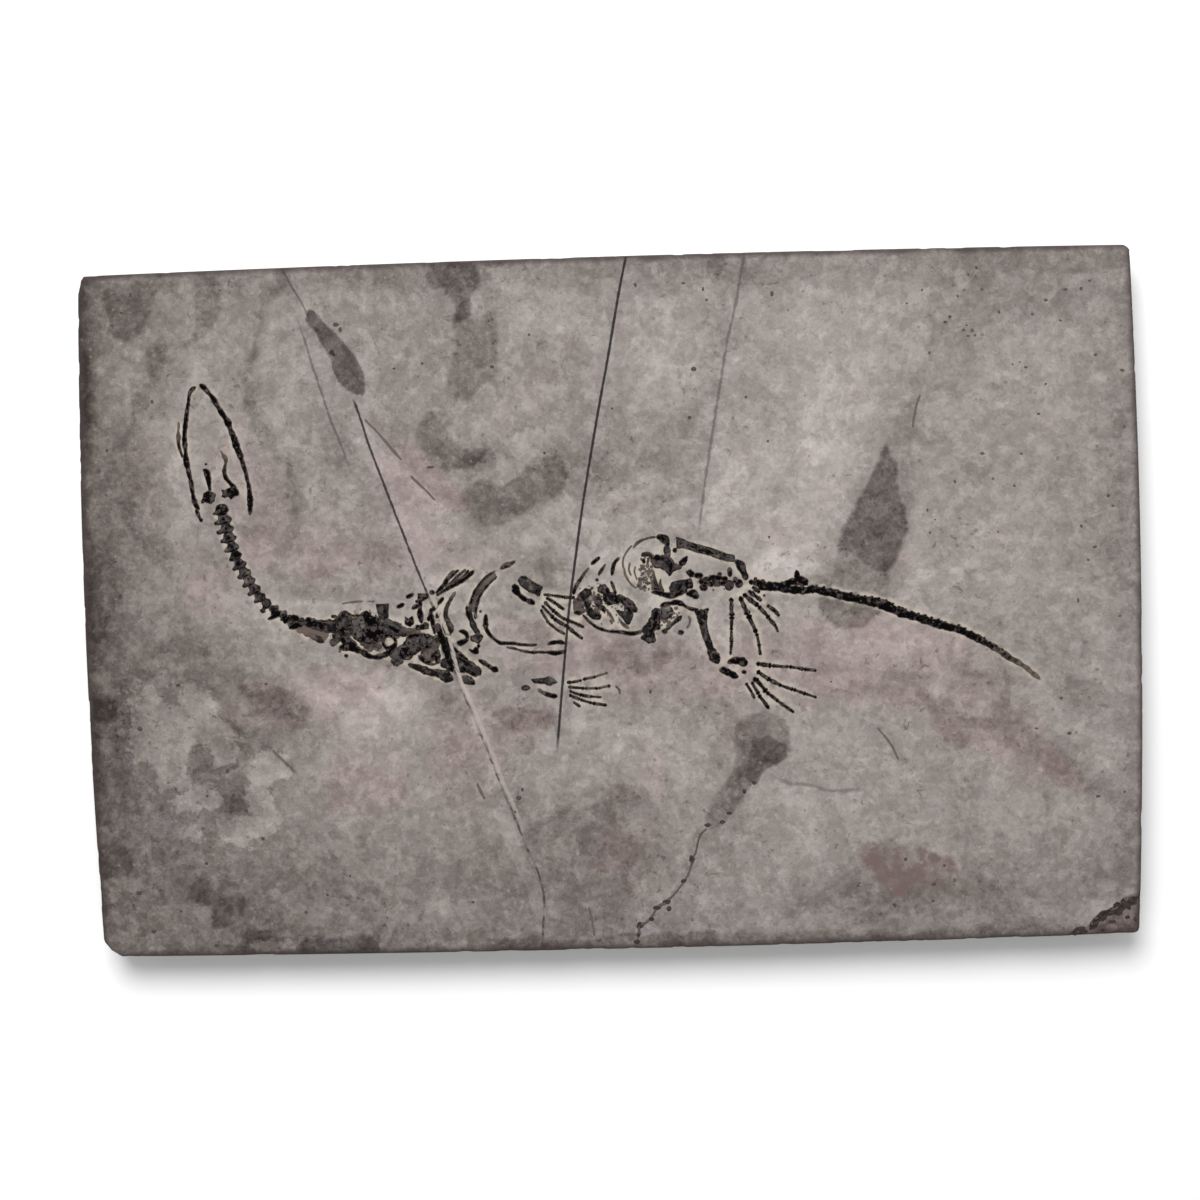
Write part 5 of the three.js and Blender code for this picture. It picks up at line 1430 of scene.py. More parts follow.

# %% [markdown]
# ## Tone of the stone
# Limestone like this is blotched: damp-looking dark bands, pale clouds, dusty pink and violet ones.
# Each is given as a soft ellipse, a soft band along a curve or a patch with a crisp edge.
# Their edges would look airbrushed, so every place is first pushed about by noise before the shapes
# are measured, which makes the edges wander as real ones do.

# %% Clouds, one by one
# x, y, half length, half width, turn in degrees, and how much lighter or darker: 1 is 100 of 255 levels
TONES = [
    # under the crushed chest
    (-44.5, -9.5, 4.5, 3, -25, -.22), (-49, -6, 6, 3, -20, -.18), (-32, -8, 5, 4, 0, -.12),
    # broad light and dark
    (-106, 0, 10, 90, 0, -.36), (-92, 64, 16, 8, 0, -.12), (-91, -46, 12, 24, 0, -.22),
    (-70, -60, 22, 14, 0, -.22), (-78, -30, 14, 16, -20, -.10), (0, -68.5, 112, 5, 0, -.20),
    (-14, -55, 22, 14, 0, -.12), (60, -63, 26, 7, 0, -.18), (38, 32, 14, 26, -5, .16),
    (46, 50, 20, 22, 0, .12), (12, 52, 12, 12, 0, .13), (82, 8, 16, 12, 0, .16),
    (48, -34, 18, 14, 0, .12), (-50, -19, 13, 8, -10, .22), (6, -28, 14, 6, 0, .06),
    (84, 62, 18, 8, 0, -.08), (0, 14, 24, 6, 0, .14), (-40, 14, 12, 6, 20, .06),
    (104, 10, 4, 60, 0, -.08), (84, 40, 14, 14, 0, .08), (-98, -18, 7, 14, 0, -.12),
    (-94, 16, 5, 16, 0, -.08), (-104, 48, 2, 22, 0, -.16), (-99, 40, 4, 16, 0, .14),
    (-103, 6, 4, 7, 0, -.18),
    # smaller clouds
    # the two thin strips at x -106 are painted shade along the sawn left edge
    (-106, -42, 2.5, 24, 0, -.3), (-106, 50, 2.5, 15, 0, -.15), (-80, -1, 5, 4, 0, .18),
    (35, 7, 6, 3, 0, .2), (11, .8, 4, 1.5, 0, .3), (22, -8, 5, 5, 0, .10), (0, 7, 4, 5, 0, .10),
    (12, 5, 14, 6, 0, .05), (-90, -19, 10, 7, 0, -.16), (-74, -39, 4, 4, 0, -.12),
    (58, 5, 3, 3, 0, -.14), (67, 5, 4, 3, 0, .10), (66, -13, 4, 2, 0, .12), (2, -67, 6, 2, 0, .18),
    (-69, -12.5, 4, 3, 0, .14), (-54, 33, 3, 5, 0, -.16), (-48, 36, 2.5, 4, -20, .14),
    (-41, 17, 4, 3, 0, .14), (103, 20, 2, 5, 0, -.12), (-104, -3, 4, 5, 0, -.28),
    (-96, 28, 5, 9, 0, -.18), (-92, 13, 5, 4, 0, -.18), (-79, 9, 3, 5, 0, -.16),
    (-55, -12.8, 8, 3, -20, -.20), (-66, -19, 10, 3.5, -25, -.20), (-76, -25, 7, 4, 0, -.18),
    (-35, -17, 6, 4, -40, -.22), (-45, 13, 4, 5, 0, -.15), (6, -10, 10, 3, 0, -.18),
    (70, -15, 8, 4, -20, -.12), (49, -12, 5, 3, 0, .16), (61, 9, 4, 8, 0, .12), (23, 27, 5, 8, 0, .14),
    (-6, 28, 5, 4, 0, -.15), (-24, 31, 3, 4, 0, -.16), (5, 60, 3, 3, 0, -.14), (41, 47, 3, 4, 0, -.14),
    (24, 54, 4, 3, 0, -.12), (34, 36, 4, 3, 0, -.10), (-20, 18, 6, 3, 0, -.13), (-12, 8, 3, 6, 0, -.14),
    (0, -39, 4, 7, 0, -.14), (-20, -57, 6, 4, 0, -.12), (64, -51, 5, 6, 0, .13),
    (-17, -66.5, 5, 2, 0, .18), (-57, -66, 8, 2, 0, .13), (-91, -48, 4, 4, 0, -.14),
    (-76, -41, 6, 3, 0, -.13), (-104, -47, 3, 6, 0, .12), (50, -66, 34, 2, 0, .10),
    (-85, -6, 9, 9, 0, -.24), (-80, -12.5, 8, 4, 0, -.12), (-70, -14, 6, 4, 0, -.12),
    (-93, 48, 6, 14, 0, -.12), (-80, 20, 3, 5, 0, -.10), (13, 13, 6, 2.5, 0, -.14),
    (-16, 5, 5, 6, 0, -.14), (36, 9, 6, 8, 0, .12), (42, 20, 5, 12, 0, .12), (38, -5, 3, 4, 0, .15),
    (52, -7, 10, 4, -10, .19), (64, -12, 8, 4, 0, .10), (18, 19, 8, 4, 0, .12), (26, 17, 6, 6, 0, .09),
    (67, 22, 5, 9, 0, .10), (61, 4, 5, 4, 0, .12), (34, 44, 5, 7, 0, -.15), (-75, -38, 5, 4, 0, -.12),
    (-78, -27, 3, 3, 0, -.12), (-48, -32, 7, 4, 0, .08), (-38, -36, 5, 5, 0, .08),
    (-26, 29, 3, 3, 0, -.12), (-32, 41, 3, 3, 0, -.12), (100, -20, 5, 20, 0, .10),
    (97, -48, 5, 6, 0, .10), (75, -34, 6, 4, 0, .14), (84, -42, 9, 6, 0, .09), (36, -50, 9, 10, 0, .09),
    (92, 10, 10, 6, 0, -.10), (-37, 6, 5, 3, 0, .14), (-36, -54, 12, 4, 0, -.09),
    (-62, -61, 3, 4, 0, .10), (-51, -62, 6, 4, 0, .10), (50, -65.5, 34, 3, 0, .15),
    (0, 68, 112, 4.5, 0, -.13), (-50, 67, 12, 3, 0, -.10), (-88, 52, 3, 4, 0, -.10),
    (-16, 41, 8, 4, 0, .08), (98, 60, 5, 5, 0, .10), (-67.5, 22, 5, 6, 0, -.08),
    (-73, 17.5, 4, 1.6, 0, -.14), (-61, 1.5, 9, 1.6, 0, .10), (-85, 24, 3, 9, 0, .10),
    (-82, 6, 6, 6, 0, .08), (-12, 60, 8, 7, 0, .08), (26, 66, 6, 3, 0, -.14),
    (22, 50, 2.5, 10, -8, -.08), (31, 47, 5, 9, -10, -.08), (34, 58, 5, 8, 0, -.06),
    (73, 56, 3, 9, -15, -.08), (98, 60, 7, 7, 0, -.05), (94, -20, 5, 3, -40, -.10),
    (100, -46, 5, 10, 0, -.14), (-12, -6, 7, 3.5, 0, -.14), (52, -58, 8, 6, 0, -.06),
    (98, -57, 7, 6, 0, -.12), (-58, -12, 6, 4, 0, .08), (-87, -64, 5, 4, 0, .10),
    (-50, -60, 6, 6, 0, -.06), (-66, -67.8, 10, 1.6, 0, -.10), (-70, -67.9, 4, 1, 0, .18),
    # (-105.5, 30) and (-60, -70) are thin strips of painted shade along the left and bottom edges
    (-62, -50, 8, 6, 0, -.06), (-105.5, 30, 1.5, 60, 0, -.25), (-60, -70, 50, 1.5, 0, -.3),
    (101, -66, 6, 4, 0, .25), (-86, -6, 5, 4, 0, -.12), (-84, 24, 3, 4, 0, -.10),
    (73, 58, 3, 4, 0, .10), (17, -38, 5, 4, 0, .08), (102, -40, 3, 4, 0, .10), (98, 6, 8, 4, 0, -.08),
]
BANDS = [
    ([
        (-64.5, 69), (-65, 66), (-68, 62.5), (-69, 58), (-69.5, 54), (-71.5, 50), (-71, 46), (-71, 43),
    ], 1.3, -.28),
    ([
        (-70.5, 43), (-69.5, 38), (-67, 35), (-65, 31), (-63.5, 27), (-62.8, 22), (-63.3, 18),
        (-64.5, 15.5),
    ], 1.1, -.21),
    ([(-90, 53), (-90, 49), (-92, 45.5), (-94, 42), (-96.5, 38), (-99, 34)], 1.5, -.14),
    ([(-98, 23.5), (-96, 20), (-94, 16), (-91, 11), (-88, 6)], .8, -.16),
    ([(-79, -20), (-75, -23), (-70.5, -26), (-68, -28.5), (-65, -31.5)], .7, -.20),
    ([(-56.5, -44.5), (-50.5, -41)], .5, .16),
    ([(59.8, 38), (62.5, 43), (65.5, 49), (68.5, 54.8)], 1.3, -.11),
    ([(53, -26), (55.5, -29), (57.5, -32.5), (59, -34)], .35, -.16),
    ([(86.5, -41), (88, -45), (87.5, -48.5), (86.5, -51)], .6, -.12),
    ([(72, -56), (74, -58), (79, -58.5), (82, -58), (85.5, -54)], .8, -.12),
    ([(-18, -44), (-12.5, -42), (-5, -40.5), (-1, -40)], .5, -.10),
    ([(82, -63.5), (88, -61.5), (94, -60.5), (100, -60)], .5, .10),
    ([(4.8, -53), (4.5, -60), (3, -66)], .6, .10),
    ([(.4, -26), (.6, -30), (.2, -35)], .35, .12),
    ([(-95, -38), (-95.4, -44), (-95.2, -52)], .5, .10),
    ([(17.5, -45), (16, -49), (15.2, -52), (13.6, -56), (10.5, -60)], .9, -.10),
]
# How much lighter or darker, how much pinker or greyer, and the loop: places with a crisp edge
PATCHES = [
    (-.24, 0, [
        (-100, 66), (-95, 67), (-90.5, 68), (-90, 63), (-91.5, 59), (-94, 56), (-98, 56), (-99, 60),
    ]),
    (-.21, 0, [
        (-81, 68), (-78, 68), (-77, 59.5), (-79, 57), (-84, 54), (-87.5, 54), (-88.5, 50.5), (-90, 54),
        (-82, 56.5), (-81.5, 60),
    ]),
    (-.40, -.9, [
        (-34.5, 68.6), (-25, 68.6), (-24.5, 66), (-26, 62), (-26.5, 58), (-29, 58), (-30, 62),
        (-32, 64.5), (-34, 65.5),
    ]),
    (-.23, 0, [
        (-30, 59), (-26, 58), (-22, 60), (-21, 52), (-22, 46), (-25, 45), (-26.5, 42), (-31, 44),
        (-30.5, 50), (-29.5, 55),
    ]),
    (-.29, 0, [
        (-38, 35), (-36.5, 38.5), (-34, 40), (-32, 36), (-30, 33), (-27, 32), (-23.5, 32.5), (-25, 30),
        (-33, 28.5), (-36, 31),
    ]),
    (-.29, 0, [
        (-29, 24), (-25, 26), (-21, 24.5), (-18, 26), (-14, 30), (-9, 30), (-8.5, 24), (-14, 21),
        (-19, 18), (-22, 16.8), (-27.5, 19),
    ]),
    (-.06, 0, [
        (-6, 31), (0, 31), (3, 33), (8, 34), (16, 38), (20, 37), (20, 30), (16, 27), (6, 26.5),
        (2, 25.5), (-4, 25),
    ]),
    (.13, 0, [(0, 22.5), (2, 24), (5, 24), (5, 22), (3, 20.5)]),
    (.11, 0, [(5.5, 25.5), (8, 27), (11, 26.5), (12, 24), (9, 22), (6.5, 23)]),
    (-.14, .5, [(0, 19), (4, 21.5), (7.5, 21), (6, 19.5), (2, 18.5)]),
    (-.08, 0, [(8, 21), (13, 22), (17, 24), (19, 23), (15, 21), (10, 20)]),
    (-.07, .7, [
        (-47, 38.5), (-42, 37), (-37, 31.5), (-33, 29), (-30, 25), (-28, 20), (-32, 20), (-35, 23),
        (-39, 28),
    ]),
    (-.23, -.2, [
        (46.5, 10), (45, 7), (44.5, 5), (40.5, 5.3), (38, 4.8), (38.5, 3.2), (47, 1.8), (56, 0),
        (55.3, 5.5), (53, 6.4), (50, 9),
    ]),
    (-.42, -.3, [
        (42, .4), (50, 0), (56, -1.5), (53.5, -3.4), (51, -5), (49, -6), (46, -6), (43.5, -4),
        (42.3, -2),
    ]),
    (-.10, 0, [
        (56, 30), (58, 35), (60, 39), (61.5, 40), (61.8, 34), (60.6, 30), (61, 18), (59.8, 12),
        (58.6, 22), (57.5, 28.5),
    ]),
    (-.15, .1, [
        (-84.5, -25.5), (-82, -26), (-80.5, -30), (-75, -31), (-75, -36), (-76, -40), (-80, -40),
        (-81, -35.5), (-86, -35), (-85.5, -31),
    ]),
    (.0, -1, [
        (-104, -27), (-101, -26), (-95, -31), (-92.5, -35), (-90.3, -37), (-90, -46), (-93, -48),
        (-97, -46.5), (-104.5, -46),
    ]),
    (-.30, 0, [(-104.6, -16), (-101, -17), (-100.5, -20), (-103, -21.5), (-104.6, -21)]),
    (-.27, .3, [
        (-85, -53), (-81, -57), (-76.5, -57), (-76, -60), (-77, -62), (-83, -63), (-82.5, -60),
        (-88, -57), (-87, -54),
    ]),
    (-.20, .2, [(-104.6, -46), (-100, -46.5), (-98, -50), (-101, -53), (-104.6, -53)]),
    (-.17, 0, [(-76, -57), (-71, -57), (-68.5, -60), (-68, -64), (-71, -66), (-74.5, -66), (-77, -62)]),
    (-.22, 0, [(-77, -66), (-70, -65), (-68.5, -68.8), (-77, -68.8)]),
    (-.26, 0, [(-65, -67.2), (-58, -66.4), (-49, -67), (-49, -69), (-65, -69)]),
    (-.04, -.5, [(-57, -64), (-50, -63), (-48.5, -66), (-49, -69), (-58, -69)]),
    (-.08, 0, [
        (-52.5, -46), (-48, -45), (-47, -50), (-48, -56), (-49, -68), (-51, -68), (-52, -60),
        (-52.5, -54),
    ]),
    (-.15, .8, [
        (-70, -14), (-66, -16), (-62.5, -18), (-62, -23), (-65, -24), (-69, -21), (-70, -18),
        (-73, -17), (-76, -15),
    ]),
    (-.02, .8, [(-60, -33), (-56, -40), (-48, -41), (-43, -40), (-42.5, -36), (-45, -33)]),
    (.11, .1, [
        (-43, -16), (-41, -17), (-41.5, -21), (-43.5, -22.5), (-45, -21), (-46, -19), (-52, -15),
        (-58, -11.5), (-57, -10.5), (-50, -13.5),
    ]),
    (.12, .4, [(-40.5, -13.5), (-35.5, -14.2), (-36, -17), (-40, -18)]),
    (.14, .2, [
        (-31.3, -14), (-28.5, -16), (-25.5, -24), (-22.5, -36), (-23.5, -37), (-25.5, -31), (-28, -24),
        (-30, -18),
    ]),
    (-.10, 0, [
        (-13, -41), (-8, -41.5), (-3, -40), (0, -41), (5, -47), (9, -46), (9, -50), (7, -53), (2, -60),
        (-5, -64), (-8, -62), (-14.5, -55), (-15, -50), (-14, -45),
    ]),
    (-.04, 1.2, [(-4, -50), (-1, -47), (3, -47), (5, -50), (4, -52), (0, -54), (-4, -54)]),
    (-.20, .2, [
        (-19.5, -36), (-20.5, -40), (-18.7, -42.5), (-18, -46), (-16.8, -48), (-16, -45.5),
        (-12.5, -43.5), (-17, -43),
    ]),
    (-.14, .6, [(0, -36), (4, -38), (5, -41), (1, -40), (-2, -38)]),
    (.12, -.1, [
        (-10.5, -23.5), (-7, -23), (-1, -23.5), (4, -24), (8, -21.5), (11, -21), (12.5, -23), (10, -25),
        (4, -26), (-4, -26.3), (-10, -25.8),
    ]),
    (.08, 0, [
        (-20, -29), (-11, -27), (-4, -26.3), (10, -25), (18, -27), (19, -34), (12, -38), (1, -36),
        (-12, -38), (-19, -35),
    ]),
    (-.25, .8, [(-24, -21), (-21, -20), (-16, -20.5), (-12, -20), (-12, -24), (-16, -25), (-22, -24)]),
    (-.18, .1, [(-19, -27), (-16, -26), (-16, -29), (-19, -30), (-20, -28)]),
    (-.05, .8, [
        (41, -14), (46, -15), (50, -16), (54, -18), (56, -15), (59, -14.6), (62, -15.5), (63, -19),
        (62, -21), (54, -21), (46, -19), (42, -17),
    ]),
    (-.15, .7, [
        (63, -19), (66, -22), (70, -24), (75, -24), (78, -20), (79, -14), (80, -17), (80, -22),
        (83, -27), (90, -31), (94, -36), (97, -40), (90, -39), (84, -33), (79, -31), (77, -27),
        (73, -27), (70, -31), (66, -29), (64, -25),
    ]),
    (.09, .1, [(64, -18), (70, -17), (76, -19), (76, -22), (73, -22), (70, -20), (65, -20.5)]),
    (.08, 0, [
        (80, -19), (84, -22), (86, -26), (91, -28), (95, -31), (98, -36), (101, -39), (101, -34),
        (92, -24), (84, -17),
    ]),
    (-.17, -.3, [
        (28.4, -34), (27, -37.5), (25, -40.5), (23, -43.5), (21.5, -45), (18, -45), (18.5, -42.8),
        (20.5, -40.5), (20.5, -38), (23, -35.5), (25, -33),
    ]),
    (-.12, 0, [(45, -63), (52, -63.5), (55, -63), (54, -65), (46, -65.3)]),
    # The last two patches are thin dark strips along the bottom edge: painted shade of that sawn edge.
    (-.14, -.3, [(22, -68.2), (60, -68), (92, -68.3), (92, -70), (20, -70)]),
    (-.25, 0, [(-27, -68.2), (-10, -68), (20, -68.4), (20, -70), (-27, -70)]),
]
WARMS = [  # x, y, half length, half width, turn in degrees, pink (+) or violet-grey (-)
    (-69, 20, 5, 12, 0, .8), (-60, 13, 14, 6, 0, .8), (-81, 6, 6, 6, 0, .8), (-40, 24, 7, 8, 30, .8),
    (-75, 32, 5, 10, 0, .5), (-35, 10, 14, 6, 0, .7), (-10, -8, 16, 6, 0, .9), (14, -14, 20, 7, 0, .8),
    (44, -12, 18, 9, 0, 1), (64, -12, 16, 8, -20, .8), (76, -26, 11, 6, -20, 1),
    (84, -36, 6, 4, -30, .7), (-56, -16, 12, 6, 0, .9), (-50, -32, 9, 9, 0, .7),
    (-30, -28, 8, 12, 0, .8), (-20, -24, 5, 5, 0, .8), (1, -50, 6, 8, 0, .7), (7, -36, 3, 10, 0, .5),
    (24, -27, 4, 7, 0, .5), (34, 14, 12, 7, 0, .4), (-14, 42, 9, 8, 0, .3), (-94, 30, 6, 12, 0, .4),
    (-68, -19, 6, 4, 0, .9), (-78, -21, 2.5, 3, 0, .7), (58, 7, 3, 6, 0, .7), (-29, 65, 6, 5, 20, -.8),
    (88, 58, 18, 9, 0, -.4), (50, 64, 14, 4, 0, -.4), (-100, -38, 6, 12, 0, -.8),
    (-60, -67, 14, 2.5, 0, -.8), (-10, -67, 14, 2.5, 0, -.6), (20, -66, 20, 3, 0, -.7),
    (104, 0, 1.5, 70, 0, -.6), (85, -57, 5, 3, 0, -.5), (8, 65, 2.5, 5, -20, -.7),
    (80, 42, 8, 6, 0, -.3),
]
PUSH, PATCH_PUSH = 1.9, 0.8


def soft_spots(x, y, spots):
    """Sum of strength * exp(-0.8 r^4) over the ellipses, where r is 1 on the ellipse's edge. The fourth
    power keeps the middle flat and the edge fairly quick."""
    total = np.zeros_like(x)
    for cx, cy, long, wide, turn, strength in spots:
        c, s = math.cos(math.radians(turn)), math.sin(math.radians(turn))
        u = ((x - cx) * c + (y - cy) * s) / long
        v = ((y - cy) * c - (x - cx) * s) / wide
        total += strength * np.exp(-((u * u + v * v) ** 2) * .8)
    return total


def clouds_at(x, y):
    """Tone and warmth from about -1 to 1, after noise has pushed the places about. Patches are pushed
    less, because their torn edges are crisp."""
    px, py = (at + PUSH * rough_noise(x, y, 5.5, 4, draw) for at, draw in ((x, 40), (y, 50)))
    tone, warm = soft_spots(px, py, TONES), soft_spots(px, py, WARMS)
    for stations, half_width, strength in BANDS:
        apart = distance_to(px, py, smooth_line(stations, 2.0))
        tone += strength * np.exp(-((apart / half_width) ** 2))
    px, py = (at + PATCH_PUSH * rough_noise(x, y, 2.6, 4, draw) for at, draw in ((x, 44), (y, 54)))
    for darker, pinker, loop in PATCHES:
        share = step(inside_any(px, py, [loop], 1.0), -.3, .3)
        tone, warm = tone + darker * share, warm + pinker * share
    return np.clip(tone, -1, 1), np.clip(warm, -1, 1)


trial = clouds_at(np.array([-103.0, -43.0]), np.array([-30.0, 24.0]))
print("tone on the dark left side and on the pale wedge:", np.round(trial[0], 2))

# %% [markdown]
# ## The slab
# The plate was sawn by hand, so its sides bulge a little and each corner is knocked off in its own
# way. The face is one grid whose columns are drawn towards the cracks, so that the grooves come out
# crisp. The sides are rings that carry the face's rim down, and the underside closes to its middle.

# %% Slab shape
HALF_LONG = 105.0
HALF_WIDE = 69.0
BULGE_SHORT_SIDE = slab_high.x / MM - HALF_LONG
BULGE_LONG_SIDE = slab_high.y / MM - HALF_WIDE
CORNERS_KNOCKED = [(1, 1, .9, .8), (-1, 1, 0.8, 2.6), (-1, -1, 2.8, 2.6), (1, -1, .7, .6)]
COLUMNS, ROWS = 328, 214
RIM_STEPS = np.array([0, .12, .28, .48])
ROUNDING = 0.4
PULL_REACH, PULL_POWER = 2.4, 1.7


def graded(count, half):
    """Places from -1 to 1: even steps, with a few close rows at both rims, given in mm from the rim."""
    even = np.linspace(-1 + 1.0 / half, 1 - 1.0 / half, count)
    rim = RIM_STEPS / half
    return np.concatenate([-1 + rim, even, (1 - rim)[::-1]])


def drawn_to_cracks(x, y):
    """Moves columns near a crack towards it: a distance d becomes R * (d / R)^power, within R."""
    for stations in (SLANTING_CRACK, STRAIGHT_CRACK, FAINT_CRACK):
        line = smooth_line(stations, 2.0)[::-1]
        crack_x = np.interp(y, line[:, 1], line[:, 0])
        share = np.clip(np.abs(x - crack_x) / PULL_REACH, 1e-9, 1)
        pulled = crack_x + np.sign(x - crack_x) * PULL_REACH * share**PULL_POWER
        x = np.where(share < 1, x + (pulled - x) * step(y, line[0, 1] - 4, line[0, 1]), x)
    return x


def knock_corners(x, y):
    """Slides points near a corner inwards. With q = (distance along)/(cut along) + (distance down)/
    (cut down), q from 0 to 1.25 is squeezed into 1 to 1.25, and points past it stay."""
    for sx, sy, along, down in CORNERS_KNOCKED:
        swell_x = HALF_LONG + BULGE_SHORT_SIDE * (1 - (y / HALF_WIDE) ** 2)
        swell_y = HALF_WIDE + BULGE_LONG_SIDE * (1 - (x / HALF_LONG) ** 2)
        q = (swell_x - sx * x) / along + (swell_y - sy * y) / down
        slide = np.clip(1 - q / 1.25, 0, 1) / 2
        x, y = x - sx * along * slide, y - sy * down * slide
    return x, y


def slab_face():
    """The face as grids of x, y and the distance in mm to the nearest rim."""
    s, t = np.meshgrid(graded(COLUMNS, HALF_LONG), graded(ROWS, HALF_WIDE))
    x = s * (HALF_LONG + BULGE_SHORT_SIDE * (1 - t**2))
    y = t * (HALF_WIDE + BULGE_LONG_SIDE * (1 - s**2))
    x = np.where(np.abs(s) < .95, drawn_to_cracks(x, y), x)
    rim = np.minimum((1 - np.abs(s)) * HALF_LONG, (1 - np.abs(t)) * HALF_WIDE)
    return (*knock_corners(x, y), rim)


face_x, face_y, face_rim = slab_face()
print("face grid:", face_x.shape, "reaching, mm:", round(face_x.max(), 2), round(face_y.max(), 2))

# %% Slab mesh
SIDE_HEIGHTS = [11.35, 10.7, 9.6, 8.1, 6.4, 4.6, 2.9, 1.5, 0.6, 0.0]
UNDERSIDE_RINGS = [.985, .92, .78, .58, .36, .14]
CHIP_SIZE, CHIP_REACH = 0.16, 1.2
SAW_MARKS = ((.10, .35, 1, 1.1, 60), (.12, 0, 2, 9, 61))


def quads_between(rings, around, first=0):
    """Faces that join each ring of `around` vertices to the next, as rows of four vertex numbers."""
    a = first + np.arange(rings - 1)[:, None] * around + np.arange(around)
    b = first + np.arange(rings - 1)[:, None] * around + (np.arange(around) + 1) % around
    return np.stack([a, a + around, b + around, b], axis=-1).reshape(-1, 4)


def slab_vertices_and_faces():
    """The slab's vertices (the face, then rings down the sides and in across the underside), its
    faces, and for each vertex whether it is on a sawn side and how far it is from the rim."""
    x, y, rim = face_x.ravel(), face_y.ravel(), face_rim.ravel()
    rounded = ROUNDING * np.clip(1 - rim / ROUNDING, 0, 1) ** 2
    chance = step(noise(x, y, 3.1, 31) + .5 * noise(x, y, 1.2, 33), .2, .9)
    chip = CHIP_SIZE * chance * np.clip(1 - rim / CHIP_REACH, 0, 1)
    z = stone_height(x, y) - rounded - .7 * chip
    pull_x, pull_y = 1 - chip / HALF_LONG, 1 - chip / HALF_WIDE
    top = np.stack([x * pull_x, y * pull_y, z], axis=1)
    rows, columns = face_x.shape
    number = np.arange(rows * columns).reshape(rows, columns)
    near, far = number[:-1], number[1:]
    faces = np.stack([near[:, :-1], near[:, 1:], far[:, 1:], far[:, :-1]], -1).reshape(-1, 4)

    rim_loop = np.concatenate([number[0, :-1], number[:-1, -1], number[-1, :0:-1], number[:0:-1, 0]])
    around = len(rim_loop)
    outline_xy = np.stack([x[rim_loop], y[rim_loop]], axis=1)
    travelled = travelled_along(outline_xy)
    rings = []
    for height in SIDE_HEIGHTS:
        saw = sum(
            depth * (1 + noise(travelled + lean * height, height * squeeze, size, draw)) / 2
            for depth, lean, squeeze, size, draw in SAW_MARKS
        )
        inset = saw + ROUNDING * max(0.0, 1 - height / ROUNDING) ** 2
        shrink = 1 - inset[:, None] / np.array([HALF_LONG, HALF_WIDE])
        rings.append(np.column_stack([outline_xy * shrink, np.full(around, height)]))
    for share in UNDERSIDE_RINGS:
        rings.append(np.column_stack([rings[len(SIDE_HEIGHTS) - 1][:, :2] * share, np.zeros(around)]))
    middle = np.zeros((1, 3))
    vertices = np.vstack([top, *rings, middle])
    first = len(top)
    side = quads_between(len(rings), around, first)
    here, after = np.arange(around), (np.arange(around) + 1) % around
    joint = np.stack([rim_loop, first + here, first + after, np.roll(rim_loop, -1)], 1)
    last = first + (len(rings) - 1) * around
    fan = np.stack([last + here, np.full(around, len(vertices) - 1), last + after], 1)
    cut = np.concatenate([np.zeros(first), np.ones(len(vertices) - first)])
    rim_all = np.concatenate([rim, np.zeros(len(vertices) - first)])
    return vertices, [*faces.tolist(), *joint.tolist(), *side.tolist(), *fan.tolist()], cut, rim_all


def mesh_from(name, vertices, faces):
    """A smooth-shaded mesh object in metres from vertices in mm."""
    mesh = bpy.data.meshes.new(name)
    mesh.from_pydata(np.asarray(vertices * MM, np.float32), [], faces)
    mesh.polygons.foreach_set("use_smooth", np.ones(len(mesh.polygons), bool))
    mesh.update()
    made = bpy.data.objects.new(name, mesh)
    bpy.context.scene.collection.objects.link(made)
    return made


def write_attribute(mesh, name, values):
    """Stores one number or one vector per vertex, for the shader's Attribute node to read."""
    values = np.asarray(values, np.float32)
    if values.ndim == 1:
        mesh.attributes.new(name, "FLOAT", "POINT").data.foreach_set("value", values)
    else:
        mesh.attributes.new(name, "FLOAT_VECTOR", "POINT").data.foreach_set("vector", values.ravel())


SEAM_SETS = {"cracks": ("slanting", "straight", "faint"), "threads": ("branch", "scratch", "thread")}


def write_seams(mesh, seams):
    """Each set of three seams becomes two vector attributes: their distances and their presence."""
    for label, names in SEAM_SETS.items():
        write_attribute(mesh, label + "_apart", np.stack([seams[name][0] for name in names], axis=1))
        write_attribute(mesh, label + "_there", np.stack([seams[name][1] for name in names], axis=1))


vertices, faces, cut, rim = slab_vertices_and_faces()
stone = mesh_from("slab_stone", vertices, faces)
px, py = vertices[:, 0], vertices[:, 1]
tone, warm = clouds_at(px, py)
numbers = {
    "tone": tone, "warm": warm, "cut": cut, "rim": rim,
    "bone_close": look_up(BONE_CLOSE, px, py), "bone_around": look_up(BONE_AROUND, px, py),
}
LOOP_SETS = {
    "stains": ([LENS_STAIN], [SPEAR_STAIN], [DROP_STAIN]), "skins": (FLAKES, [RED_PATCH], [BROKEN_CORNER]),
    "marks": ([WEDGE], [DROP_CORE], [PALE_BAND]),
}
for name, loop_set in LOOP_SETS.items():
    numbers[name] = np.stack([inside_any(px, py, loops) for loops in loop_set], axis=1)
for name, values in numbers.items():
    write_attribute(stone.data, name, values)
write_seams(stone.data, seams_at(px, py))
triangles = sum(len(p.vertices) - 2 for p in stone.data.polygons)
print("slab:", len(vertices), "vertices,", triangles, "triangles")

# %% [markdown]
# ## Building blocks for the two materials
# Stone and bone share several effects: blotches, thin seams, specks, fine grain. Each is a node group,
# built once, with named inputs, and each material places it with its own numbers. Colours are typed as
# they look on a screen, from 0 to 255, and turned into the shader's linear values. They are divided by
# how brightly the lamp and the room light the face, so that a typed colour comes out as typed.

# %% Node helpers
BRIGHTNESS = 1.36


def paint(red, green, blue):
    """A colour as it looks, turned linear: ((c / 255 + 0.055) / 1.055) ^ 2.4, over the brightness."""
    return (*[((c / 255 + .055) / 1.055) ** 2.4 / BRIGHTNESS for c in (red, green, blue)], 1.0)


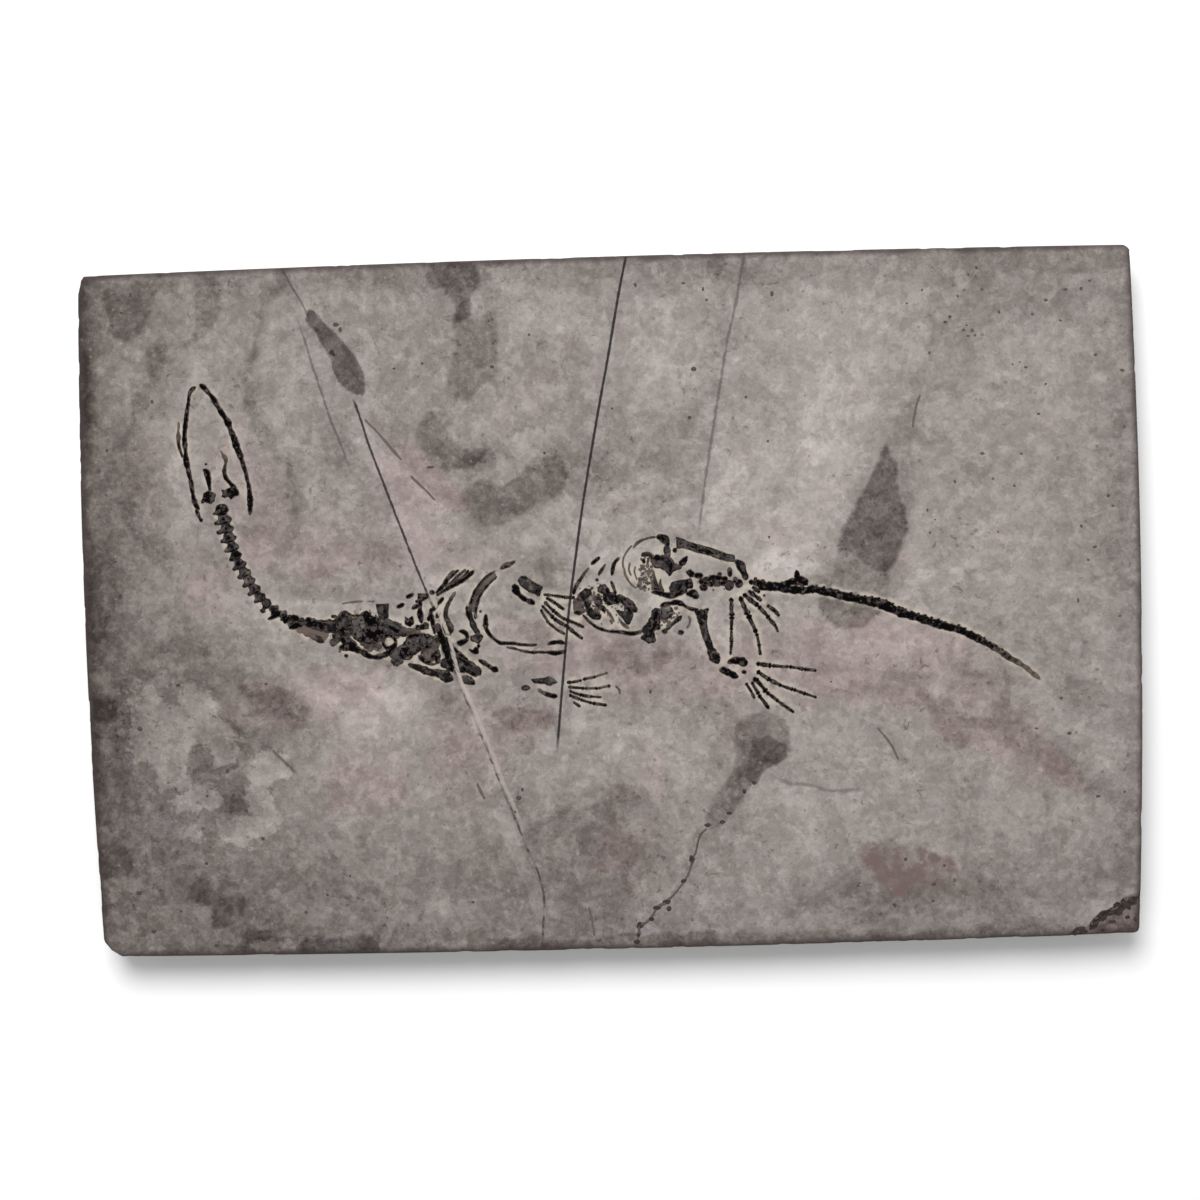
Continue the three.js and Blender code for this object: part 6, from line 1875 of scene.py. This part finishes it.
def add(tree, kind, sockets=None, **settings):
    """Adds a node. `sockets` names each input's plain value, or the output that is linked to it."""
    made = tree.nodes.new(kind)
    for name, value in settings.items():
        setattr(made, name, value)
    for key, value in (sockets or {}).items():
        if isinstance(value, bpy.types.NodeSocket):
            tree.links.new(value, made.inputs[key])
        else:
            made.inputs[key].default_value = value
    return made


def calc(tree, operation, a, b=0.0, c=0.0):
    """One Math node; gives its output."""
    return add(tree, "ShaderNodeMath", {0: a, 1: b, 2: c}, operation=operation).outputs[0]


def times(tree, a, b):
    """a * b"""
    return calc(tree, "MULTIPLY", a, b)


def minus(tree, a, b):
    """a - b"""
    return calc(tree, "SUBTRACT", a, b)


def times_plus(tree, a, b, c):
    """a * b + c"""
    return calc(tree, "MULTIPLY_ADD", a, b, c)


def ramp_between(tree, value, low, high, to_low=0.0, to_high=1.0):
    """A smooth step from `to_low` to `to_high` as the value goes from `low` to `high`."""
    sockets = {"Value": value, 1: low, 2: high, 3: to_low, 4: to_high}
    return add(tree, "ShaderNodeMapRange", sockets, interpolation_type="SMOOTHSTEP").outputs[0]


def mix(tree, share, under, over, blend="MIX"):
    """Colour `over` laid on colour `under` with that share."""
    sockets = {0: share, 6: under, 7: over}
    return add(tree, "ShaderNodeMix", sockets, data_type="RGBA", blend_type=blend).outputs[2]


def grain_of(tree, place, per_metre, detail=3.0, roughness=0.55, bend=0.0):
    """Noise Texture's height, about 0.5 in the middle, with that many features a metre."""
    sockets = {"Vector": place, "Scale": per_metre, "Detail": detail, "Roughness": roughness}
    sockets["Distortion"] = bend
    return add(tree, "ShaderNodeTexNoise", sockets).outputs[0]


def from_mesh(tree, name):
    """The mesh attribute of that name: its number, and its vector."""
    made = add(tree, "ShaderNodeAttribute", attribute_name=name)
    return made.outputs["Fac"], made.outputs["Vector"]


def parts_of(tree, vector):
    """A vector's three numbers."""
    return add(tree, "ShaderNodeSeparateXYZ", {0: vector}).outputs


def new_group(name, vectors=(), floats=(), colours=(), output=("Mask", "Float")):
    """An empty node group with these inputs and one output, and its inner ends."""
    group = bpy.data.node_groups.new(name, "ShaderNodeTree")
    for kind, labels in (("Vector", vectors), ("Float", floats), ("Color", colours)):
        for label in labels:
            group.interface.new_socket(label, in_out="INPUT", socket_type="NodeSocket" + kind)
    label, kind = output
    group.interface.new_socket(label, in_out="OUTPUT", socket_type="NodeSocket" + kind)
    return group, group.nodes.new("NodeGroupInput").outputs, group.nodes.new("NodeGroupOutput").inputs


def place_group(tree, group, sockets):
    """Puts a group in a material, with its own values; gives its outputs."""
    return add(tree, "ShaderNodeGroup", sockets, node_tree=group).outputs


print("mean stone colour, linear:", [round(c, 3) for c in paint(135, 128, 124)])

# %% [markdown]
# ### Blotched limestone
# One number from dark to light goes through a colour ramp. It is the hand-placed tone plus noise whose
# octaves are almost equally strong, because real stone is as mottled from near as from far. A second
# noise goes through a steep step, which gives patches with an edge to them, as flaking and damp leave.
# The tone itself is pulled towards even layers, like the thin beds that the face was split across.

# %% Group: blotched limestone
LAYERS = 15.0
DARKEST, LIGHTEST, GREY_STEP = 40, 200, 20
blotches, given, gives = new_group(
    "blotched limestone", ["Place"], ["Tone", "Warmth"], output=("Colour", "Color"),
)
blotches.interface.new_socket("Grain", in_out="OUTPUT", socket_type="NodeSocketFloat")
mottle = grain_of(blotches, given["Place"], 260, 6, .86)
patch = grain_of(blotches, given["Place"], 210, 5, .66, .3)
fine = grain_of(blotches, given["Place"], 1900, 2, .8)
edged = ramp_between(blotches, patch, .50, .53)
relief = minus(blotches, grain_of(blotches, given["Place"], 300, 3, .6, .5), .5)
value = times_plus(blotches, given["Tone"], .625, .625)
value = times_plus(blotches, relief, .24, value)
layers = times(blotches, value, LAYERS)
torn = ramp_between(blotches, calc(blotches, "FRACT", layers), .44, .56)
layers = calc(blotches, "DIVIDE", calc(blotches, "ADD", calc(blotches, "FLOOR", layers), torn), LAYERS)
value = times_plus(blotches, layers, .8, times(blotches, value, .2))
value = times_plus(blotches, minus(blotches, mottle, .5), .36, value)
value = times_plus(blotches, minus(blotches, edged, .4), .070, value)
busy = ramp_between(blotches, given["Tone"], -.45, .15, 1.5, .8)
for per_metre, low, high, depth in ((400, .49, .53, .055), (850, .48, .53, .045)):
    crumbs = grain_of(blotches, given["Place"], per_metre, 3, .6)
    crumbs = ramp_between(blotches, crumbs, low, high)
    crumbs = times(blotches, minus(blotches, crumbs, .5), busy)
    value = times_plus(blotches, crumbs, depth, value)
crowd = ramp_between(blotches, grain_of(blotches, given["Place"], 48, 3, .6), .46, .62, .15, 1.0)
flecks = ramp_between(blotches, grain_of(blotches, given["Place"], 560, 4, .66, .4), .60, .67)
value = times_plus(blotches, times(blotches, flecks, crowd), -.20, value)
value = times_plus(blotches, minus(blotches, fine, .5), .12, value)
shades = add(blotches, "ShaderNodeValToRGB", {0: value})
ramp = shades.color_ramp.elements
for level in range(DARKEST + GREY_STEP, LIGHTEST, GREY_STEP):
    ramp.new((level - DARKEST) / (LIGHTEST - DARKEST))
for level, element in zip(range(DARKEST, LIGHTEST + 1, GREY_STEP), ramp):
    element.color = paint(level + 6.9, level - .8, level - 6.1)
drift = minus(blotches, grain_of(blotches, given["Place"], 160, 4), .5)
drift = times_plus(blotches, drift, 1.6, times(blotches, given["Warmth"], .7))
pink = ramp_between(blotches, drift, -.2, 1.2)
violet = ramp_between(blotches, drift, -.2, -1.2)
colour = mix(blotches, pink, shades.outputs[0], (1.08, .945, .985, 1), "MULTIPLY")
colour = mix(blotches, violet, colour, (.97, .975, 1.07, 1), "MULTIPLY")
blotches.links.new(colour, gives["Colour"])
blotches.links.new(times_plus(blotches, mottle, .6, times(blotches, fine, .4)), gives["Grain"])
print("blotched limestone:", len(blotches.nodes), "nodes")

# %% [markdown]
# ### Seams, stains and specks
# A seam is where the signed distance to a crack is smaller than half its width, and noise nibbles at the
# width. A stain is where the distance into its loop is more than nothing. Specks sit in some of the
# cells of a Voronoi pattern, one in the middle of each, with sizes by chance.

# %% Groups: seam, stain, specks
seam, given, gives = new_group(
    "seam", ["Place"], ["Apart", "There", "Half width", "Soft", "Nibble", "Strength"]
)
nibble = minus(seam, grain_of(seam, given["Place"], 900, 3, .6), .5)
apart = calc(seam, "ABSOLUTE", given["Apart"])
apart = times_plus(seam, nibble, given["Nibble"], apart)
far = calc(seam, "ADD", given["Half width"], given["Soft"])
mask = ramp_between(seam, apart, given["Half width"], far, 1.0, 0.0)
mask = times(seam, times(seam, mask, given["There"]), given["Strength"])
seam.links.new(mask, gives["Mask"])

stain, given, gives = new_group("stain", ["Place"], ["Inside", "Soft", "Ragged", "Strength"])
ragged = minus(stain, grain_of(stain, given["Place"], 330, 5, .65), .5)
inside = times_plus(stain, ragged, given["Ragged"], given["Inside"])
mask = ramp_between(stain, inside, times(stain, given["Soft"], -1.0), given["Soft"])
stain.links.new(times(stain, mask, given["Strength"]), gives["Mask"])

specks, given, gives = new_group("specks", ["Place"], ["Per metre", "Share", "Size", "Strength"])
sockets = {"Vector": given["Place"], "Scale": given["Per metre"], "Randomness": 1.0}
cells = add(specks, "ShaderNodeTexVoronoi", sockets)
chance = parts_of(specks, cells.outputs["Color"])
chosen = calc(specks, "LESS_THAN", chance["X"], given["Share"])
frayed = minus(specks, grain_of(specks, given["Place"], 2200, 2, .6), .5)
apart = times_plus(specks, frayed, .30, cells.outputs["Distance"])
reach = times(specks, given["Size"], times_plus(specks, chance["Y"], .8, .4))
mask = ramp_between(specks, minus(specks, apart, reach), -.04, .04, 1.0, 0.0)
mask = times(specks, times(specks, mask, chosen), given["Strength"])
specks.links.new(mask, gives["Mask"])
print("groups so far:", [group.name for group in bpy.data.node_groups])

# %% [markdown]
# ### The cracks' own group
# The cracks run through stone and bone alike, so both materials lay them over their colour with one
# group. The straight crack is a dark hairline all the way. The slanting one is a dark hairline down to
# the ribs; from there dark crumbs lie along a strip of pale calcite. How far up the slab a point is
# gets read from Object coordinates, which are metres here.

# %% Group: cracks over a colour
CRACK_DARK = paint(34, 29, 30)
VEIN_PALE = paint(187, 178, 168)
VEIN_ASIDE = .75
FAINT_GREY = paint(84, 76, 73)
BRANCH_GREY = paint(84, 77, 75)
SCRATCH_BROWN = paint(84, 70, 66)
THREAD_GREY = paint(92, 85, 81)
cracks, given, gives = new_group(
    "cracks over a colour", ["Place"], colours=["Colour"], output=("Colour", "Color")
)
up_slab = parts_of(cracks, given["Place"])["Y"]
apart = parts_of(cracks, from_mesh(cracks, "cracks_apart")[1])
there = parts_of(cracks, from_mesh(cracks, "cracks_there")[1])
thread_apart = parts_of(cracks, from_mesh(cracks, "threads_apart")[1])
thread_there = parts_of(cracks, from_mesh(cracks, "threads_there")[1])


def lay_seam(under, over, apart, there, half, soft, nibble, strength):
    """Lays a seam's colour over another; gives the new colour."""
    sockets = {"Place": given["Place"], "Apart": apart, "There": there, "Half width": half}
    sockets |= {"Soft": soft, "Nibble": nibble, "Strength": strength}
    return mix(cracks, place_group(cracks, seam, sockets)[0], under, over)


above_ribs = ramp_between(cracks, up_slab, .0005, .0045)
bared_below = ramp_between(cracks, up_slab, .0415, .0435, 1.0, 0.0)
bared_above = ramp_between(cracks, up_slab, .057, .060, 0.0, .55)
bared = calc(cracks, "MAXIMUM", bared_below, bared_above)
pale_stretch = ramp_between(cracks, up_slab, -.046, -.040)
pale_stretch = times(cracks, minus(cracks, 1.0, above_ribs), pale_stretch)
pale_stretch = times(cracks, pale_stretch, ramp_between(cracks, up_slab, -.022, -.013, .6, 1.0))
crumbs = ramp_between(cracks, grain_of(cracks, given["Place"], 330, 3, .6), .44, .58, .25, .95)
dark_share = calc(
    cracks, "MAXIMUM", times(cracks, above_ribs, .92), times(cracks, crumbs, .8)
)
dark_share = times(cracks, dark_share, bared)
vein_apart = minus(cracks, apart["X"], VEIN_ASIDE)
colour = lay_seam(given["Colour"], VEIN_PALE, vein_apart, pale_stretch, .22, .24, .5, .85)
for over, distances, presences, axis, *looks in (
    (CRACK_DARK, apart, there, "X", .12, .22, .45, dark_share),
    (CRACK_DARK, apart, there, "Y", .17, .18, .25, .96),
    (FAINT_GREY, apart, there, "Z", .12, .30, .9, .62),
    (BRANCH_GREY, thread_apart, thread_there, "X", .08, .25, .8, .7),
    (SCRATCH_BROWN, thread_apart, thread_there, "Y", .12, .30, .3, .75),
    (THREAD_GREY, thread_apart, thread_there, "Z", .15, .35, 1.2, .5),
):
    colour = lay_seam(colour, over, distances[axis], presences[axis], *looks)
cracks.links.new(colour, gives["Colour"])
print("cracks over a colour:", len(cracks.nodes), "nodes")

# %% [markdown]
# ## Stone
# The stone's material stacks these: blotches first, then flakes, stains and the creamy gaps between
# bones, then cracks and specks, and last a dark band along the sawn rim, partly grime and partly painted
# shade of the rounded edge. The sawn sides and the underside show the rock's even beds instead, as
# level bands without the stains of the face.

# %% Helpers for a finish


def new_finish(name):
    """An empty material: itself, its tree, its shader, and the place on the object in metres."""
    finish = bpy.data.materials.new(name)
    finish.use_nodes = True
    tree = finish.node_tree
    place = add(tree, "ShaderNodeTexCoord").outputs["Object"]
    return finish, tree, tree.nodes["Principled BSDF"], place


def connect(tree, shader, colour, roughness, relief, depth, strength, gloss):
    """Joins a finish's colour, roughness, relief (with its depth in metres) and gloss to its shader."""
    bump = add(tree, "ShaderNodeBump", {"Strength": strength, "Distance": depth, "Height": relief})
    tree.links.new(colour, shader.inputs["Base Color"])
    tree.links.new(roughness, shader.inputs["Roughness"])
    tree.links.new(bump.outputs[0], shader.inputs["Normal"])
    shader.inputs["Specular IOR Level"].default_value = gloss


def stained(inside, soft, ragged, strength=1.0):
    """The mask of one stain, from the distance into its loop."""
    sockets = {"Place": place, "Inside": inside, "Soft": soft, "Ragged": ragged, "Strength": strength}
    return place_group(tree, stain, sockets)[0]


def speckled(per_metre, share, size, strength):
    """The mask of scattered specks: how many cells a metre, and what share of them holds one."""
    sockets = {"Place": place, "Per metre": per_metre, "Share": share, "Size": size}
    return place_group(tree, specks, sockets | {"Strength": strength})[0]


print("materials so far:", [made.name for made in bpy.data.materials])

# %% Stone: what it reads
stone_finish, tree, shader, place = new_finish("split limestone")
tone, warm, cut, rim, bone_close, bone_around = (
    from_mesh(tree, name)[0] for name in ("tone", "warm", "cut", "rim", "bone_close", "bone_around")
)
marks, stains, skins = (parts_of(tree, from_mesh(tree, name)[1]) for name in ("marks", "stains", "skins"))
read = [node.attribute_name for node in tree.nodes if node.type == "ATTRIBUTE"]
print("the stone reads", read)

# %% Stone: base and flakes
ROCK_BEDS = (14, 14, 620)
lens_mask = stained(stains["X"], .30, 1.8)
spear_mask = stained(stains["Y"], .60, 2.6)
drop_mask = stained(stains["Z"], .55, 2.6)
drop_core = stained(marks["Y"], .40, 2.0)
wedge_mask = stained(marks["X"], .35, 1.5)
drop_depth = ramp_between(tree, parts_of(tree, place)["Y"], -.039, -.032, -.12, -.28)
for mask, depth in (
    (stained(skins["X"], .14, 9.0), .26), (wedge_mask, .11),
    (ramp_between(tree, bone_around, .01, .20), .08), (stained(marks["Z"], .25, 1.6), .14),
    (lens_mask, -.52), (spear_mask, -.50), (drop_mask, drop_depth), (drop_core, -.34),
):
    tone = times_plus(tree, mask, depth, tone)
for mask, depth in ((drop_core, -.8), (spear_mask, -.9), (lens_mask, -.9), (wedge_mask, .25)):
    warm = times_plus(tree, mask, depth, warm)
beds = add(tree, "ShaderNodeVectorMath", {0: place, 1: ROCK_BEDS}, operation="MULTIPLY").outputs[0]
beds = times_plus(tree, grain_of(tree, beds, 1, 3, .6), .50, -.38)
tone = times_plus(tree, minus(tree, beds, tone), cut, tone)
base = place_group(tree, blotches, {"Place": place, "Tone": tone, "Warmth": warm})
print("the base colour comes out as", base["Colour"].type)

# %% Stone: cream, red patch, cracks, corner
CREAM, RED = paint(200, 190, 174), paint(117, 98, 94)
CORNER_DARK, CORNER_PALE = paint(80, 67, 64), paint(126, 111, 106)
cream_noise = ramp_between(tree, grain_of(tree, place, 420, 3, .6), .34, .58)
creamy = times(tree, ramp_between(tree, bone_close, .12, .46), cream_noise)
colour = mix(tree, times(tree, creamy, .80), base["Colour"], CREAM)
red_noise = ramp_between(tree, grain_of(tree, place, 330, 4, .7), .36, .62, .35, .95)
red_mask = times(tree, stained(skins["Y"], 1.1, 5.0), red_noise)
colour = mix(tree, red_mask, colour, RED)
colour = place_group(tree, cracks, {"Place": place, "Colour": colour})["Colour"]
corner_noise = ramp_between(tree, grain_of(tree, place, 420, 4, .7), .38, .62)
corner_colour = mix(tree, corner_noise, CORNER_DARK, CORNER_PALE)
colour = mix(tree, stained(skins["Z"], .25, 2.2, .95), colour, corner_colour)
print("nodes so far:", len(tree.nodes))

# %% Stone: specks, grime with painted rim shade, sides
GRIME_AND_RIM_SHADE, SAWN = paint(64, 54, 53), paint(118, 112, 108)
colour = mix(tree, speckled(400, .28, .13, .45), colour, paint(76, 68, 64))
colour = mix(tree, speckled(620, .25, .20, .22), colour, paint(188, 181, 172))
# A dark band about a millimetre wide along the rim: partly grime, partly painted shade of the rounded sawn
# edge.
rim_noise = times(tree, grain_of(tree, place, 220, 4, .6), 1.4)
grime_and_rim_shade = ramp_between(tree, calc(tree, "ADD", rim_noise, rim), .80, 2.3, .80, 0.0)
colour = mix(tree, grime_and_rim_shade, colour, GRIME_AND_RIM_SHADE)
colour = mix(tree, cut, colour, mix(tree, .45, base["Colour"], SAWN))
stone_roughness = ramp_between(tree, base["Grain"], .35, .65, .78, .95)
connect(tree, shader, colour, stone_roughness, base["Grain"], 0.00010, 0.55, 0.3)
stone.data.materials.append(stone_finish)
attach(stone, "root")
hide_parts("slab")
print("split limestone:", len(tree.nodes), "nodes")

# %% [markdown]
# ### Mineral crust's finish
# Manganese and iron oxides dry to a matt brown-black, patchy where the film is thin.

# %% Crust material
crust_finish, tree, shader, place = new_finish("dark mineral crust")
film = grain_of(tree, place, 1300, 3, .65)
faint = parts_of(tree, from_mesh(tree, "surface")[1])["Y"]
colour = mix(tree, ramp_between(tree, film, .36, .64), paint(34, 27, 27), paint(74, 62, 58))
colour = mix(tree, times(tree, faint, .85), colour, paint(112, 99, 93))
crust_roughness = ramp_between(tree, film, .35, .65, .70, .92)
connect(tree, shader, colour, crust_roughness, film, 0.00006, 0.5, 0.25)
print("dark mineral crust:", len(tree.nodes), "nodes")

# %% [markdown]
# ## Bone
# Fossil bone here is nearly black, with a violet-brown cast, slightly glossy, and cracked. Where a bone
# is broad its crest is worn to charcoal grey and only its rim stays black. Thin ends fade to brown, and
# crumbs of stone stick in the pits.

# %% Bone material
bone_finish, tree, shader, place = new_finish("black fossil bone")
surface = parts_of(tree, from_mesh(tree, "surface")[1])
inward, grey, faded = surface["X"], surface["Y"], surface["Z"]
lumps = grain_of(tree, place, 760, 4, .55)
browned = ramp_between(tree, times_plus(tree, grey, .06, lumps), .53, .63)
browned = times(tree, browned, ramp_between(tree, inward, .05, .22))
black = mix(tree, browned, paint(7, 5, 6), paint(78, 67, 69))
worn = ramp_between(tree, inward, .16, .46)
blotched = ramp_between(tree, grain_of(tree, place, 520, 3, .6), .38, .56)
worn = times(tree, worn, times(tree, grey, blotched))
colour = mix(tree, worn, black, paint(93, 89, 87))
colour = mix(tree, speckled(900, .35, .22, .35), colour, paint(120, 111, 104))
stuck = ramp_between(tree, grain_of(tree, place, 620, 4, .68), .55, .66)
stuck = times(tree, stuck, times_plus(tree, grey, .45, .12))
colour = mix(tree, stuck, colour, paint(150, 141, 128))
print("bone so far:", len(tree.nodes), "nodes")

# %% Bone: thin ends, feet, relief
thin = times_plus(tree, minus(tree, lumps, .5), .9, faded)
colour = mix(tree, ramp_between(tree, thin, .15, .95), colour, paint(108, 95, 88))
foot = minus(tree, grain_of(tree, place, 1500, 3, .6), .5)
foot = ramp_between(tree, times_plus(tree, foot, .30, inward), .0, .23, .80, 0.0)
colour = mix(tree, foot, colour, paint(112, 101, 95))
colour = place_group(tree, cracks, {"Place": place, "Colour": colour})["Colour"]
relief = times_plus(tree, grain_of(tree, place, 3600, 3, .6), .4, lumps)
bone_roughness = ramp_between(tree, lumps, .35, .65, .62, .88)
connect(tree, shader, colour, bone_roughness, relief, 0.00010, 0.6, 0.02)
print("black fossil bone:", len(tree.nodes), "nodes")

# %% [markdown]
# ## Raising the bones
# A stroke becomes a flattened tube: a ring of points is carried along the line, and its ends draw in to
# a rounded tip. An outline becomes a low dome: its loop is drawn in towards a short line down its
# middle, ring by ring. Both follow the stone's height and sink a little way into it, so there is no gap
# under them.

# %% Stroke to tube
AROUND = 12
SUNK = 0.22
FLATNESS = 2.6


def lump(x, y, share):
    """A factor near 1 that makes a surface uneven by that share."""
    return 1 + share * (.65 * noise(x, y, .9, 70) + .35 * noise(x, y, .4, 75))


def closed_rings(x, y, rise, inward, grey, faded):
    """Vertices, faces and surface numbers of rings, one a row, joined up and closed at both ends."""
    rings, around = x.shape
    vertices = np.stack([x, y, rise], axis=-1).reshape(-1, 3)
    faces = quads_between(rings, around)[:, ::-1].tolist()
    faces.append(list(range(around))[::-1])
    faces.append(list(range((rings - 1) * around, rings * around)))
    numbers = np.stack(np.broadcast_arrays(inward, grey, faded), axis=-1).reshape(-1, 3)
    return vertices, faces, numbers


def raised_stroke(shape):
    """Vertices, faces and surface numbers of a stroke. The section is a superellipse: across is
    w |cos a|^(2/n) / 2 and up is h |sin a|^(2/n), with n the flatness; below the stone it is an arc."""
    line = shape["line"]
    cx, cy, wide = line.T
    travelled = travelled_along(line)
    from_end = np.minimum(travelled, travelled[-1] - travelled)
    into = np.clip(from_end / np.maximum(.8 * wide, .12), 0, 1)
    tip = np.sqrt(np.clip(1 - (1 - into) ** 2, .03, 1))
    ahead = unit(np.gradient(line[:, :2], axis=0))
    aside = np.stack([-ahead[:, 1], ahead[:, 0]], axis=1)
    half = wide / 2 * tip * (1 + .20 * noise(cx, cy, 1.1, 81) + .18 * noise(cx, cy, .5, 85))
    wander = .06 * noise(cx, cy, 1.2, 83)

    a = angles(AROUND)
    across = np.sign(np.cos(a)) * np.abs(np.cos(a)) ** (2 / FLATNESS)
    up = np.where(np.sin(a) > 0, np.abs(np.sin(a)) ** (2 / FLATNESS), 0)
    down = np.where(np.sin(a) < 0, -np.sin(a), 0)
    offset = across[None, :] * half[:, None] + wander[:, None]
    x = line[:, 0:1] + aside[:, 0:1] * offset
    y = line[:, 1:2] + aside[:, 1:2] * offset
    share = travelled / travelled[-1]
    faded = shape["fade"][0] * (1 - share) ** 1.5 + shape["fade"][1] * share**1.5
    high = shape["high"] * np.minimum(1, .45 + .75 * wide) * (1 - .6 * faded) * np.sqrt(tip)
    rise = up[None, :] * high[:, None] * lump(x, y, .22) - SUNK * down[None, :]
    inward = half[:, None] * (1 - np.abs(across))
    return closed_rings(x, y, rise, inward, shape["grey"], faded[:, None])


trial = raised_stroke(plan["jaw_left"][0])
print("left jaw:", len(trial[0]), "vertices,", len(trial[1]), "faces")

# %% Outline to dome
MANY_RINGS = np.array([1, .95, .87, .76, .62, .44, .22])
FEW_RINGS = np.array([1, .85, .5])
FLANK, FLANK_SHARE = 0.16, 0.03
SMALL_LOOP = 14


def raised_outline(shape):
    """Vertices, faces and surface numbers of an outline. A ring at share s is drawn in towards the
    nearest point of a middle line to s of its distance, and stands h (1 - s^n)^(1/n) high."""
    loop = shape["line"]
    before = np.roll(loop, 1, 0)
    if ((loop - before)[:, 0] * (loop + before)[:, 1]).sum() >= 0:
        loop = loop[::-1]
    ahead = unit(np.roll(loop, -1, 0) - np.roll(loop, 1, 0))
    ragged = shape["ragged"] * (noise(*loop.T, .8, 90) + .6 * noise(*loop.T, .35, 92))
    ragged += min(FLANK, FLANK_SHARE * lengths(loop - np.roll(loop, 1, 0)).sum())
    loop = loop + np.stack([ahead[:, 1], -ahead[:, 0]], axis=1) * ragged[:, None]
    middle = loop.mean(axis=0)
    spread, directions = np.linalg.eigh(np.cov((loop - middle).T))
    spread = np.maximum(spread, 0)
    reach = np.clip(1.25 * (np.sqrt(spread[1]) - np.sqrt(spread[0])), 0, None)
    along = np.clip((loop - middle) @ directions[:, 1], -reach, reach)[:, None]
    towards = middle + along * directions[:, 1]
    shares = MANY_RINGS if len(loop) > SMALL_LOOP else FEW_RINGS
    flat = towards + shares[:, None, None] * (loop - towards)
    x, y = flat[..., 0], flat[..., 1]
    rise = shape["high"] * np.clip(1 - shares**FLATNESS, 0, 1) ** (1 / FLATNESS)
    rise = rise[:, None] * lump(x, y, .20)
    x, y = np.vstack([x[:1], x]), np.vstack([y[:1], y])
    rise = np.vstack([np.full((1, len(loop)), -SUNK), rise])
    inward = (1 - np.concatenate([[1], shares])[:, None]) * lengths(loop - towards)
    return closed_rings(x, y, rise, inward, shape["grey"], shape["fade"][0])


trial = raised_outline(plan["femur_upper"][0])
print("upper thigh bone:", len(trial[0]), "vertices,", len(trial[1]), "faces")

# %% [markdown]
# ## Every bone in its place
# One loop goes through the plan. A piece's shapes become one mesh, set on the stone's height, with the
# numbers that the bone material reads, and it stands for its solid in the frame.

# %% Raise the plan
MAKERS = {"stroke": raised_stroke, "outline": raised_outline}
all_triangles = 0
for piece, shapes in plan.items():
    vertices, faces, numbers = np.zeros((0, 3)), [], []
    for shape in shapes:
        made, made_faces, made_numbers = MAKERS[shape["kind"]](shape)
        faces += [[v + len(vertices) for v in face] for face in made_faces]
        vertices = np.vstack([vertices, made])
        numbers.append(made_numbers)
    px, py = vertices[:, 0], vertices[:, 1]
    seams = seams_at(px, py)
    vertices[:, 2] = np.minimum(vertices[:, 2] + stone_height(px, py, seams), cad_high.z / MM)
    crust = piece.startswith("crust")
    bone = mesh_from(piece if crust else piece + "_bone", vertices, faces)
    write_attribute(bone.data, "surface", np.vstack(numbers))
    write_seams(bone.data, seams)
    bone.data.materials.append(crust_finish if crust else bone_finish)
    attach(bone, "root")
    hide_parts(solid_of(piece))
    all_triangles += sum(len(p.vertices) - 2 for p in bone.data.polygons)
print(len(plan), "bone pieces with", all_triangles, "triangles in all")

# %% [markdown]
# ## The size of the finished piece
# The box of everything shown, without the floor, is printed in mm. The finished piece
# has to keep the frame's box.

# %% Size
low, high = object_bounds()
print("visual box, mm:", [round(v / MM, 2) for v in (*low, *high)])
